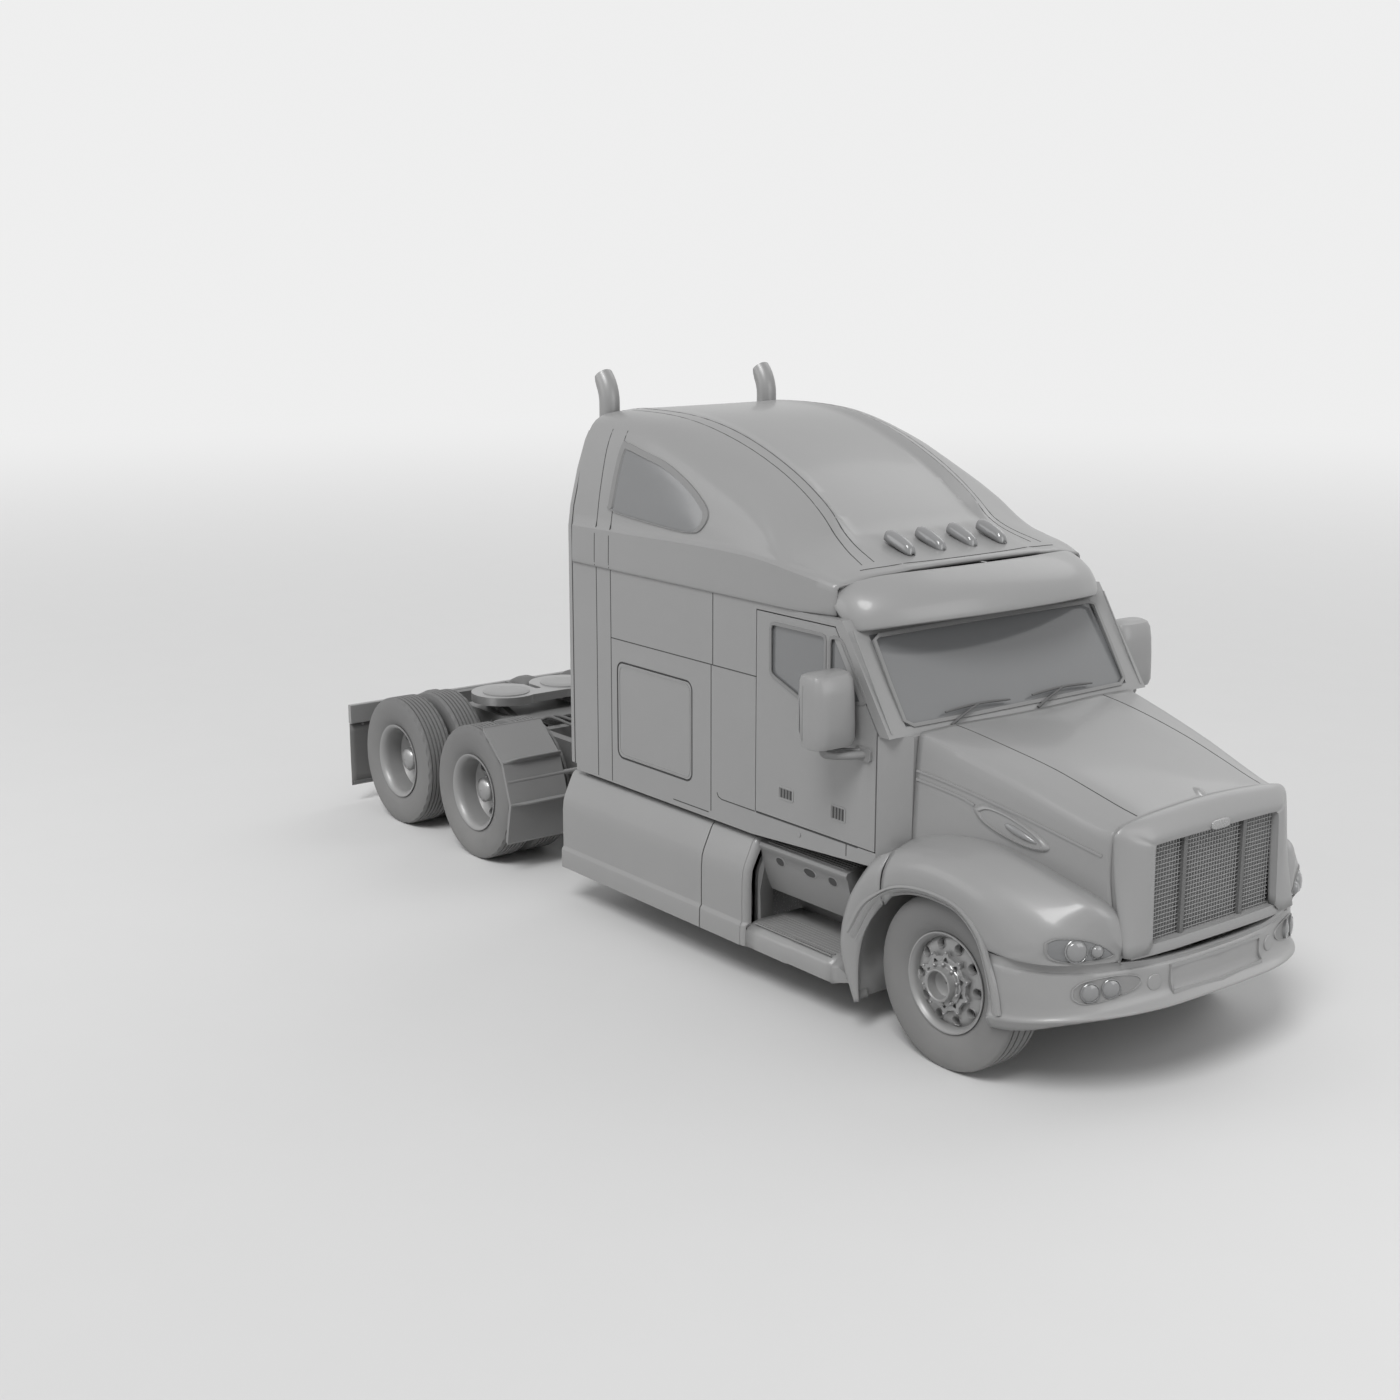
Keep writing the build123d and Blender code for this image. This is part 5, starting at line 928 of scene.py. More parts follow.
# Mirrors: a swollen housing on two arms
MIRROR_Y = 1.350
MIRROR_SEAM = (
    # shares of the half width and of the height
    (-0.93, 0.03), (-0.995, 0.12), (-1.0, 0.5), (-0.985, 0.85), (-0.90, 0.965), (0.90, 0.965), (0.985, 0.85),
    (1.0, 0.5), (0.995, 0.12), (0.93, 0.03),
)
HOUSING_STATIONS = (
    # height, share of the plan, set back
    (1.828, 0.55, 0.0), (1.838, 0.85, 0.0), (1.875, 0.985, 0.0), (1.96, 1.0, 0.002), (2.06, 1.0, 0.006),
    (2.16, 0.985, 0.012), (2.235, 0.94, 0.020), (2.268, 0.80, 0.026), (2.280, 0.50, 0.030),
)
for side_name, side in SIDES:
    rows = []
    for z, grow, back in HOUSING_STATIONS:
        ring = []
        for a in around(40):
            ex = 0.114 * grow * squared(math.cos(a), 0.62)
            ey = 0.164 * (0.6 + 0.4 * grow) * squared(math.sin(a), 0.55)
            ring.append((-0.822 - back + ex, side * MIRROR_Y + ey, z))
        rows.append(ax(ring))
    piece = Shape().loft(rows).make(f"mirror_housing_{side_name}", f"door_{side_name}", "paint")
    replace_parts(piece, f"mirror_{side_name}")
    rows = []
    for k, x in ((1.0, -0.926), (0.96, -0.943), (0.6, -0.944), (0.1, -0.944)):
        ring = []
        for a in around(40):
            y = side * MIRROR_Y + 0.136 * k * squared(math.cos(a), 0.4)
            ring.append((x, y, 2.052 + 0.185 * k * squared(math.sin(a), 0.4)))
        rows.append(ax(ring))
    Shape().loft(rows).make(f"mirror_glass_{side_name}", f"door_{side_name}", "glass")
    seam = Shape()
    loop = [(side * MIRROR_Y + 0.158 * t, 1.835 + 0.440 * u) for t, u in MIRROR_SEAM]
    seam.tube(ax([(-0.868, y, z) for y, z in loop]), 0.0075, 8, closed=True)
    seam.make(f"mirror_seam_{side_name}", f"door_{side_name}", "moulding")
    arm = Shape()
    low = [
        (-0.815, side * 1.40, 1.855), (-0.805, side * 1.395, 1.800), (-0.79, side * 1.34, 1.780),
        (-0.74, side * 1.25, 1.775), (-0.71, side * 1.16, 1.772), (-0.70, side * 1.135, 1.772),
    ]
    arm.tube(ax(spline(low, 5)), 0.025, 14)
    thin = [
        (-0.87, side * 1.40, 1.85), (-0.87, side * 1.385, 1.81), (-0.86, side * 1.33, 1.80),
        (-0.80, side * 1.24, 1.798), (-0.745, side * 1.175, 1.795), (-0.735, side * 1.135, 1.795),
    ]
    arm.tube(ax(spline(thin, 5)), 0.012, 12)
    foot = [
        (-0.77, 1.735), (-0.66, 1.735), (-0.645, 1.75), (-0.645, 1.80), (-0.66, 1.815), (-0.77, 1.815),
        (-0.785, 1.80), (-0.785, 1.75),
    ]
    arm.prism(ax([(x, side * 1.146, z) for x, z in foot]), ax([(x, side * 1.168, z) for x, z in foot]))
    arm.make(f"mirror_arms_{side_name}", f"door_{side_name}", "moulding")

# Tyres: bulged walls, a bead ring, and a grooved tread with notched shoulders
def tyre_profile(half, grooves, notch):
    """Points (radius, distance along the axle) from the outer bead over the tread to the inner one."""
    wall = [
        # radius, share of the half width
        (0.302, 0.74), (0.312, 0.790), (0.322, 0.800), (0.330, 0.835), (0.348, 0.895), (0.380, 0.962),
        (0.420, 0.993), (0.455, 0.992), (0.482, 0.965), (0.503, 0.925), (0.512, 0.895), (0.522, 0.875),
    ]
    outer = [(r, half * s) for r, s in wall]
    outer += [(0.5275 - notch, half * 0.845), (0.5315 - notch, half * 0.79)]
    tread = [(0.5335 - notch * 0.5, half * 0.74)]
    for place in grooves:
        y = half * place
        tread += [(0.5340, y + 0.0065), (0.5215, y + 0.0045), (0.5215, y - 0.0045), (0.5340, y - 0.0065)]
    tread += [(0.5335 - notch * 0.5, -half * 0.74)]
    inner = [(r, -y) for r, y in reversed(outer)]
    return outer + tread + inner


TYRE_HALF, TYRE_STEPS, NOTCH = 0.140, 132, 0.011


def tyre(centre_x, centre_y, side, grooves, notched):
    """One tyre; side is where its outer wall looks, notched cuts every fourth step of the shoulders."""
    plain = tyre_profile(TYRE_HALF, grooves, 0.0)
    cut_in = tyre_profile(TYRE_HALF, grooves, NOTCH) if notched else plain
    rows = []
    for i in range(TYRE_STEPS):
        a = 2 * math.pi * i / TYRE_STEPS
        profile = cut_in if i % 4 == 3 else plain
        rows.append([(centre_x + r * math.cos(a), centre_y + side * d, HUB_Z + r * math.sin(a)) for r, d in profile])
    rows = [row + [row[0]] for row in rows]
    return Shape().grid(rows, close_along=True)


STEER_GROOVES = (0.56, 0.20, -0.20, -0.56)
DRIVE_GROOVES = (0.62, 0.36, 0.12, -0.12, -0.36, -0.62)
for side_name, side in SIDES:
    made = tyre(AXLE_X, side * STEER_Y, side, STEER_GROOVES, False)
    piece = made.make(f"front_tyre_{side_name}_tread", f"wheel_front_{side_name}", "rubber")
    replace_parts(piece, f"front_tyre_{side_name}")
    for k, drive_x in enumerate(DRIVE_XS, 1):
        made = tyre(drive_x, side * OUTER_Y, side, DRIVE_GROOVES, True)
        made.join(tyre(drive_x, side * INNER_Y, side, DRIVE_GROOVES, True))
        piece = made.make(f"dual_tyres_{k}_{side_name}_tread", f"duals_{k}_{side_name}", "rubber")
        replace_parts(piece, f"dual_tyres_{k}_{side_name}")


def studs(centre, side, count, ring, size, low, high, start):
    """Domed nuts in a ring on a wheel face; low and high are distances along the axle."""
    shape = Shape()
    for i in range(count):
        a = start + 2 * math.pi * i / count
        x, z = centre[0] + ring * math.cos(a), centre[2] + ring * math.sin(a)
        rows = []
        for share, radius in ((0.0, 1.25), (0.12, 1.25), (0.14, 1.0), (0.7, 0.92), (0.9, 0.66), (1.0, 0.2)):
            y = centre[1] + side * (low + (high - low) * share)
            rows.append([(x + size * radius * math.cos(b), y, z + size * radius * math.sin(b)) for b in around(12)])
        shape.loft(rows)
    return shape


def holed_disc(centre, side, rings, holes, ring, hole):
    """A wheel disc from rim to hub with round hand holes; rings are (radius, distance)."""
    shape = Shape()

    def depth(r):
        for (r0, d0), (r1, d1) in zip(rings, rings[1:]):
            if min(r0, r1) <= r <= max(r0, r1):
                return d0 + (d1 - d0) * (r - r0) / (r1 - r0)
        return rings[-1][1]

    outer_r, inner_r = rings[0][0], rings[-1][0]
    steps = 16
    for i in range(holes):
        mid = 2 * math.pi * i / holes
        half = math.pi / holes
        frame_loop = []
        for k in range(steps):
            t = k / steps * 4
            leg, f = int(t), t - int(t)
            corners = ((-half, outer_r), (half, outer_r), (half, inner_r), (-half, inner_r))
            (a0, r0), (a1, r1) = corners[leg], corners[(leg + 1) % 4]
            frame_loop.append((mid + a0 + (a1 - a0) * f, r0 + (r1 - r0) * f))
        loops = []
        for share, lift in (
            (0.0, 0.0), (0.35, 0.0), (0.7, 0.0), (0.88, 0.0), (1.0, 0.006), (1.0, 0.010), (0.96, 0.008),
            (0.95, -0.02),
        ):
            loop = []
            for a, r in frame_loop:
                x, z = r * math.cos(a), r * math.sin(a)
                hx, hz = ring * math.cos(mid), ring * math.sin(mid)
                away = math.hypot(x - hx, z - hz)
                edge_x, edge_z = hx + (x - hx) / away * hole, hz + (z - hz) / away * hole
                if share <= 0.88:
                    px, pz = x + (edge_x - x) * share / 0.95, z + (edge_z - z) * share / 0.95
                else:
                    px, pz = hx + (edge_x - hx) * share, hz + (edge_z - hz) * share
                loop.append((centre[0] + px, centre[1] + side * (depth(math.hypot(px, pz)) + lift), centre[2] + pz))
            loops.append(loop)
        shape.grid(loops, close_across=True)
    return shape


LOBE_TURN, PLATE_STEPS = 0.31, 200


def wheel_face_front(side):
    """Front wheel: rim lips, a holed bowl, a ten-lobed plate with its bolts, and the hub's open cup."""
    centre = (AXLE_X, side * STEER_Y, HUB_Z)
    rim = [
        (0.300, -0.120), (0.306, -0.124), (0.3065, -0.110), (0.296, -0.104), (0.286, -0.10), (0.280, 0.0),
        (0.280, 0.075), (0.288, 0.100), (0.297, 0.108), (0.306, 0.112), (0.3065, 0.122), (0.298, 0.122),
        (0.290, 0.114), (0.280, 0.104), (0.272, 0.080), (0.268, 0.0), (0.270, -0.09), (0.284, -0.112),
    ]
    shape = Shape().lathe(rim, centre, side, 96, closed=True)
    outside = ((0.272, 0.062), (0.245, 0.080), (0.205, 0.086), (0.160, 0.084))
    inside = ((0.272, 0.050), (0.245, 0.066), (0.205, 0.072), (0.160, 0.070))
    for rings in (outside, inside):
        shape.join(holed_disc(centre, side, rings, 10, 0.232, 0.031))
    shape.lathe(
        [(0.165, 0.060), (0.165, 0.100), (0.150, 0.104), (0.120, 0.104), (0.120, 0.060)], centre, side, 80,
        closed=True,
    )
    hub = [
        (0.118, 0.095), (0.118, 0.128), (0.112, 0.134), (0.104, 0.136), (0.101, 0.150), (0.101, 0.178),
        (0.098, 0.184),
        (0.090, 0.186), (0.084, 0.180), (0.082, 0.150), (0.078, 0.122), (0.060, 0.112), (0.030, 0.109),
        (0.006, 0.108),
    ]
    shape.lathe(hub, centre, side, 80)
    plate = Shape()
    x, y, z = centre
    rows = []
    for reach, grow in ((0.100, 1.0), (0.116, 1.0), (0.120, 0.985), (0.120, 0.80)):
        row = []
        for i in range(PLATE_STEPS):
            a = 2 * math.pi * i / PLATE_STEPS
            lobe = max(0.0, math.cos(10 * (a - LOBE_TURN))) ** 1.6
            r = (0.166 + 0.032 * lobe) * grow
            row.append((x + r * math.cos(a), y + side * reach, z + r * math.sin(a)))
        rows.append(row)
    plate.grid(rows, close_across=True)
    rows = []
    for reach, r in ((0.118, 0.138), (0.130, 0.138), (0.134, 0.134), (0.134, 0.098)):
        row = []
        for i in range(60):
            a = 2 * math.pi * i / 60
            flat = math.cos(math.pi / 10) / math.cos((a - LOBE_TURN + math.pi / 10) % (math.pi / 5) - math.pi / 10)
            row.append((x + r * flat * math.cos(a), y + side * reach, z + r * flat * math.sin(a)))
        rows.append(row)
    plate.grid(rows, close_across=True)
    for ring, size, low, high in ((0.188, 0.0085, 0.116, 0.130), (0.121, 0.0125, 0.130, 0.152)):
        plate.join(studs(centre, side, 10, ring, size, low, high, LOBE_TURN))
    return shape, plate


def wheel_face_dual(x, side):
    """Twin drive wheels: two rims, the outer one dished in to the hub's dome and its ring of nuts."""
    shape = Shape()
    for y, look in ((OUTER_Y, 1), (INNER_Y, -1)):
        centre = (x, side * y, HUB_Z)
        rim = [
            (0.300, -0.120), (0.306, -0.124), (0.3065, -0.110), (0.292, -0.10), (0.282, 0.0), (0.282, 0.088),
            (0.292, 0.104), (0.306, 0.112), (0.3065, 0.122), (0.298, 0.122), (0.284, 0.112), (0.268, 0.095),
            (0.262, 0.05), (0.258, -0.06), (0.264, -0.10), (0.284, -0.114),
        ]
        shape.lathe(rim, centre, side * look, 96, closed=True)
    outer = (x, side * OUTER_Y, HUB_Z)
    dish = ((0.262, -0.055), (0.235, -0.085), (0.200, -0.105), (0.150, -0.112))
    shape.join(holed_disc(outer, side, dish, 10, 0.214, 0.026))
    shape.lathe(
        [(0.152, -0.13), (0.152, -0.105), (0.140, -0.100), (0.118, -0.098), (0.118, -0.13)], outer, side, 80,
        closed=True,
    )
    shape.join(holed_disc((x, side * INNER_Y, HUB_Z), -side, dish, 10, 0.214, 0.026))
    dome = Shape()
    dome.lathe(
        [
            (0.116, -0.11), (0.116, -0.082), (0.110, -0.076), (0.100, -0.074), (0.096, -0.070), (0.094, 0.010),
            (0.090, 0.022),
            (0.078, 0.034), (0.055, 0.044), (0.028, 0.049), (0.004, 0.050),
        ],
        outer, side, 72,
    )
    for ring, size, low, high, count in ((0.137, 0.0125, -0.100, -0.066, 10), (0.104, 0.006, -0.076, -0.062, 12)):
        dome.join(studs(outer, side, count, ring, size, low, high, 0.1))
    return shape, dome


for side_name, side in SIDES:
    shape, plate = wheel_face_front(side)
    piece = shape.make(f"front_wheel_{side_name}_rim", f"wheel_front_{side_name}", "wheel")
    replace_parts(piece, f"front_wheel_{side_name}")
    plate.make(f"front_hub_plate_{side_name}", f"wheel_front_{side_name}", "steel")
    for k, drive_x in enumerate(DRIVE_XS, 1):
        shape, dome = wheel_face_dual(drive_x, side)
        piece = shape.make(f"dual_wheels_{k}_{side_name}_rims", f"duals_{k}_{side_name}", "wheel")
        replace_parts(piece, f"dual_wheels_{k}_{side_name}")
        dome.make(f"dual_hub_{k}_{side_name}", f"duals_{k}_{side_name}", "steel")


# Rear part of each front fender, fixed behind the hood, with its liner and flap
GUARD_ROWS = (
    (
        (-0.466, 1.200, 0.908), (-0.466, 1.232, 0.985), (-0.466, 1.222, 1.12), (-0.466, 1.150, 1.215),
        (-0.466, 1.05, 1.222),
    ),
    (
        (-0.520, 1.200, 0.845), (-0.560, 1.233, 0.935), (-0.590, 1.224, 1.06), (-0.590, 1.152, 1.150),
        (-0.590, 1.05, 1.158),
    ),
    (
        (-0.585, 1.200, 0.755), (-0.655, 1.233, 0.825), (-0.715, 1.224, 0.91), (-0.730, 1.152, 0.985),
        (-0.730, 1.05, 0.99),
    ),
    (
        (-0.635, 1.200, 0.655), (-0.720, 1.233, 0.700), (-0.790, 1.222, 0.74), (-0.822, 1.152, 0.790),
        (-0.822, 1.05, 0.79),
    ),
    (
        (-0.665, 1.200, 0.540), (-0.748, 1.232, 0.550), (-0.815, 1.220, 0.565), (-0.848, 1.150, 0.590),
        (-0.848, 1.05, 0.59),
    ),
    (
        (-0.675, 1.200, 0.430), (-0.742, 1.228, 0.425), (-0.790, 1.212, 0.43), (-0.815, 1.145, 0.440),
        (-0.815, 1.06, 0.44),
    ),
    (
        (-0.674, 1.198, 0.320), (-0.712, 1.220, 0.315), (-0.742, 1.204, 0.315), (-0.755, 1.140, 0.320),
        (-0.755, 1.07, 0.32),
    ),
    (
        (-0.668, 1.195, 0.222), (-0.690, 1.208, 0.216), (-0.700, 1.196, 0.215), (-0.705, 1.135, 0.216),
        (-0.705, 1.08, 0.216),
    ),
)
guard_rows = smooth_rows([ax(flip(row)) for row in creased(GUARD_ROWS, (3,))], 4, 3)
guard = Shape().grid(guard_rows)
arc = np.linspace(math.radians(128), math.radians(188), 16)
liner = [(-0.040 + 0.715 * math.cos(a), 1.195, 0.500 + 0.715 * math.sin(a)) for a in arc]
liner += [(-0.742, 1.195, 0.36), (-0.722, 1.19, 0.222)]
liner = [ax([(x, -outer_y, z), (x, -0.93, z), (x, -0.665, z)]) for x, outer_y, z in liner]
guard.grid(liner).mirrored()
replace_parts(guard.make("rear_mudguard_shells", "chassis", "paint", thick=0.010, offset=0.0), "rear_mudguards")

# Seams, gaskets and vents on the cab's flat sides; the seam lines, the hatch's gap line and the vent slots are
# near-black painted shade
SIDE_SEAMS = (
    ((-3.515, 1.035), (-3.515, 2.548)),
    ((-3.343, 1.032), (-3.343, 2.068), (-3.343, 2.548)),
    ((-3.343, 2.070), (-2.80, 2.070), (-2.20, 2.070), (-1.742, 2.070)),
    ((-2.205, 1.075), (-2.205, 2.066)),
    ((-2.188, 2.074), (-2.188, 2.548)),
    ((-2.140, 1.215), (-2.125, 1.190), (-2.09, 1.178), (-1.745, 1.178)),
    ((-1.730, 1.176), (-1.20, 1.176), (-0.760, 1.176)),
    ((-0.862, 1.172), (-0.862, 1.098)),
    ((-2.62, 1.060), (-2.23, 1.060)),
)
# Near-black strips along the panel gaps: painted shade.
seams = Shape()
for path in SIDE_SEAMS:
    seams.strip(ax([(x, -CAB_HALF, z) for x, z in path]), 0.0075, 0.0012, (0, -1, 0))
seams.mirrored().make("cab_seams", "chassis", "seam")


def rounded_loop(x0, x1, z0, z1, r, steps=6):
    """A rectangle with round corners."""
    loop = []
    for cx, cz, start in ((x1 - r, z1 - r, 0), (x0 + r, z1 - r, 90), (x0 + r, z0 + r, 180), (x1 - r, z0 + r, 270)):
        for k in range(steps + 1):
            a = math.radians(start + 90 * k / steps)
            loop.append((cx + r * math.cos(a), cz + r * math.sin(a)))
    return loop


def on_side(side, points, proud=0.0):
    """Points (x, z) on the cab's flat side."""
    return ax([(x, side * CAB_HALF + side * proud, z) for x, z in points])


CORNER_CUT = 0.035
VENTS = ((-1.503, -1.365, 1.322, 1.400), (-1.006, -0.875, 1.303, 1.396))
for side_name, side in SIDES:
    outward = (0, side, 0)
    bead = on_side(side, rounded_loop(-3.246, -2.436, 1.248, 1.890, 0.056))
    bead = Shape().strip(bead, 0.010, 0.003, outward, closed=True)
    bead.make(f"hatch_bead_{side_name}", f"hatch_{side_name}", "paint")
    # A near-black line round the hatch: painted shade in its gap.
    edge = on_side(side, rounded_loop(-3.2715, -2.4105, 1.2225, 1.9155, 0.0645))
    edge = Shape().strip(edge, 0.008, 0.0012, outward, closed=True)
    edge.make(f"hatch_gap_shade_{side_name}", "chassis", "seam")
    panes = (
        ((-1.600, 2.440), (-1.600, 2.110), (-1.260, 1.985), (-1.080, 1.985), (-1.080, 2.440)),
        ((-1.040, 2.440), (-1.040, 2.025), (-0.700, 2.085), (-0.935, 2.440)),
    )
    gasket = Shape()
    for pane in panes:
        loop = []
        for i, p in enumerate(pane):
            p, before, after = np.array(p), np.array(pane[i - 1]), np.array(pane[(i + 1) % len(pane)])
            a = p + (before - p) / np.linalg.norm(before - p) * CORNER_CUT
            b = p + (after - p) / np.linalg.norm(after - p) * CORNER_CUT
            loop += [a, 0.25 * a + 0.5 * p + 0.25 * b, b]
        gasket.strip(on_side(side, loop), 0.022, 0.005, outward, closed=True)
    gasket.make(f"door_window_gaskets_{side_name}", f"door_{side_name}", "moulding")
    vents = Shape()
    slots = Shape()
    for x0, x1, z0, z1 in VENTS:
        vents.strip(on_side(side, rounded_loop(x0, x1, z0, z1, 0.014, 4)), 0.009, 0.004, outward, closed=True)
        width = (x1 - x0 - 0.02) / 4
        for k in range(4):
            xa = x0 + 0.010 + k * width + 0.004
            xb = xa + width - 0.009
            slot = ((xa, z0 + 0.010), (xb, z0 + 0.010), (xb, z1 - 0.010), (xa, z1 - 0.010))
            # Near-black slots: painted shade in the vent openings.
            slots.prism(on_side(side, slot, -0.004), on_side(side, slot, 0.0012))
    vents.make(f"door_vent_rims_{side_name}", f"door_{side_name}", "paint", bevel=0.001)
    slots.make(f"door_vent_slot_shade_{side_name}", f"door_{side_name}", "seam", flat=True)
    rows = []
    for reach, size in ((-0.002, 1.0), (0.004, 1.0), (0.005, 0.85), (0.004, 0.3)):
        ring = [(-1.30 + 0.012 * size * math.cos(b), 1.128 + 0.017 * size * math.sin(b)) for b in around(20)]
        rows.append(on_side(side, ring, reach))
    lock = Shape().loft(rows)
    lock.make(f"sill_lock_{side_name}", "chassis", "steel")

# Windscreen gasket and pillar beads, laid on the slanted frame
SCREEN_LOW = (-0.500, 1.905)
SCREEN_SLOPE = 0.400 / 0.645
SCREEN_OUT = (0.85, 0, 0.53)


def on_screen(y, z, proud):
    x = SCREEN_LOW[0] - (z - SCREEN_LOW[1]) * SCREEN_SLOPE
    return (x + proud * SCREEN_OUT[0], y, z + proud * SCREEN_OUT[2])


SCREEN_LOOP = (
    (-0.93, 1.953), (-0.5, 1.950), (0.0, 1.950), (0.5, 1.950), (0.93, 1.953), (0.985, 1.985), (0.989, 2.2),
    (0.985, 2.43), (0.94, 2.452), (0.5, 2.455), (0.0, 2.456), (-0.5, 2.455), (-0.94, 2.452), (-0.985, 2.43),
    (-0.989, 2.2), (-0.985, 1.985),
)
PILLAR_Y = 1.118
screen_path = ax([on_screen(y, z, 0.001) for y, z in SCREEN_LOOP])
gasket = Shape().strip(screen_path, 0.026, 0.006, SCREEN_OUT, closed=True)
gasket.make("windscreen_gasket", "chassis", "moulding")
pillar_path = ax([on_screen(-PILLAR_Y, z, 0.001) for z in (1.93, 2.1, 2.3, 2.50)])
Shape().strip(pillar_path, 0.010, 0.004, SCREEN_OUT).mirrored().make("pillar_beads", "chassis", "paint")

# Wipers: arms and curved blades
BLADE_LENGTH = 0.56
BLADE_RADII = [0.006, 0.008, 0.009, 0.009, 0.009, 0.009, 0.009, 0.008, 0.006]
wipe = Shape()
for y0 in (-0.66, 0.10):
    along = np.linspace(0, 1, len(BLADE_RADII))
    blade = [on_screen(y0 + t * BLADE_LENGTH, 1.985 + 0.012 * math.sin(math.pi * t), 0.017) for t in along]
    wipe.tube(ax(blade), BLADE_RADII, 8)
    arm = [on_screen(y0 + 0.02, 1.914, 0.010), on_screen(y0 + 0.12, 1.950, 0.026), on_screen(y0 + 0.28, 1.994, 0.026)]
    wipe.tube(ax(arm), [0.010, 0.008, 0.006], 8)
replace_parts(wipe.make("wiper_arms_blades", "chassis", "flap"), "wipers")

# Hood: lengthwise lines, mouldings by the cowl, side pods with their lamps
hood_tree = tree_of(hood_rows)
HOOD_LINE = ((-0.44, 0.66), (-0.1, 0.64), (0.3, 0.60), (0.6, 0.575), (0.87, 0.55))
# The lengthwise lines are near-black strips: painted shade along the hood's creases.
lines = Shape()
for side in (-1, 1):
    path = spline([(x, side * y) for x, y in HOOD_LINE], 5)
    lines.strip(top_path(hood_tree, path, OVER_HOOD_Z), 0.006, 0.0015, (0.2, 0, 1))
lines.make("hood_seams", "hood", "seam")
trim = Shape()
for path in (
    [
        (-0.445, 1.70), (-0.30, 1.682), (-0.12, 1.655), (0.10, 1.615), (0.30, 1.575), (0.52, 1.525), (0.70, 1.480),
        (0.82, 1.448),
    ],
    [(-0.445, 1.648), (-0.33, 1.636), (-0.20, 1.618), (-0.10, 1.600), (-0.02, 1.575)],
):
    trim.strip(side_path(hood_tree, spline(path, 4)), 0.016, 0.007, (0, -1, 0.1))
trim.mirrored().make("hood_side_mouldings", "hood", "paint")
POD = (
    (-0.02, 1.560), (0.06, 1.590), (0.20, 1.570), (0.36, 1.515), (0.46, 1.460), (0.49, 1.420), (0.44, 1.398),
    (0.30, 1.412), (0.14, 1.455), (0.02, 1.510),
)
pod_loop = closed_outline(POD)
pod_middle = pod_loop.mean(0)
pod_rings = []
POD_RINGS = (
    # size, distance proud: the rounded rim, then the recess inwards
    (1.03, -0.004), (1.0, 0.010), (0.93, 0.020), (0.86, 0.022), (0.82, 0.012), (0.5, 0.014), (0.15, 0.015),
)
for size, proud in POD_RINGS:
    spots = [pod_middle + (p - pod_middle) * size for p in pod_loop]
    pod_rings.append([from_side(hood_tree, x, z, proud) for x, z in spots])
pod = Shape().grid(pod_rings, close_across=True)
pod.cap(pod_rings[-1]).mirrored()
pod.make("hood_side_pods", "hood", "paint")
SIDE_LAMP_STATIONS = (
    # share of the length, rise off the pod, half height
    (0.0, 0.08, 0.12), (0.08, 0.6, 0.7), (0.3, 1.0, 1.0), (0.6, 0.95, 0.9), (0.85, 0.7, 0.6), (0.97, 0.3, 0.3),
    (1.0, 0.06, 0.08),
)
rows = []
for t, rise, up in SIDE_LAMP_STATIONS:
    base = from_side(hood_tree, 0.20 + 0.22 * t, 1.508 - 0.068 * t, 0.012)
    arc = np.linspace(0, math.pi, 11)
    rows.append([base + Vector((0, -0.020 * rise * math.sin(b), 0.026 * up * math.cos(b))) for b in arc])
Shape().grid(rows).mirrored().make("hood_side_lamps", "hood", "lens")

# Exhaust stacks: clamped pipes with a curved tip cut on the slant
STACK_X, STACK_Y, STACK_BEND, LEAN = -3.930, -0.730, 0.260, math.radians(46)
path = [(STACK_X, STACK_Y, z) for z in (0.80, 1.6, 2.4, 3.2, 3.64)]
for degrees in (8, 16, 24, 32, 40, 46):
    a = math.radians(degrees)
    path.append((STACK_X - STACK_BEND * (1 - math.cos(a)), STACK_Y, 3.64 + STACK_BEND * math.sin(a)))
leans = [LEAN * max(0, k - 4) / 6 for k in range(len(path))]


def stack_ring(spot, lean, radius, rear_x):
    """A ring of the pipe, square to it, and flat where it would pass rear_x."""
    across = Vector((math.cos(lean), 0, math.sin(lean)))
    ring = []
    for b in around(40):
        p = Vector(spot) + radius * (math.cos(b) * across + math.sin(b) * Vector((0, 1, 0)))
        p.x = max(p.x, rear_x)
        ring.append(tuple(p))
    return ax(ring)


stacks = Shape().loft([stack_ring(spot, lean, 0.074, -4.006) for spot, lean in zip(path, leans)])
# A near-black sleeve just inside each slanted tip: painted shade in the open pipe end.
mouth = Shape().loft([stack_ring(spot, lean, 0.064, -4.0075) for spot, lean in list(zip(path, leans))[5:-1]])
mouth.mirrored().make("exhaust_mouth_shade", "chassis", "seam")
for z in (1.10, 1.51, 2.39, 3.36):
    clamp = [
        (0.073, z - 0.022), (0.077, z - 0.020), (0.0775, z - 0.012), (0.075, z - 0.004), (0.0775, z + 0.004),
        (0.0775, z + 0.018), (0.073, z + 0.022),
    ]
    rings = [ax([(STACK_X + r * math.cos(b), STACK_Y + r * math.sin(b), h) for b in around(40)]) for r, h in clamp]
    stacks.grid(rings, close_across=True)
for z in (1.51, 2.39):
    stacks.box((AXLE_X - 3.930, -0.765, z - 0.030), (AXLE_X - 3.796, -0.695, z + 0.030))
stacks.box((AXLE_X - 3.965, -0.728, 0.802), (AXLE_X - 3.895, -0.434, 0.872))
stacks.mirrored()
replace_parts(stacks.make("exhaust_pipes", "chassis", "wheel"), "exhaust_stacks")

# Side fairings: a tank skirt with rounded ridge, a split panel, a rolled front end and a stepped sill
FAIRING_LOOP = (
    (1.212, 0.268), (1.232, 0.272), (1.233, 0.300), (1.231, 0.395), (1.229, 0.408), (1.216, 0.424), (1.215, 0.436),
    (1.216, 0.560), (1.215, 0.700), (1.209, 0.772), (1.196, 0.812), (1.165, 0.880), (1.132, 0.950), (1.118, 0.972),
    (1.100, 0.984), (1.075, 0.985), (1.044, 0.985),
)


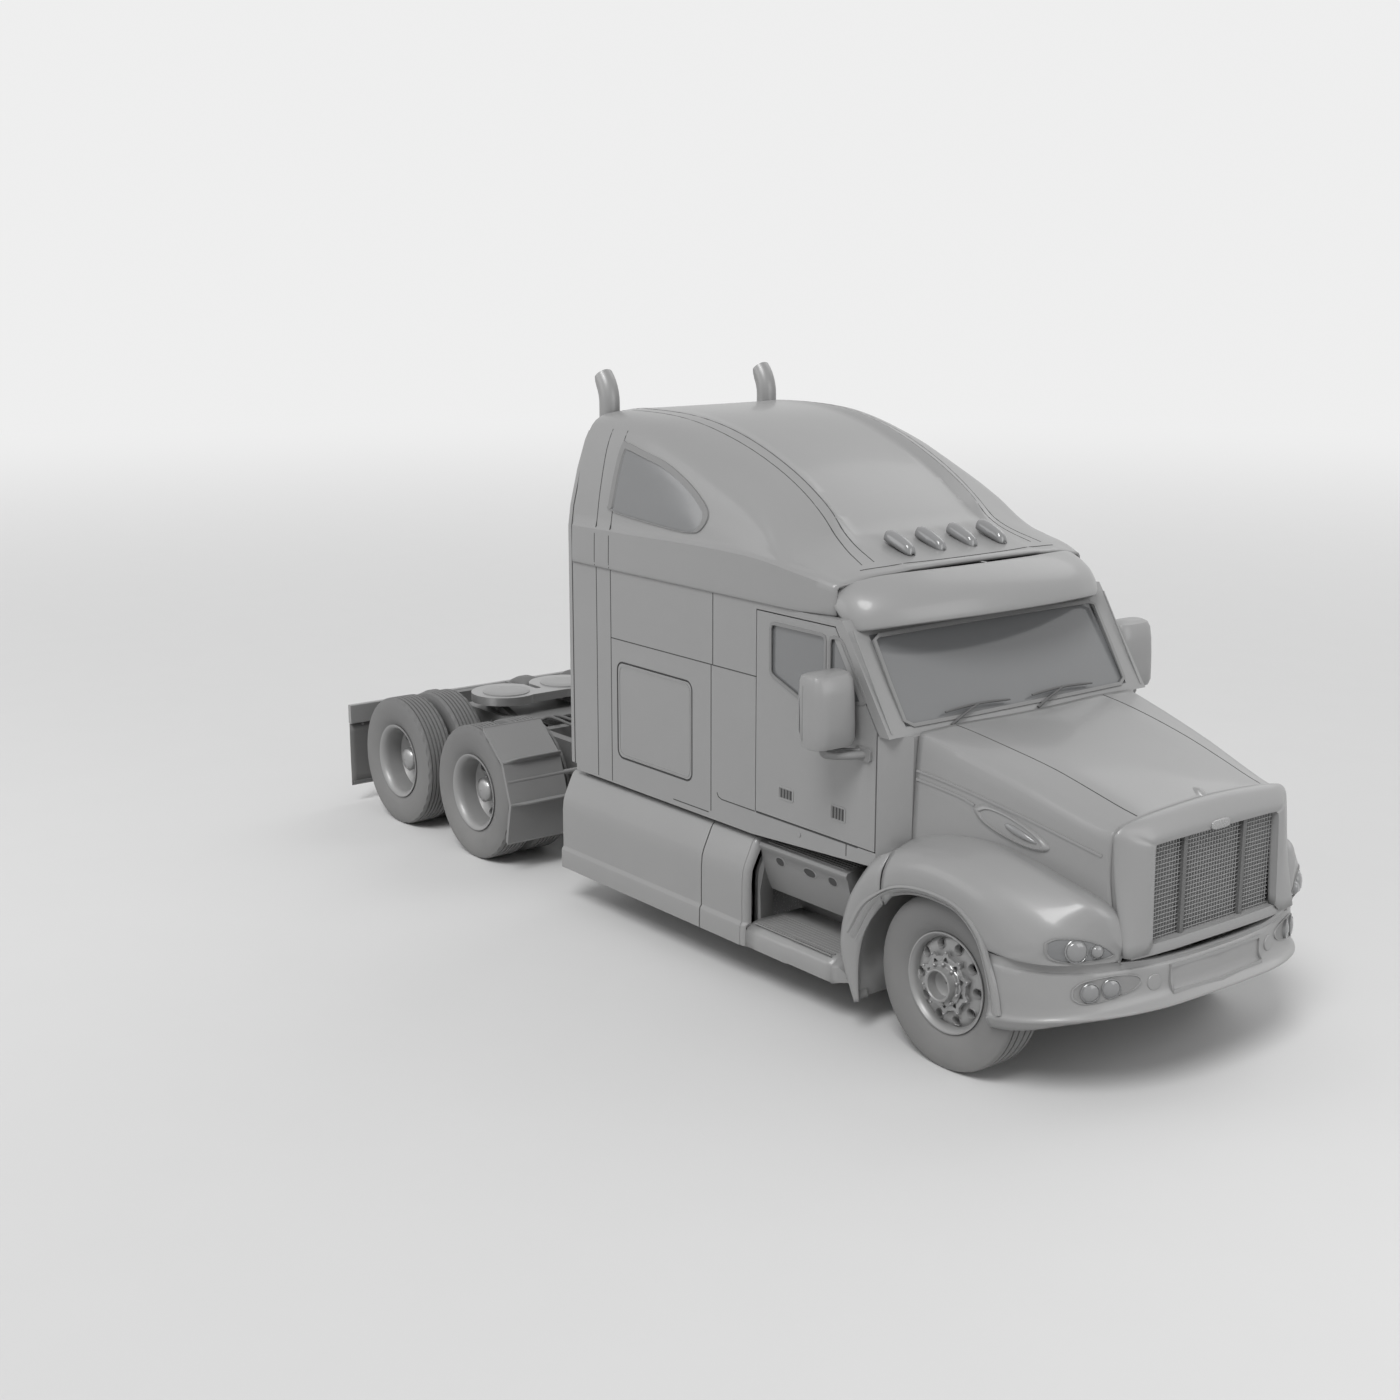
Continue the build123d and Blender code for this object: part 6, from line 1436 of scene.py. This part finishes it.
def fairing_row(x, squeeze=0.0, lower=0.0):
    """The fairing's section at x; squeeze draws it in, lower brings its top down."""
    row = []
    for y, z in FAIRING_LOOP:
        row.append((x, -(y - squeeze * max(0.0, (z - 0.26) / 0.72) ** 0.5), z - lower * max(0.0, (z - 0.78) / 0.2)))
    return ax(row)


for index, (x0, x1) in enumerate(((-3.882, -2.226), (-2.214, -1.790)), 1):
    panel = Shape()
    rows = [fairing_row(x0 + step) for step in (0.0, 0.001, 0.006)]
    rows += [fairing_row(x0 + (x1 - x0) * t) for t in (0.1, 0.3, 0.5, 0.7, 0.9)]
    rows += [fairing_row(x1 - step) for step in (0.006, 0.001, 0.0)]
    panel.grid(rows)
    if index == 1:
        panel.cap(rows[0] + ax([(x0, -1.044, 0.27)]))
    panel.mirrored()
    made = panel.make(f"fairing_panels_{index}", "chassis", "paint", thick=0.008, offset=0.0)
    if index == 1:
        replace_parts(made, "side_fairings")
nose = Shape()
rows = []
for t in np.linspace(0, 1, 10):
    a = t * math.pi / 2
    turn = 1 - math.cos(a)
    row = []
    for y, z in FAIRING_LOOP:
        inward = 0.045 * turn * (1.0 if z > 0.42 else 0.35)
        row.append((-1.787 + 0.040 * math.sin(a), -(y - inward), z - 0.030 * turn * max(0.0, (z - 0.78) / 0.2)))
    rows.append(ax(row))
last_row = rows[-1]
rows.append([(x, y + 0.05, z - 0.01) for x, y, z in last_row])
nose.grid(rows).cap(last_row + ax([(-1.747, -1.0, 0.94), (-1.747, -0.98, 0.30)]))
nose.mirrored().make("fairing_noses", "chassis", "paint", thick=0.006, offset=0.0)
splits = Shape()
splits.grid([fairing_row(x, 0.006, 0.004) for x in (-2.232, -2.208)])
splits.mirrored().make("fairing_split_shadow", "chassis", "seam")
tray = Shape().box((AXLE_X - 3.86, -1.19, 0.30), (AXLE_X - 1.80, -1.06, 0.33)).mirrored()
tray.make("fairing_trays", "chassis", "chassis", bevel=0.003)

# Cab steps: upper tread with its holed face, lower tread with a notch
UPPER_STEP = (
    (0.705, 0.962), (1.070, 0.966), (1.098, 0.960), (1.108, 0.944), (1.104, 0.926), (1.094, 0.915), (1.076, 0.840),
    (1.030, 0.700), (1.000, 0.628), (0.985, 0.622), (0.735, 0.622), (0.735, 0.50), (0.735, 0.432),
)
rows = [ax([(x, -y, z) for y, z in UPPER_STEP]) for x in np.linspace(-1.744, -0.903, 12)]
steps = Shape().grid(rows)
for row in (rows[0], rows[-1]):
    steps.cap(row + [(row[0][0], -0.705, 0.43)])
steps.mirrored()
made = steps.make("step_boxes", "chassis", "moulding", thick=0.006, offset=0.0)
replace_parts(made, "cab_steps")
STEP_HOLES = ((-1.56, 0.040), (-1.27, 0.056), (-1.05, 0.040))
HOLE_Z = 0.868


def step_hole(x, half_width, half_height, push, rise=0.0):
    """A long round ring on the slanted face between the treads."""
    ring = []
    for b in around(24):
        z = HOLE_Z + half_height * math.sin(b)
        y = 1.094 - (0.915 - z) * 0.24
        ring.append((x + half_width * squared(math.cos(b), 0.8), -(y + push), z + rise))
    return ax(ring)


holes = Shape()
dark = Shape()
for x, w in STEP_HOLES:
    rims = ((1.25, 0.001), (1.2, 0.006), (1.02, 0.007), (0.95, 0.002))
    holes.grid([step_hole(x, w * size, 0.028 * size, push, push * 0.2) for size, push in rims], close_across=True)
    # A near-black cap fills each hole: painted shade in the opening.
    dark.cap(step_hole(x, w * 0.97, 0.027, 0.0035))
holes.mirrored().make("step_hole_rims", "chassis", "moulding")
dark.mirrored().make("step_hole_shade", "chassis", "seam", flat=True)
treads = Shape()
for z0, y0, y1 in ((0.968, 0.80, 1.085), (0.434, 0.92, 1.19)):
    for k in range(9):
        y = y0 + (y1 - y0) * (k + 0.5) / 9
        treads.strip(ax([(x, -y, z0 - 0.0005) for x in np.linspace(-1.70, -0.95, 8)]), 0.012, 0.004, (0, 0, 1))
treads.mirrored().make("step_tread_ribs", "chassis", "moulding")
SILL = (
    (1.205, 0.272), (1.219, 0.276), (1.220, 0.300), (1.218, 0.372), (1.208, 0.392), (1.150, 0.425), (1.120, 0.432),
    (0.74, 0.432), (0.735, 0.40),
)
NOTCH_X, SILL_INSET = -1.33, 0.010
rows = []
for x in (-1.742, -1.60, -1.40, -1.345, -1.325, -1.305, -1.22, -1.18, -1.00, -0.905):
    inset = SILL_INSET if x > NOTCH_X else 0.0
    rows.append(ax([(x, -(y - inset if y > 1.1 else y), z) for y, z in SILL]))
toe = []
for k, (x, up) in enumerate(((-0.905, 0.0), (-0.86, 0.012), (-0.81, 0.020), (-0.765, 0.024))):
    row = [(x, -y, z + up) for y, z in SILL]
    toe.append(ax([(x, y * (1.0 - 0.02 * k), min(z, 0.430 - 0.045 * k) if z > 0.38 else z) for x, y, z in row]))
sill = Shape().grid(rows).grid(toe).cap(toe[-1])
sill.mirrored().make("step_sills", "chassis", "paint", thick=0.008, offset=0.0)
brackets = Shape()
for rear_x, front_x in ((-1.73, -1.67), (-1.0, -0.94)):
    brackets.box((AXLE_X + rear_x, -0.70, 0.625), (AXLE_X + front_x, -0.434, 0.665))
brackets.mirrored().make("step_brackets", "chassis", "chassis", bevel=0.004)

# Roof seams: double uprights at the rear, long seams over the dome, and the panel's edges
# Every line here is a near-black strip: painted shade in the roof's seams.
roof_lines = Shape()
for x in (-3.515, -3.343):
    path = side_path(roof_tree, [(x, z) for z in np.linspace(2.56, 3.50, 22)])
    half = len(path) // 2
    roof_lines.strip(path[: half + 1], 0.007, 0.0012, (0, -1, 0.15))
    roof_lines.strip(path[half:], 0.007, 0.0012, (0, -1, 0.45))
roof_lines.mirrored()
top_lines = Shape()
for points in (
    [
        (-3.76, -0.735), (-3.2, -0.735), (-2.6, -0.72), (-2.1, -0.70), (-1.75, -0.695), (-1.5, -0.71), (-1.3, -0.76),
        (-1.15, -0.80),
    ],
    [
        (-3.70, -0.655), (-3.2, -0.655), (-2.6, -0.64), (-2.1, -0.63), (-1.75, -0.63), (-1.5, -0.64), (-1.3, -0.67),
        (-1.15, -0.70),
    ],
):
    top_lines.strip(top_path(roof_tree, spline(points, 4), OVER_ROOF_Z), 0.006, 0.0012, (0.15, -0.15, 1))
top_lines.mirrored()
roof_lines.join(top_lines)
FRONT_LINE = ((-1.10, -0.86), (-1.05, -0.6), (-1.00, -0.3), (-0.985, 0.0), (-1.00, 0.3), (-1.05, 0.6), (-1.10, 0.86))
roof_lines.strip(top_path(roof_tree, spline(FRONT_LINE, 4), OVER_ROOF_Z), 0.008, 0.0015, (0.2, 0, 1))
roof_lines.make("roof_seams", "chassis", "seam")
BLOCK_Y = -0.985
BLOCK_STATIONS = (
    # share of the length, half width, height
    (0.0, 0.020, 0.004), (0.06, 0.036, 0.020), (0.5, 0.040, 0.026), (0.94, 0.036, 0.022), (1.0, 0.024, 0.004),
)
rows = []
for t, half_w, top in BLOCK_STATIONS:
    arc = np.linspace(0, math.pi, 9)
    x, z = -1.175 + 0.125 * t, 2.752 - 0.03 * t
    rows.append(ax([(x, BLOCK_Y + half_w * math.cos(b), z + top * math.sin(b)) for b in arc]))
Shape().grid(rows).mirrored().make("visor_end_blocks", "chassis", "paint", thick=0.004)

# Side extenders, with a near-black painted shade line along each lip
ext = Shape()
EXT = (
    (1.148, 1.065), (1.149, 1.20), (1.149, 2.0), (1.149, 2.80), (1.128, 2.95), (1.065, 3.20), (0.995, 3.40),
    (0.962, 3.462),
)
rows = []
for x, pull in (
    (-3.793, 0.0), (-3.835, 0.0), (-3.862, 0.002), (-3.872, 0.008), (-3.874, 0.020), (-3.864, 0.028), (-3.80, 0.030),
    (-3.793, 0.030),
):
    rows.append(ax([(x, -(y - pull), z) for y, z in EXT]))
ext.grid(rows, close_along=True)
ext.mirrored()
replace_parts(ext.make("extender_strips", "chassis", "paint"), "side_extenders")
# A near-black strip along each extender: painted shade at the lip.
lips = Shape().strip(ax([(-3.815, -(y + 0.001), z) for y, z in EXT]), 0.008, 0.0015, (0, -1, 0.1))
lips.mirrored().make("extender_lip_shade", "chassis", "seam")

# Quarter fenders: folded sheets with a rolled rib on each bend and gussets at the outer edge
QUARTER_X = DRIVE_XS[0] - AXLE_X
fender = Shape()
FOLD_R, CROSS_TUBE_R = 0.637, 0.603


def about_wheel(radius, degrees):
    """A place (x, z) round the first drive axle."""
    a = math.radians(degrees)
    return QUARTER_X + radius * math.cos(a), HUB_Z + radius * math.sin(a)


folds = [about_wheel(FOLD_R, degrees) for degrees in (66.0, 34.0, 4.0, -26.0)]
rows = []
for (xa, za), (xb, zb) in zip(folds, folds[1:]):
    for t in (0.0, 0.5, 1.0):
        rows.append((xa + (xb - xa) * t, za + (zb - za) * t))
fender.grid([ax([(x, -y, z) for y in (0.722, 0.9, 1.08, 1.243)]) for x, z in rows])
fender.mirrored()
made = fender.make("quarter_fender_sheets", "chassis", "moulding", thick=0.007, offset=0.0, flat=True)
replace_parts(made, "quarter_fenders")
ribs = Shape()
for number, (x, z) in enumerate(folds):
    ribs.tube(ax([(x, -y, z) for y in (0.724, 0.95, 1.241)]), 0.007, 10)
    if number in (1, 2):
        out = Vector((x - QUARTER_X, 0.0, z - HUB_Z)).normalized()
        along = Vector((-out.z, 0.0, out.x))
        rows = []
        for y, reach in ((0.726, 0.042), (0.74, 0.050), (1.10, 0.050), (1.15, 0.038), (1.20, 0.014), (1.238, 0.004)):
            spot = Vector((x, -y, z))
            gusset = (
                (-0.002, 0.010), (reach * 0.8, 0.009), (reach, 0.004), (reach, -0.004), (reach * 0.8, -0.009),
                (-0.002, -0.016),
            )
            rows.append(ax([tuple(spot + out * r + along * w) for r, w in gusset]))
        ribs.loft(rows)
for (xa, za), (xb, zb) in zip(folds, folds[1:]):
    inner = [(QUARTER_X + (x - QUARTER_X) * 0.955, HUB_Z + (z - HUB_Z) * 0.955) for x, z in ((xa, za), (xb, zb))]
    outline = [(xa, za), (xb, zb), inner[1], inner[0]]
    ribs.prism(ax([(x, -1.241, z) for x, z in outline]), ax([(x, -1.236, z) for x, z in outline]))
tube_x, tube_z = about_wheel(CROSS_TUBE_R, 20)
ribs.tube(ax([(tube_x, -y, tube_z) for y in (0.434, 0.7, 1.0, 1.23)]), 0.020, 16)
ribs.mirrored().make("quarter_fender_ribs", "chassis", "moulding")

# Rear crossbar, its hump over the frame, tail lamps and the flaps with their weights
bar = Shape()
BAR = (
    (-4.176, 0.712), (-4.178, 0.716), (-4.178, 0.866), (-4.172, 0.874), (-4.138, 0.874), (-4.132, 0.868),
    (-4.132, 0.712), (-4.138, 0.706), (-4.170, 0.706),
)
rows = [[(x, y, z) for x, z in BAR] for y in np.linspace(-1.222, 1.222, 25)]
bar.loft(rows)
made = bar.make("rear_bar", "chassis", "paint", bevel=0.003)
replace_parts(made, "rear_crossbar")
TAIL_R, TAIL_Z = 0.052, 0.79
TAIL_PROFILE = (
    # place along the vehicle, share of the radius
    (-4.176, 1.10), (-4.181, 1.10), (-4.183, 1.0), (-4.181, 0.92), (-4.185, 0.80), (-4.1885, 0.5), (-4.1895, 0.1),
)
lamps_rear = Shape()
for y in (-0.96, -0.82, -0.68, 0.68, 0.82, 0.96):
    rows = []
    for x, size in TAIL_PROFILE:
        r = TAIL_R * size
        rows.append([(x, y + r * math.cos(b), TAIL_Z + r * math.sin(b)) for b in around(32)])
    lamps_rear.loft(rows)
made = lamps_rear.make("tail_lamps", "chassis", "lens")
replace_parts(made, "lamps")
flaps = Shape()
for side in (-1, 1):
    rows = []
    for z, wave in ((0.704, 0.0), (0.62, 0.001), (0.50, 0.003), (0.38, 0.002), (0.25, -0.001), (0.154, -0.003)):
        rows.append([(-4.160 + wave * math.cos(3 * y), side * y, z) for y in np.linspace(0.625, 1.222, 13)])
    flaps.grid(rows)
made = flaps.make("mudflap_sheets", "chassis", "flap", thick=0.009, offset=0.0)
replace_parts(made, "mudflaps")
weights = Shape()
for side in (-1, 1):
    weights.box((-4.166, side * 0.64, 0.158), (-4.150, side * 1.205, 0.190))
    for y in (0.70, 0.90, 1.10):
        weights.tube([(-4.170, side * y, 0.690), (-4.148, side * y, 0.690)], 0.011, 8)
weights.make("mudflap_weights", "chassis", "steel", bevel=0.002)

# Fifth wheel: two round pads with raised wedges on a plate, cut in at the throat
FIFTH_X = -3.106
NOTCH_TURN = 2.6  # where round each disc the throat cuts in
discs = Shape()
for y0 in (-0.290, 0.290):
    rows = []
    for size, z in ((0.200, 1.056), (0.200, 1.066), (0.192, 1.0715), (0.10, 1.0725), (0.02, 1.0725)):
        row = []
        for b in around(48):
            from_notch = abs(math.atan2(math.sin(b - NOTCH_TURN), math.cos(b - NOTCH_TURN)))
            notch = 0.72 + 0.28 * min(1.0, from_notch / 0.9)
            row.append((FIFTH_X + size * notch * math.cos(b) + 0.02, y0 + size * notch * math.sin(b), z))
        rows.append(row)
    discs.loft(rows)
discs.make("fifth_wheel_discs", "fifth_wheel", "wheel")
WEDGE = (
    (-0.19, 0.01), (-0.04, 0.070), (0.10, 0.068), (0.150, 0.035), (0.155, -0.02), (0.10, -0.050), (-0.06, -0.040),
)
trims = Shape()
for side in (-1, 1):
    path = closed_outline(WEDGE, 5)
    trims.strip(
        [(FIFTH_X + 0.01 + x, side * 0.30 + y, 1.0560) for x, y in path], 0.010, 0.0035, (0, 0, 1), closed=True,
    )
    groove = [(0.235 * math.cos(b), 0.235 * math.sin(b)) for b in around(48)]
    trims.strip([(FIFTH_X + x, side * 0.29 + y, 1.0568) for x, y in groove], 0.006, 0.0028, (0, 0, 1), closed=True)
trims.make("fifth_wheel_pads", "fifth_wheel", "cast")

# Humps where the rear crossbar meets the frame
rows = []
for x, lift in ((-7.16, 0.0), (-7.14, 0.035), (-7.08, 0.062), (-6.98, 0.066), (-6.92, 0.040), (-6.88, 0.0)):
    rows.append(ax([
        (x, -(0.475 + w), 0.868 + lift * (1 - (abs(w) / 0.115) ** 4))
        for w in np.linspace(-0.115, 0.115, 13)
    ]))
Shape().grid(rows).mirrored().make("frame_humps", "chassis", "cast", thick=0.004)

# Seats and bunk: crowned cushions with piped edges and sewn channels on their frames
CHANNEL_DEPTH = 0.010
CUSHION_RINGS = (
    # share of the half sizes, share of the height
    (0.02, 0.0), (0.5, 0.0), (0.88, 0.0), (0.965, 0.07), (1.0, 0.28), (1.0, 0.55), (0.985, 0.74), (0.950, 0.86),
    (0.90, 0.93), (0.80, 0.96), (0.66, 0.98), (0.50, 1.0), (0.34, 1.0), (0.18, 1.0), (0.02, 1.0),
)


def cushion(name, centre, half_u, half_v, height, crown, axes, channels=0, squareness=0.32):
    """A crowned pad; axes are the directions of its length, width and crowned face."""
    u_axis, v_axis, w_axis = (Vector(a) for a in axes)
    shape = Shape()
    rows = []
    count = 72
    for scale, share in CUSHION_RINGS:
        row = []
        for b in around(count):
            c, s = math.cos(b), math.sin(b)
            u = squared(c, squareness)
            v = squared(s, squareness)
            pull = 1.0 - 0.018 * (1 - abs(u) ** 3 * abs(v) ** 3)
            u, v = u * scale * pull, v * scale * pull
            top = max(0.0, (share - 0.86) / 0.14)
            w = height * share * (1 - crown) + height * crown * top * (1 - max(abs(u), abs(v)) ** 2.5)
            if channels and top > 0:
                place = v * channels / 2 * math.pi
                inner = 1 if max(abs(u), abs(v)) < 0.9 else 0
                w -= CHANNEL_DEPTH * top * math.exp(-(math.sin(place) / 0.16) ** 2) * inner
            row.append(Vector(centre) + u_axis * (half_u * u) + v_axis * (half_v * v) + w_axis * w)
        rows.append(row)
    shape.loft(rows)
    piece = shape.make(name, "chassis", "cloth", subdivide=1)
    piping = Shape()
    for ring in (6, 3):
        piping.tube([p + (p - Vector(centre)) * 0.004 for p in rows[ring][::2]], 0.0045, 6, closed=True)
    piping.make(f"{name}_piping", "chassis", "inside")


SEAT_X0 = AXLE_X - 2.090
SEAT_Y = 0.60
FACE_UP, FACE_FRONT = ((1, 0, 0), (0, 1, 0), (0, 0, 1)), ((0, 0, 1), (0, 1, 0), (1, 0, 0))
for side_name, side in SIDES:
    y = side * SEAT_Y
    cushion(f"seat_cushion_{side_name}", (SEAT_X0 + 0.355, y, 1.424), 0.268, 0.254, 0.124, 0.30, FACE_UP, 3)
    cushion(f"seat_back_{side_name}", (SEAT_X0 + 0.006, y, 1.845), 0.300, 0.246, 0.118, 0.35, FACE_FRONT, 3)
    cushion(f"seat_headrest_{side_name}", (SEAT_X0 + 0.010, y, 2.195), 0.052, 0.150, 0.105, 0.35, FACE_FRONT)
cushion("bunk_mattress", (AXLE_X - 3.283, 0.0, 1.962), 0.444, 1.080, 0.136, 0.28, FACE_UP, 9, 0.22)
PEDESTAL = (
    # height, half width: a base, a bellows of four folds and the cushion's pan
    (1.082, 0.198), (1.10, 0.198), (1.12, 0.185), (1.16, 0.180), (1.18, 0.188), (1.20, 0.180), (1.22, 0.188),
    (1.24, 0.180), (1.26, 0.188), (1.28, 0.180), (1.34, 0.180), (1.38, 0.198), (1.41, 0.235), (1.422, 0.238),
)
seat_frames = Shape()
for side in (-1, 1):
    x, y = AXLE_X - 1.775, side * SEAT_Y
    rows = []
    for z, size in PEDESTAL:
        ring = [(size * squared(math.cos(b), 0.3), size * squared(math.sin(b), 0.3)) for b in around(32)]
        rows.append([(x + dx, y + dy, z) for dx, dy in ring])
    seat_frames.loft(rows)
    seat_frames.box((SEAT_X0 + 0.002, y - 0.20, 1.44), (SEAT_X0 + 0.014, y + 0.20, 2.20))
seat_frames.box((AXLE_X - 3.731, -1.088, 1.931), (AXLE_X - 2.835, 1.088, 1.960))
made = seat_frames.make("seat_frames", "chassis", "inside", bevel=0.003)
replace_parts(made, "seats_and_bunk")

# Fine edges on the CAD nodes that stay
for name, width in (
    ("frame", 0.003), ("engine", 0.014), ("radiator", 0.004), ("cab_mounts", 0.004), ("drive_suspension", 0.006),
    ("front_axle", 0.006), ("knuckle_left", 0.004), ("knuckle_right", 0.004), ("fuel_tanks", 0.003),
    ("driveline", 0.004), ("dashboard", 0.012), ("steering_wheel", 0.005), ("windscreen_frame", 0.006),
    ("cowl", 0.008),
    ("fifth_wheel_plate", 0.004), ("fifth_wheel_base", 0.005),
):
    round_edges(nodes[name], width, 40)

# Pipes and covers on the engine, bolts on the frame, and brake pipes behind the cab
fit = Shape()
for y in (-0.30, 0.30):
    fit.tube(
        [(2.05, y, 1.40), (2.3, y, 1.425), (2.6, y * 0.9, 1.425), (2.95, y * 0.75, 1.36), (3.20, y * 0.70, 1.30)],
        0.030, 14,
    )
for k in range(6):
    x = 1.95 + 0.16 * k
    fit.box((x, -0.16, 1.372), (x + 0.10, 0.16, 1.400))
fit.make("engine_pipes_covers", "chassis", "cast", bevel=0.004)
BOLT_R = 0.013
bolts = Shape()
for x in (-4.05, -3.62, -3.10, -2.62, -2.12, -1.60, -1.10, -0.70):
    for z in (0.665, 0.815):
        rows = []
        for reach, size in ((0.4318, 1.0), (0.4405, 1.0), (0.4415, 0.9), (0.4420, 0.3)):
            r = BOLT_R * size
            rows.append([(x + r * math.cos(b), -reach, z + r * math.sin(b)) for b in around(6)])
        bolts.loft(rows)
bolts.mirrored().make("frame_bolts", "chassis", "steel", flat=True)
hoses = Shape()
for y, drop in ((-0.24, 0.0), (-0.16, 0.02), (0.16, 0.01)):
    path = [
        (-0.80, y, 1.16), (-0.92, y, 1.10), (-1.10, y * 1.1, 0.985 - drop), (-1.50, y * 1.2, 0.945),
        (-2.0, y * 1.1, 0.94), (-2.45, y, 0.945), (-2.60, y, 0.90),
    ]
    hoses.tube(spline(path, 5), 0.012, 10)
hoses.make("brake_pipes", "chassis", "flap")

# Floor, lamps and camera
floor_mesh = bpy.data.meshes.new("floor")
floor_build = bmesh.new()
bmesh.ops.create_grid(floor_build, x_segments=2, y_segments=2, size=400.0)
floor_build.to_mesh(floor_mesh)
floor_build.free()
floor = bpy.data.objects.new("floor", floor_mesh)
bpy.context.scene.collection.objects.link(floor)
floor_paint = material("floor_paint", grey(0.62), 0.75, grain=3.0, bump=0.0, vary=0.01)
floor_tree = floor_paint.node_tree
far = floor_tree.nodes.new("ShaderNodeEmission")
far.inputs["Color"].default_value = (0.86, 0.86, 0.86, 1.0)
spot_node = floor_tree.nodes.new("ShaderNodeNewGeometry")
reach_node = floor_tree.nodes.new("ShaderNodeVectorMath")
reach_node.operation = "LENGTH"
floor_tree.links.new(spot_node.outputs["Position"], reach_node.inputs[0])
fade = floor_tree.nodes.new("ShaderNodeMapRange")
fade.interpolation_type = "SMOOTHSTEP"
fade.inputs["From Min"].default_value = 7.0
fade.inputs["From Max"].default_value = 42.0
floor_tree.links.new(reach_node.outputs["Value"], fade.inputs["Value"])
blend = floor_tree.nodes.new("ShaderNodeMixShader")
floor_tree.links.new(fade.outputs["Result"], blend.inputs["Fac"])
floor_tree.links.new(floor_tree.nodes["Principled BSDF"].outputs["BSDF"], blend.inputs[1])
floor_tree.links.new(far.outputs["Emission"], blend.inputs[2])
floor_tree.links.new(blend.outputs["Shader"], floor_tree.nodes["Material Output"].inputs["Surface"])
floor_mesh.materials.append(floor_paint)


def lamp(name, place, aim, size, watts):
    """A rectangular soft light."""
    light = bpy.data.lights.new(name, "AREA")
    light.shape = "RECTANGLE"
    light.size = size
    light.size_y = size * 0.7
    light.energy = watts
    holder = bpy.data.objects.new(name, light)
    holder.location = place
    way = Vector(aim) - Vector(place)
    holder.rotation_euler = way.to_track_quat("-Z", "Y").to_euler()
    bpy.context.scene.collection.objects.link(holder)


lamp("fill_light", (-6.0, -12.0, 8.0), (-0.5, 0.0, 1.2), 10.0, 350)
lamp("front_light", (12.0, 2.0, 6.0), (2.0, 0.0, 1.2), 8.0, 300)


def sun(name, azimuth, elevation, strength, angle):
    """A far light from an azimuth and elevation in degrees."""
    light = bpy.data.lights.new(name, "SUN")
    light.energy = strength
    light.angle = math.radians(angle)
    holder = bpy.data.objects.new(name, light)
    a, e = math.radians(azimuth), math.radians(elevation)
    away = Vector((math.cos(a) * math.cos(e), math.sin(a) * math.cos(e), math.sin(e)))
    holder.rotation_euler = (-away).to_track_quat("-Z", "Y").to_euler()
    bpy.context.scene.collection.objects.link(holder)


sun("key_sun", -62.0, 52.0, 1.9, 24.0)
sun("rim_sun", 95.0, 40.0, 0.45, 40.0)

world = bpy.data.worlds.new("studio")
bpy.context.scene.world = world
world.use_nodes = True
sky = world.node_tree
background = sky.nodes["Background"]
background.inputs["Color"].default_value = (0.80, 0.80, 0.80, 1.0)
background.inputs["Strength"].default_value = 0.5
seen = sky.nodes.new("ShaderNodeBackground")
seen.inputs["Color"].default_value = (0.86, 0.86, 0.86, 1.0)
seen.inputs["Strength"].default_value = 1.0
path = sky.nodes.new("ShaderNodeLightPath")
either = sky.nodes.new("ShaderNodeMath")
either.operation = "MAXIMUM"
sky.links.new(path.outputs["Is Camera Ray"], either.inputs[0])
sky.links.new(path.outputs["Is Glossy Ray"], either.inputs[1])
pick = sky.nodes.new("ShaderNodeMixShader")
sky.links.new(either.outputs["Value"], pick.inputs["Fac"])
sky.links.new(background.outputs["Background"], pick.inputs[1])
sky.links.new(seen.outputs["Background"], pick.inputs[2])
sky.links.new(pick.outputs["Shader"], sky.nodes["World Output"].inputs["Surface"])

camera_data = bpy.data.cameras.new("camera")
camera_data.sensor_width = 36.0
camera_data.lens = 36.0 * FOCAL_PIXELS / FRAME_PIXELS
camera_data.clip_end = 200.0
camera = bpy.data.objects.new("camera", camera_data)
camera.location = CAMERA_AT
ahead = Vector(
    (
        math.cos(CAMERA_PITCH) * math.cos(CAMERA_YAW),
        math.cos(CAMERA_PITCH) * math.sin(CAMERA_YAW),
        math.sin(CAMERA_PITCH),
    )
)
camera.rotation_euler = ahead.to_track_quat("-Z", "Y").to_euler()
bpy.context.scene.collection.objects.link(camera)
bpy.context.scene.camera = camera
bpy.context.scene.view_settings.view_transform = "Standard"
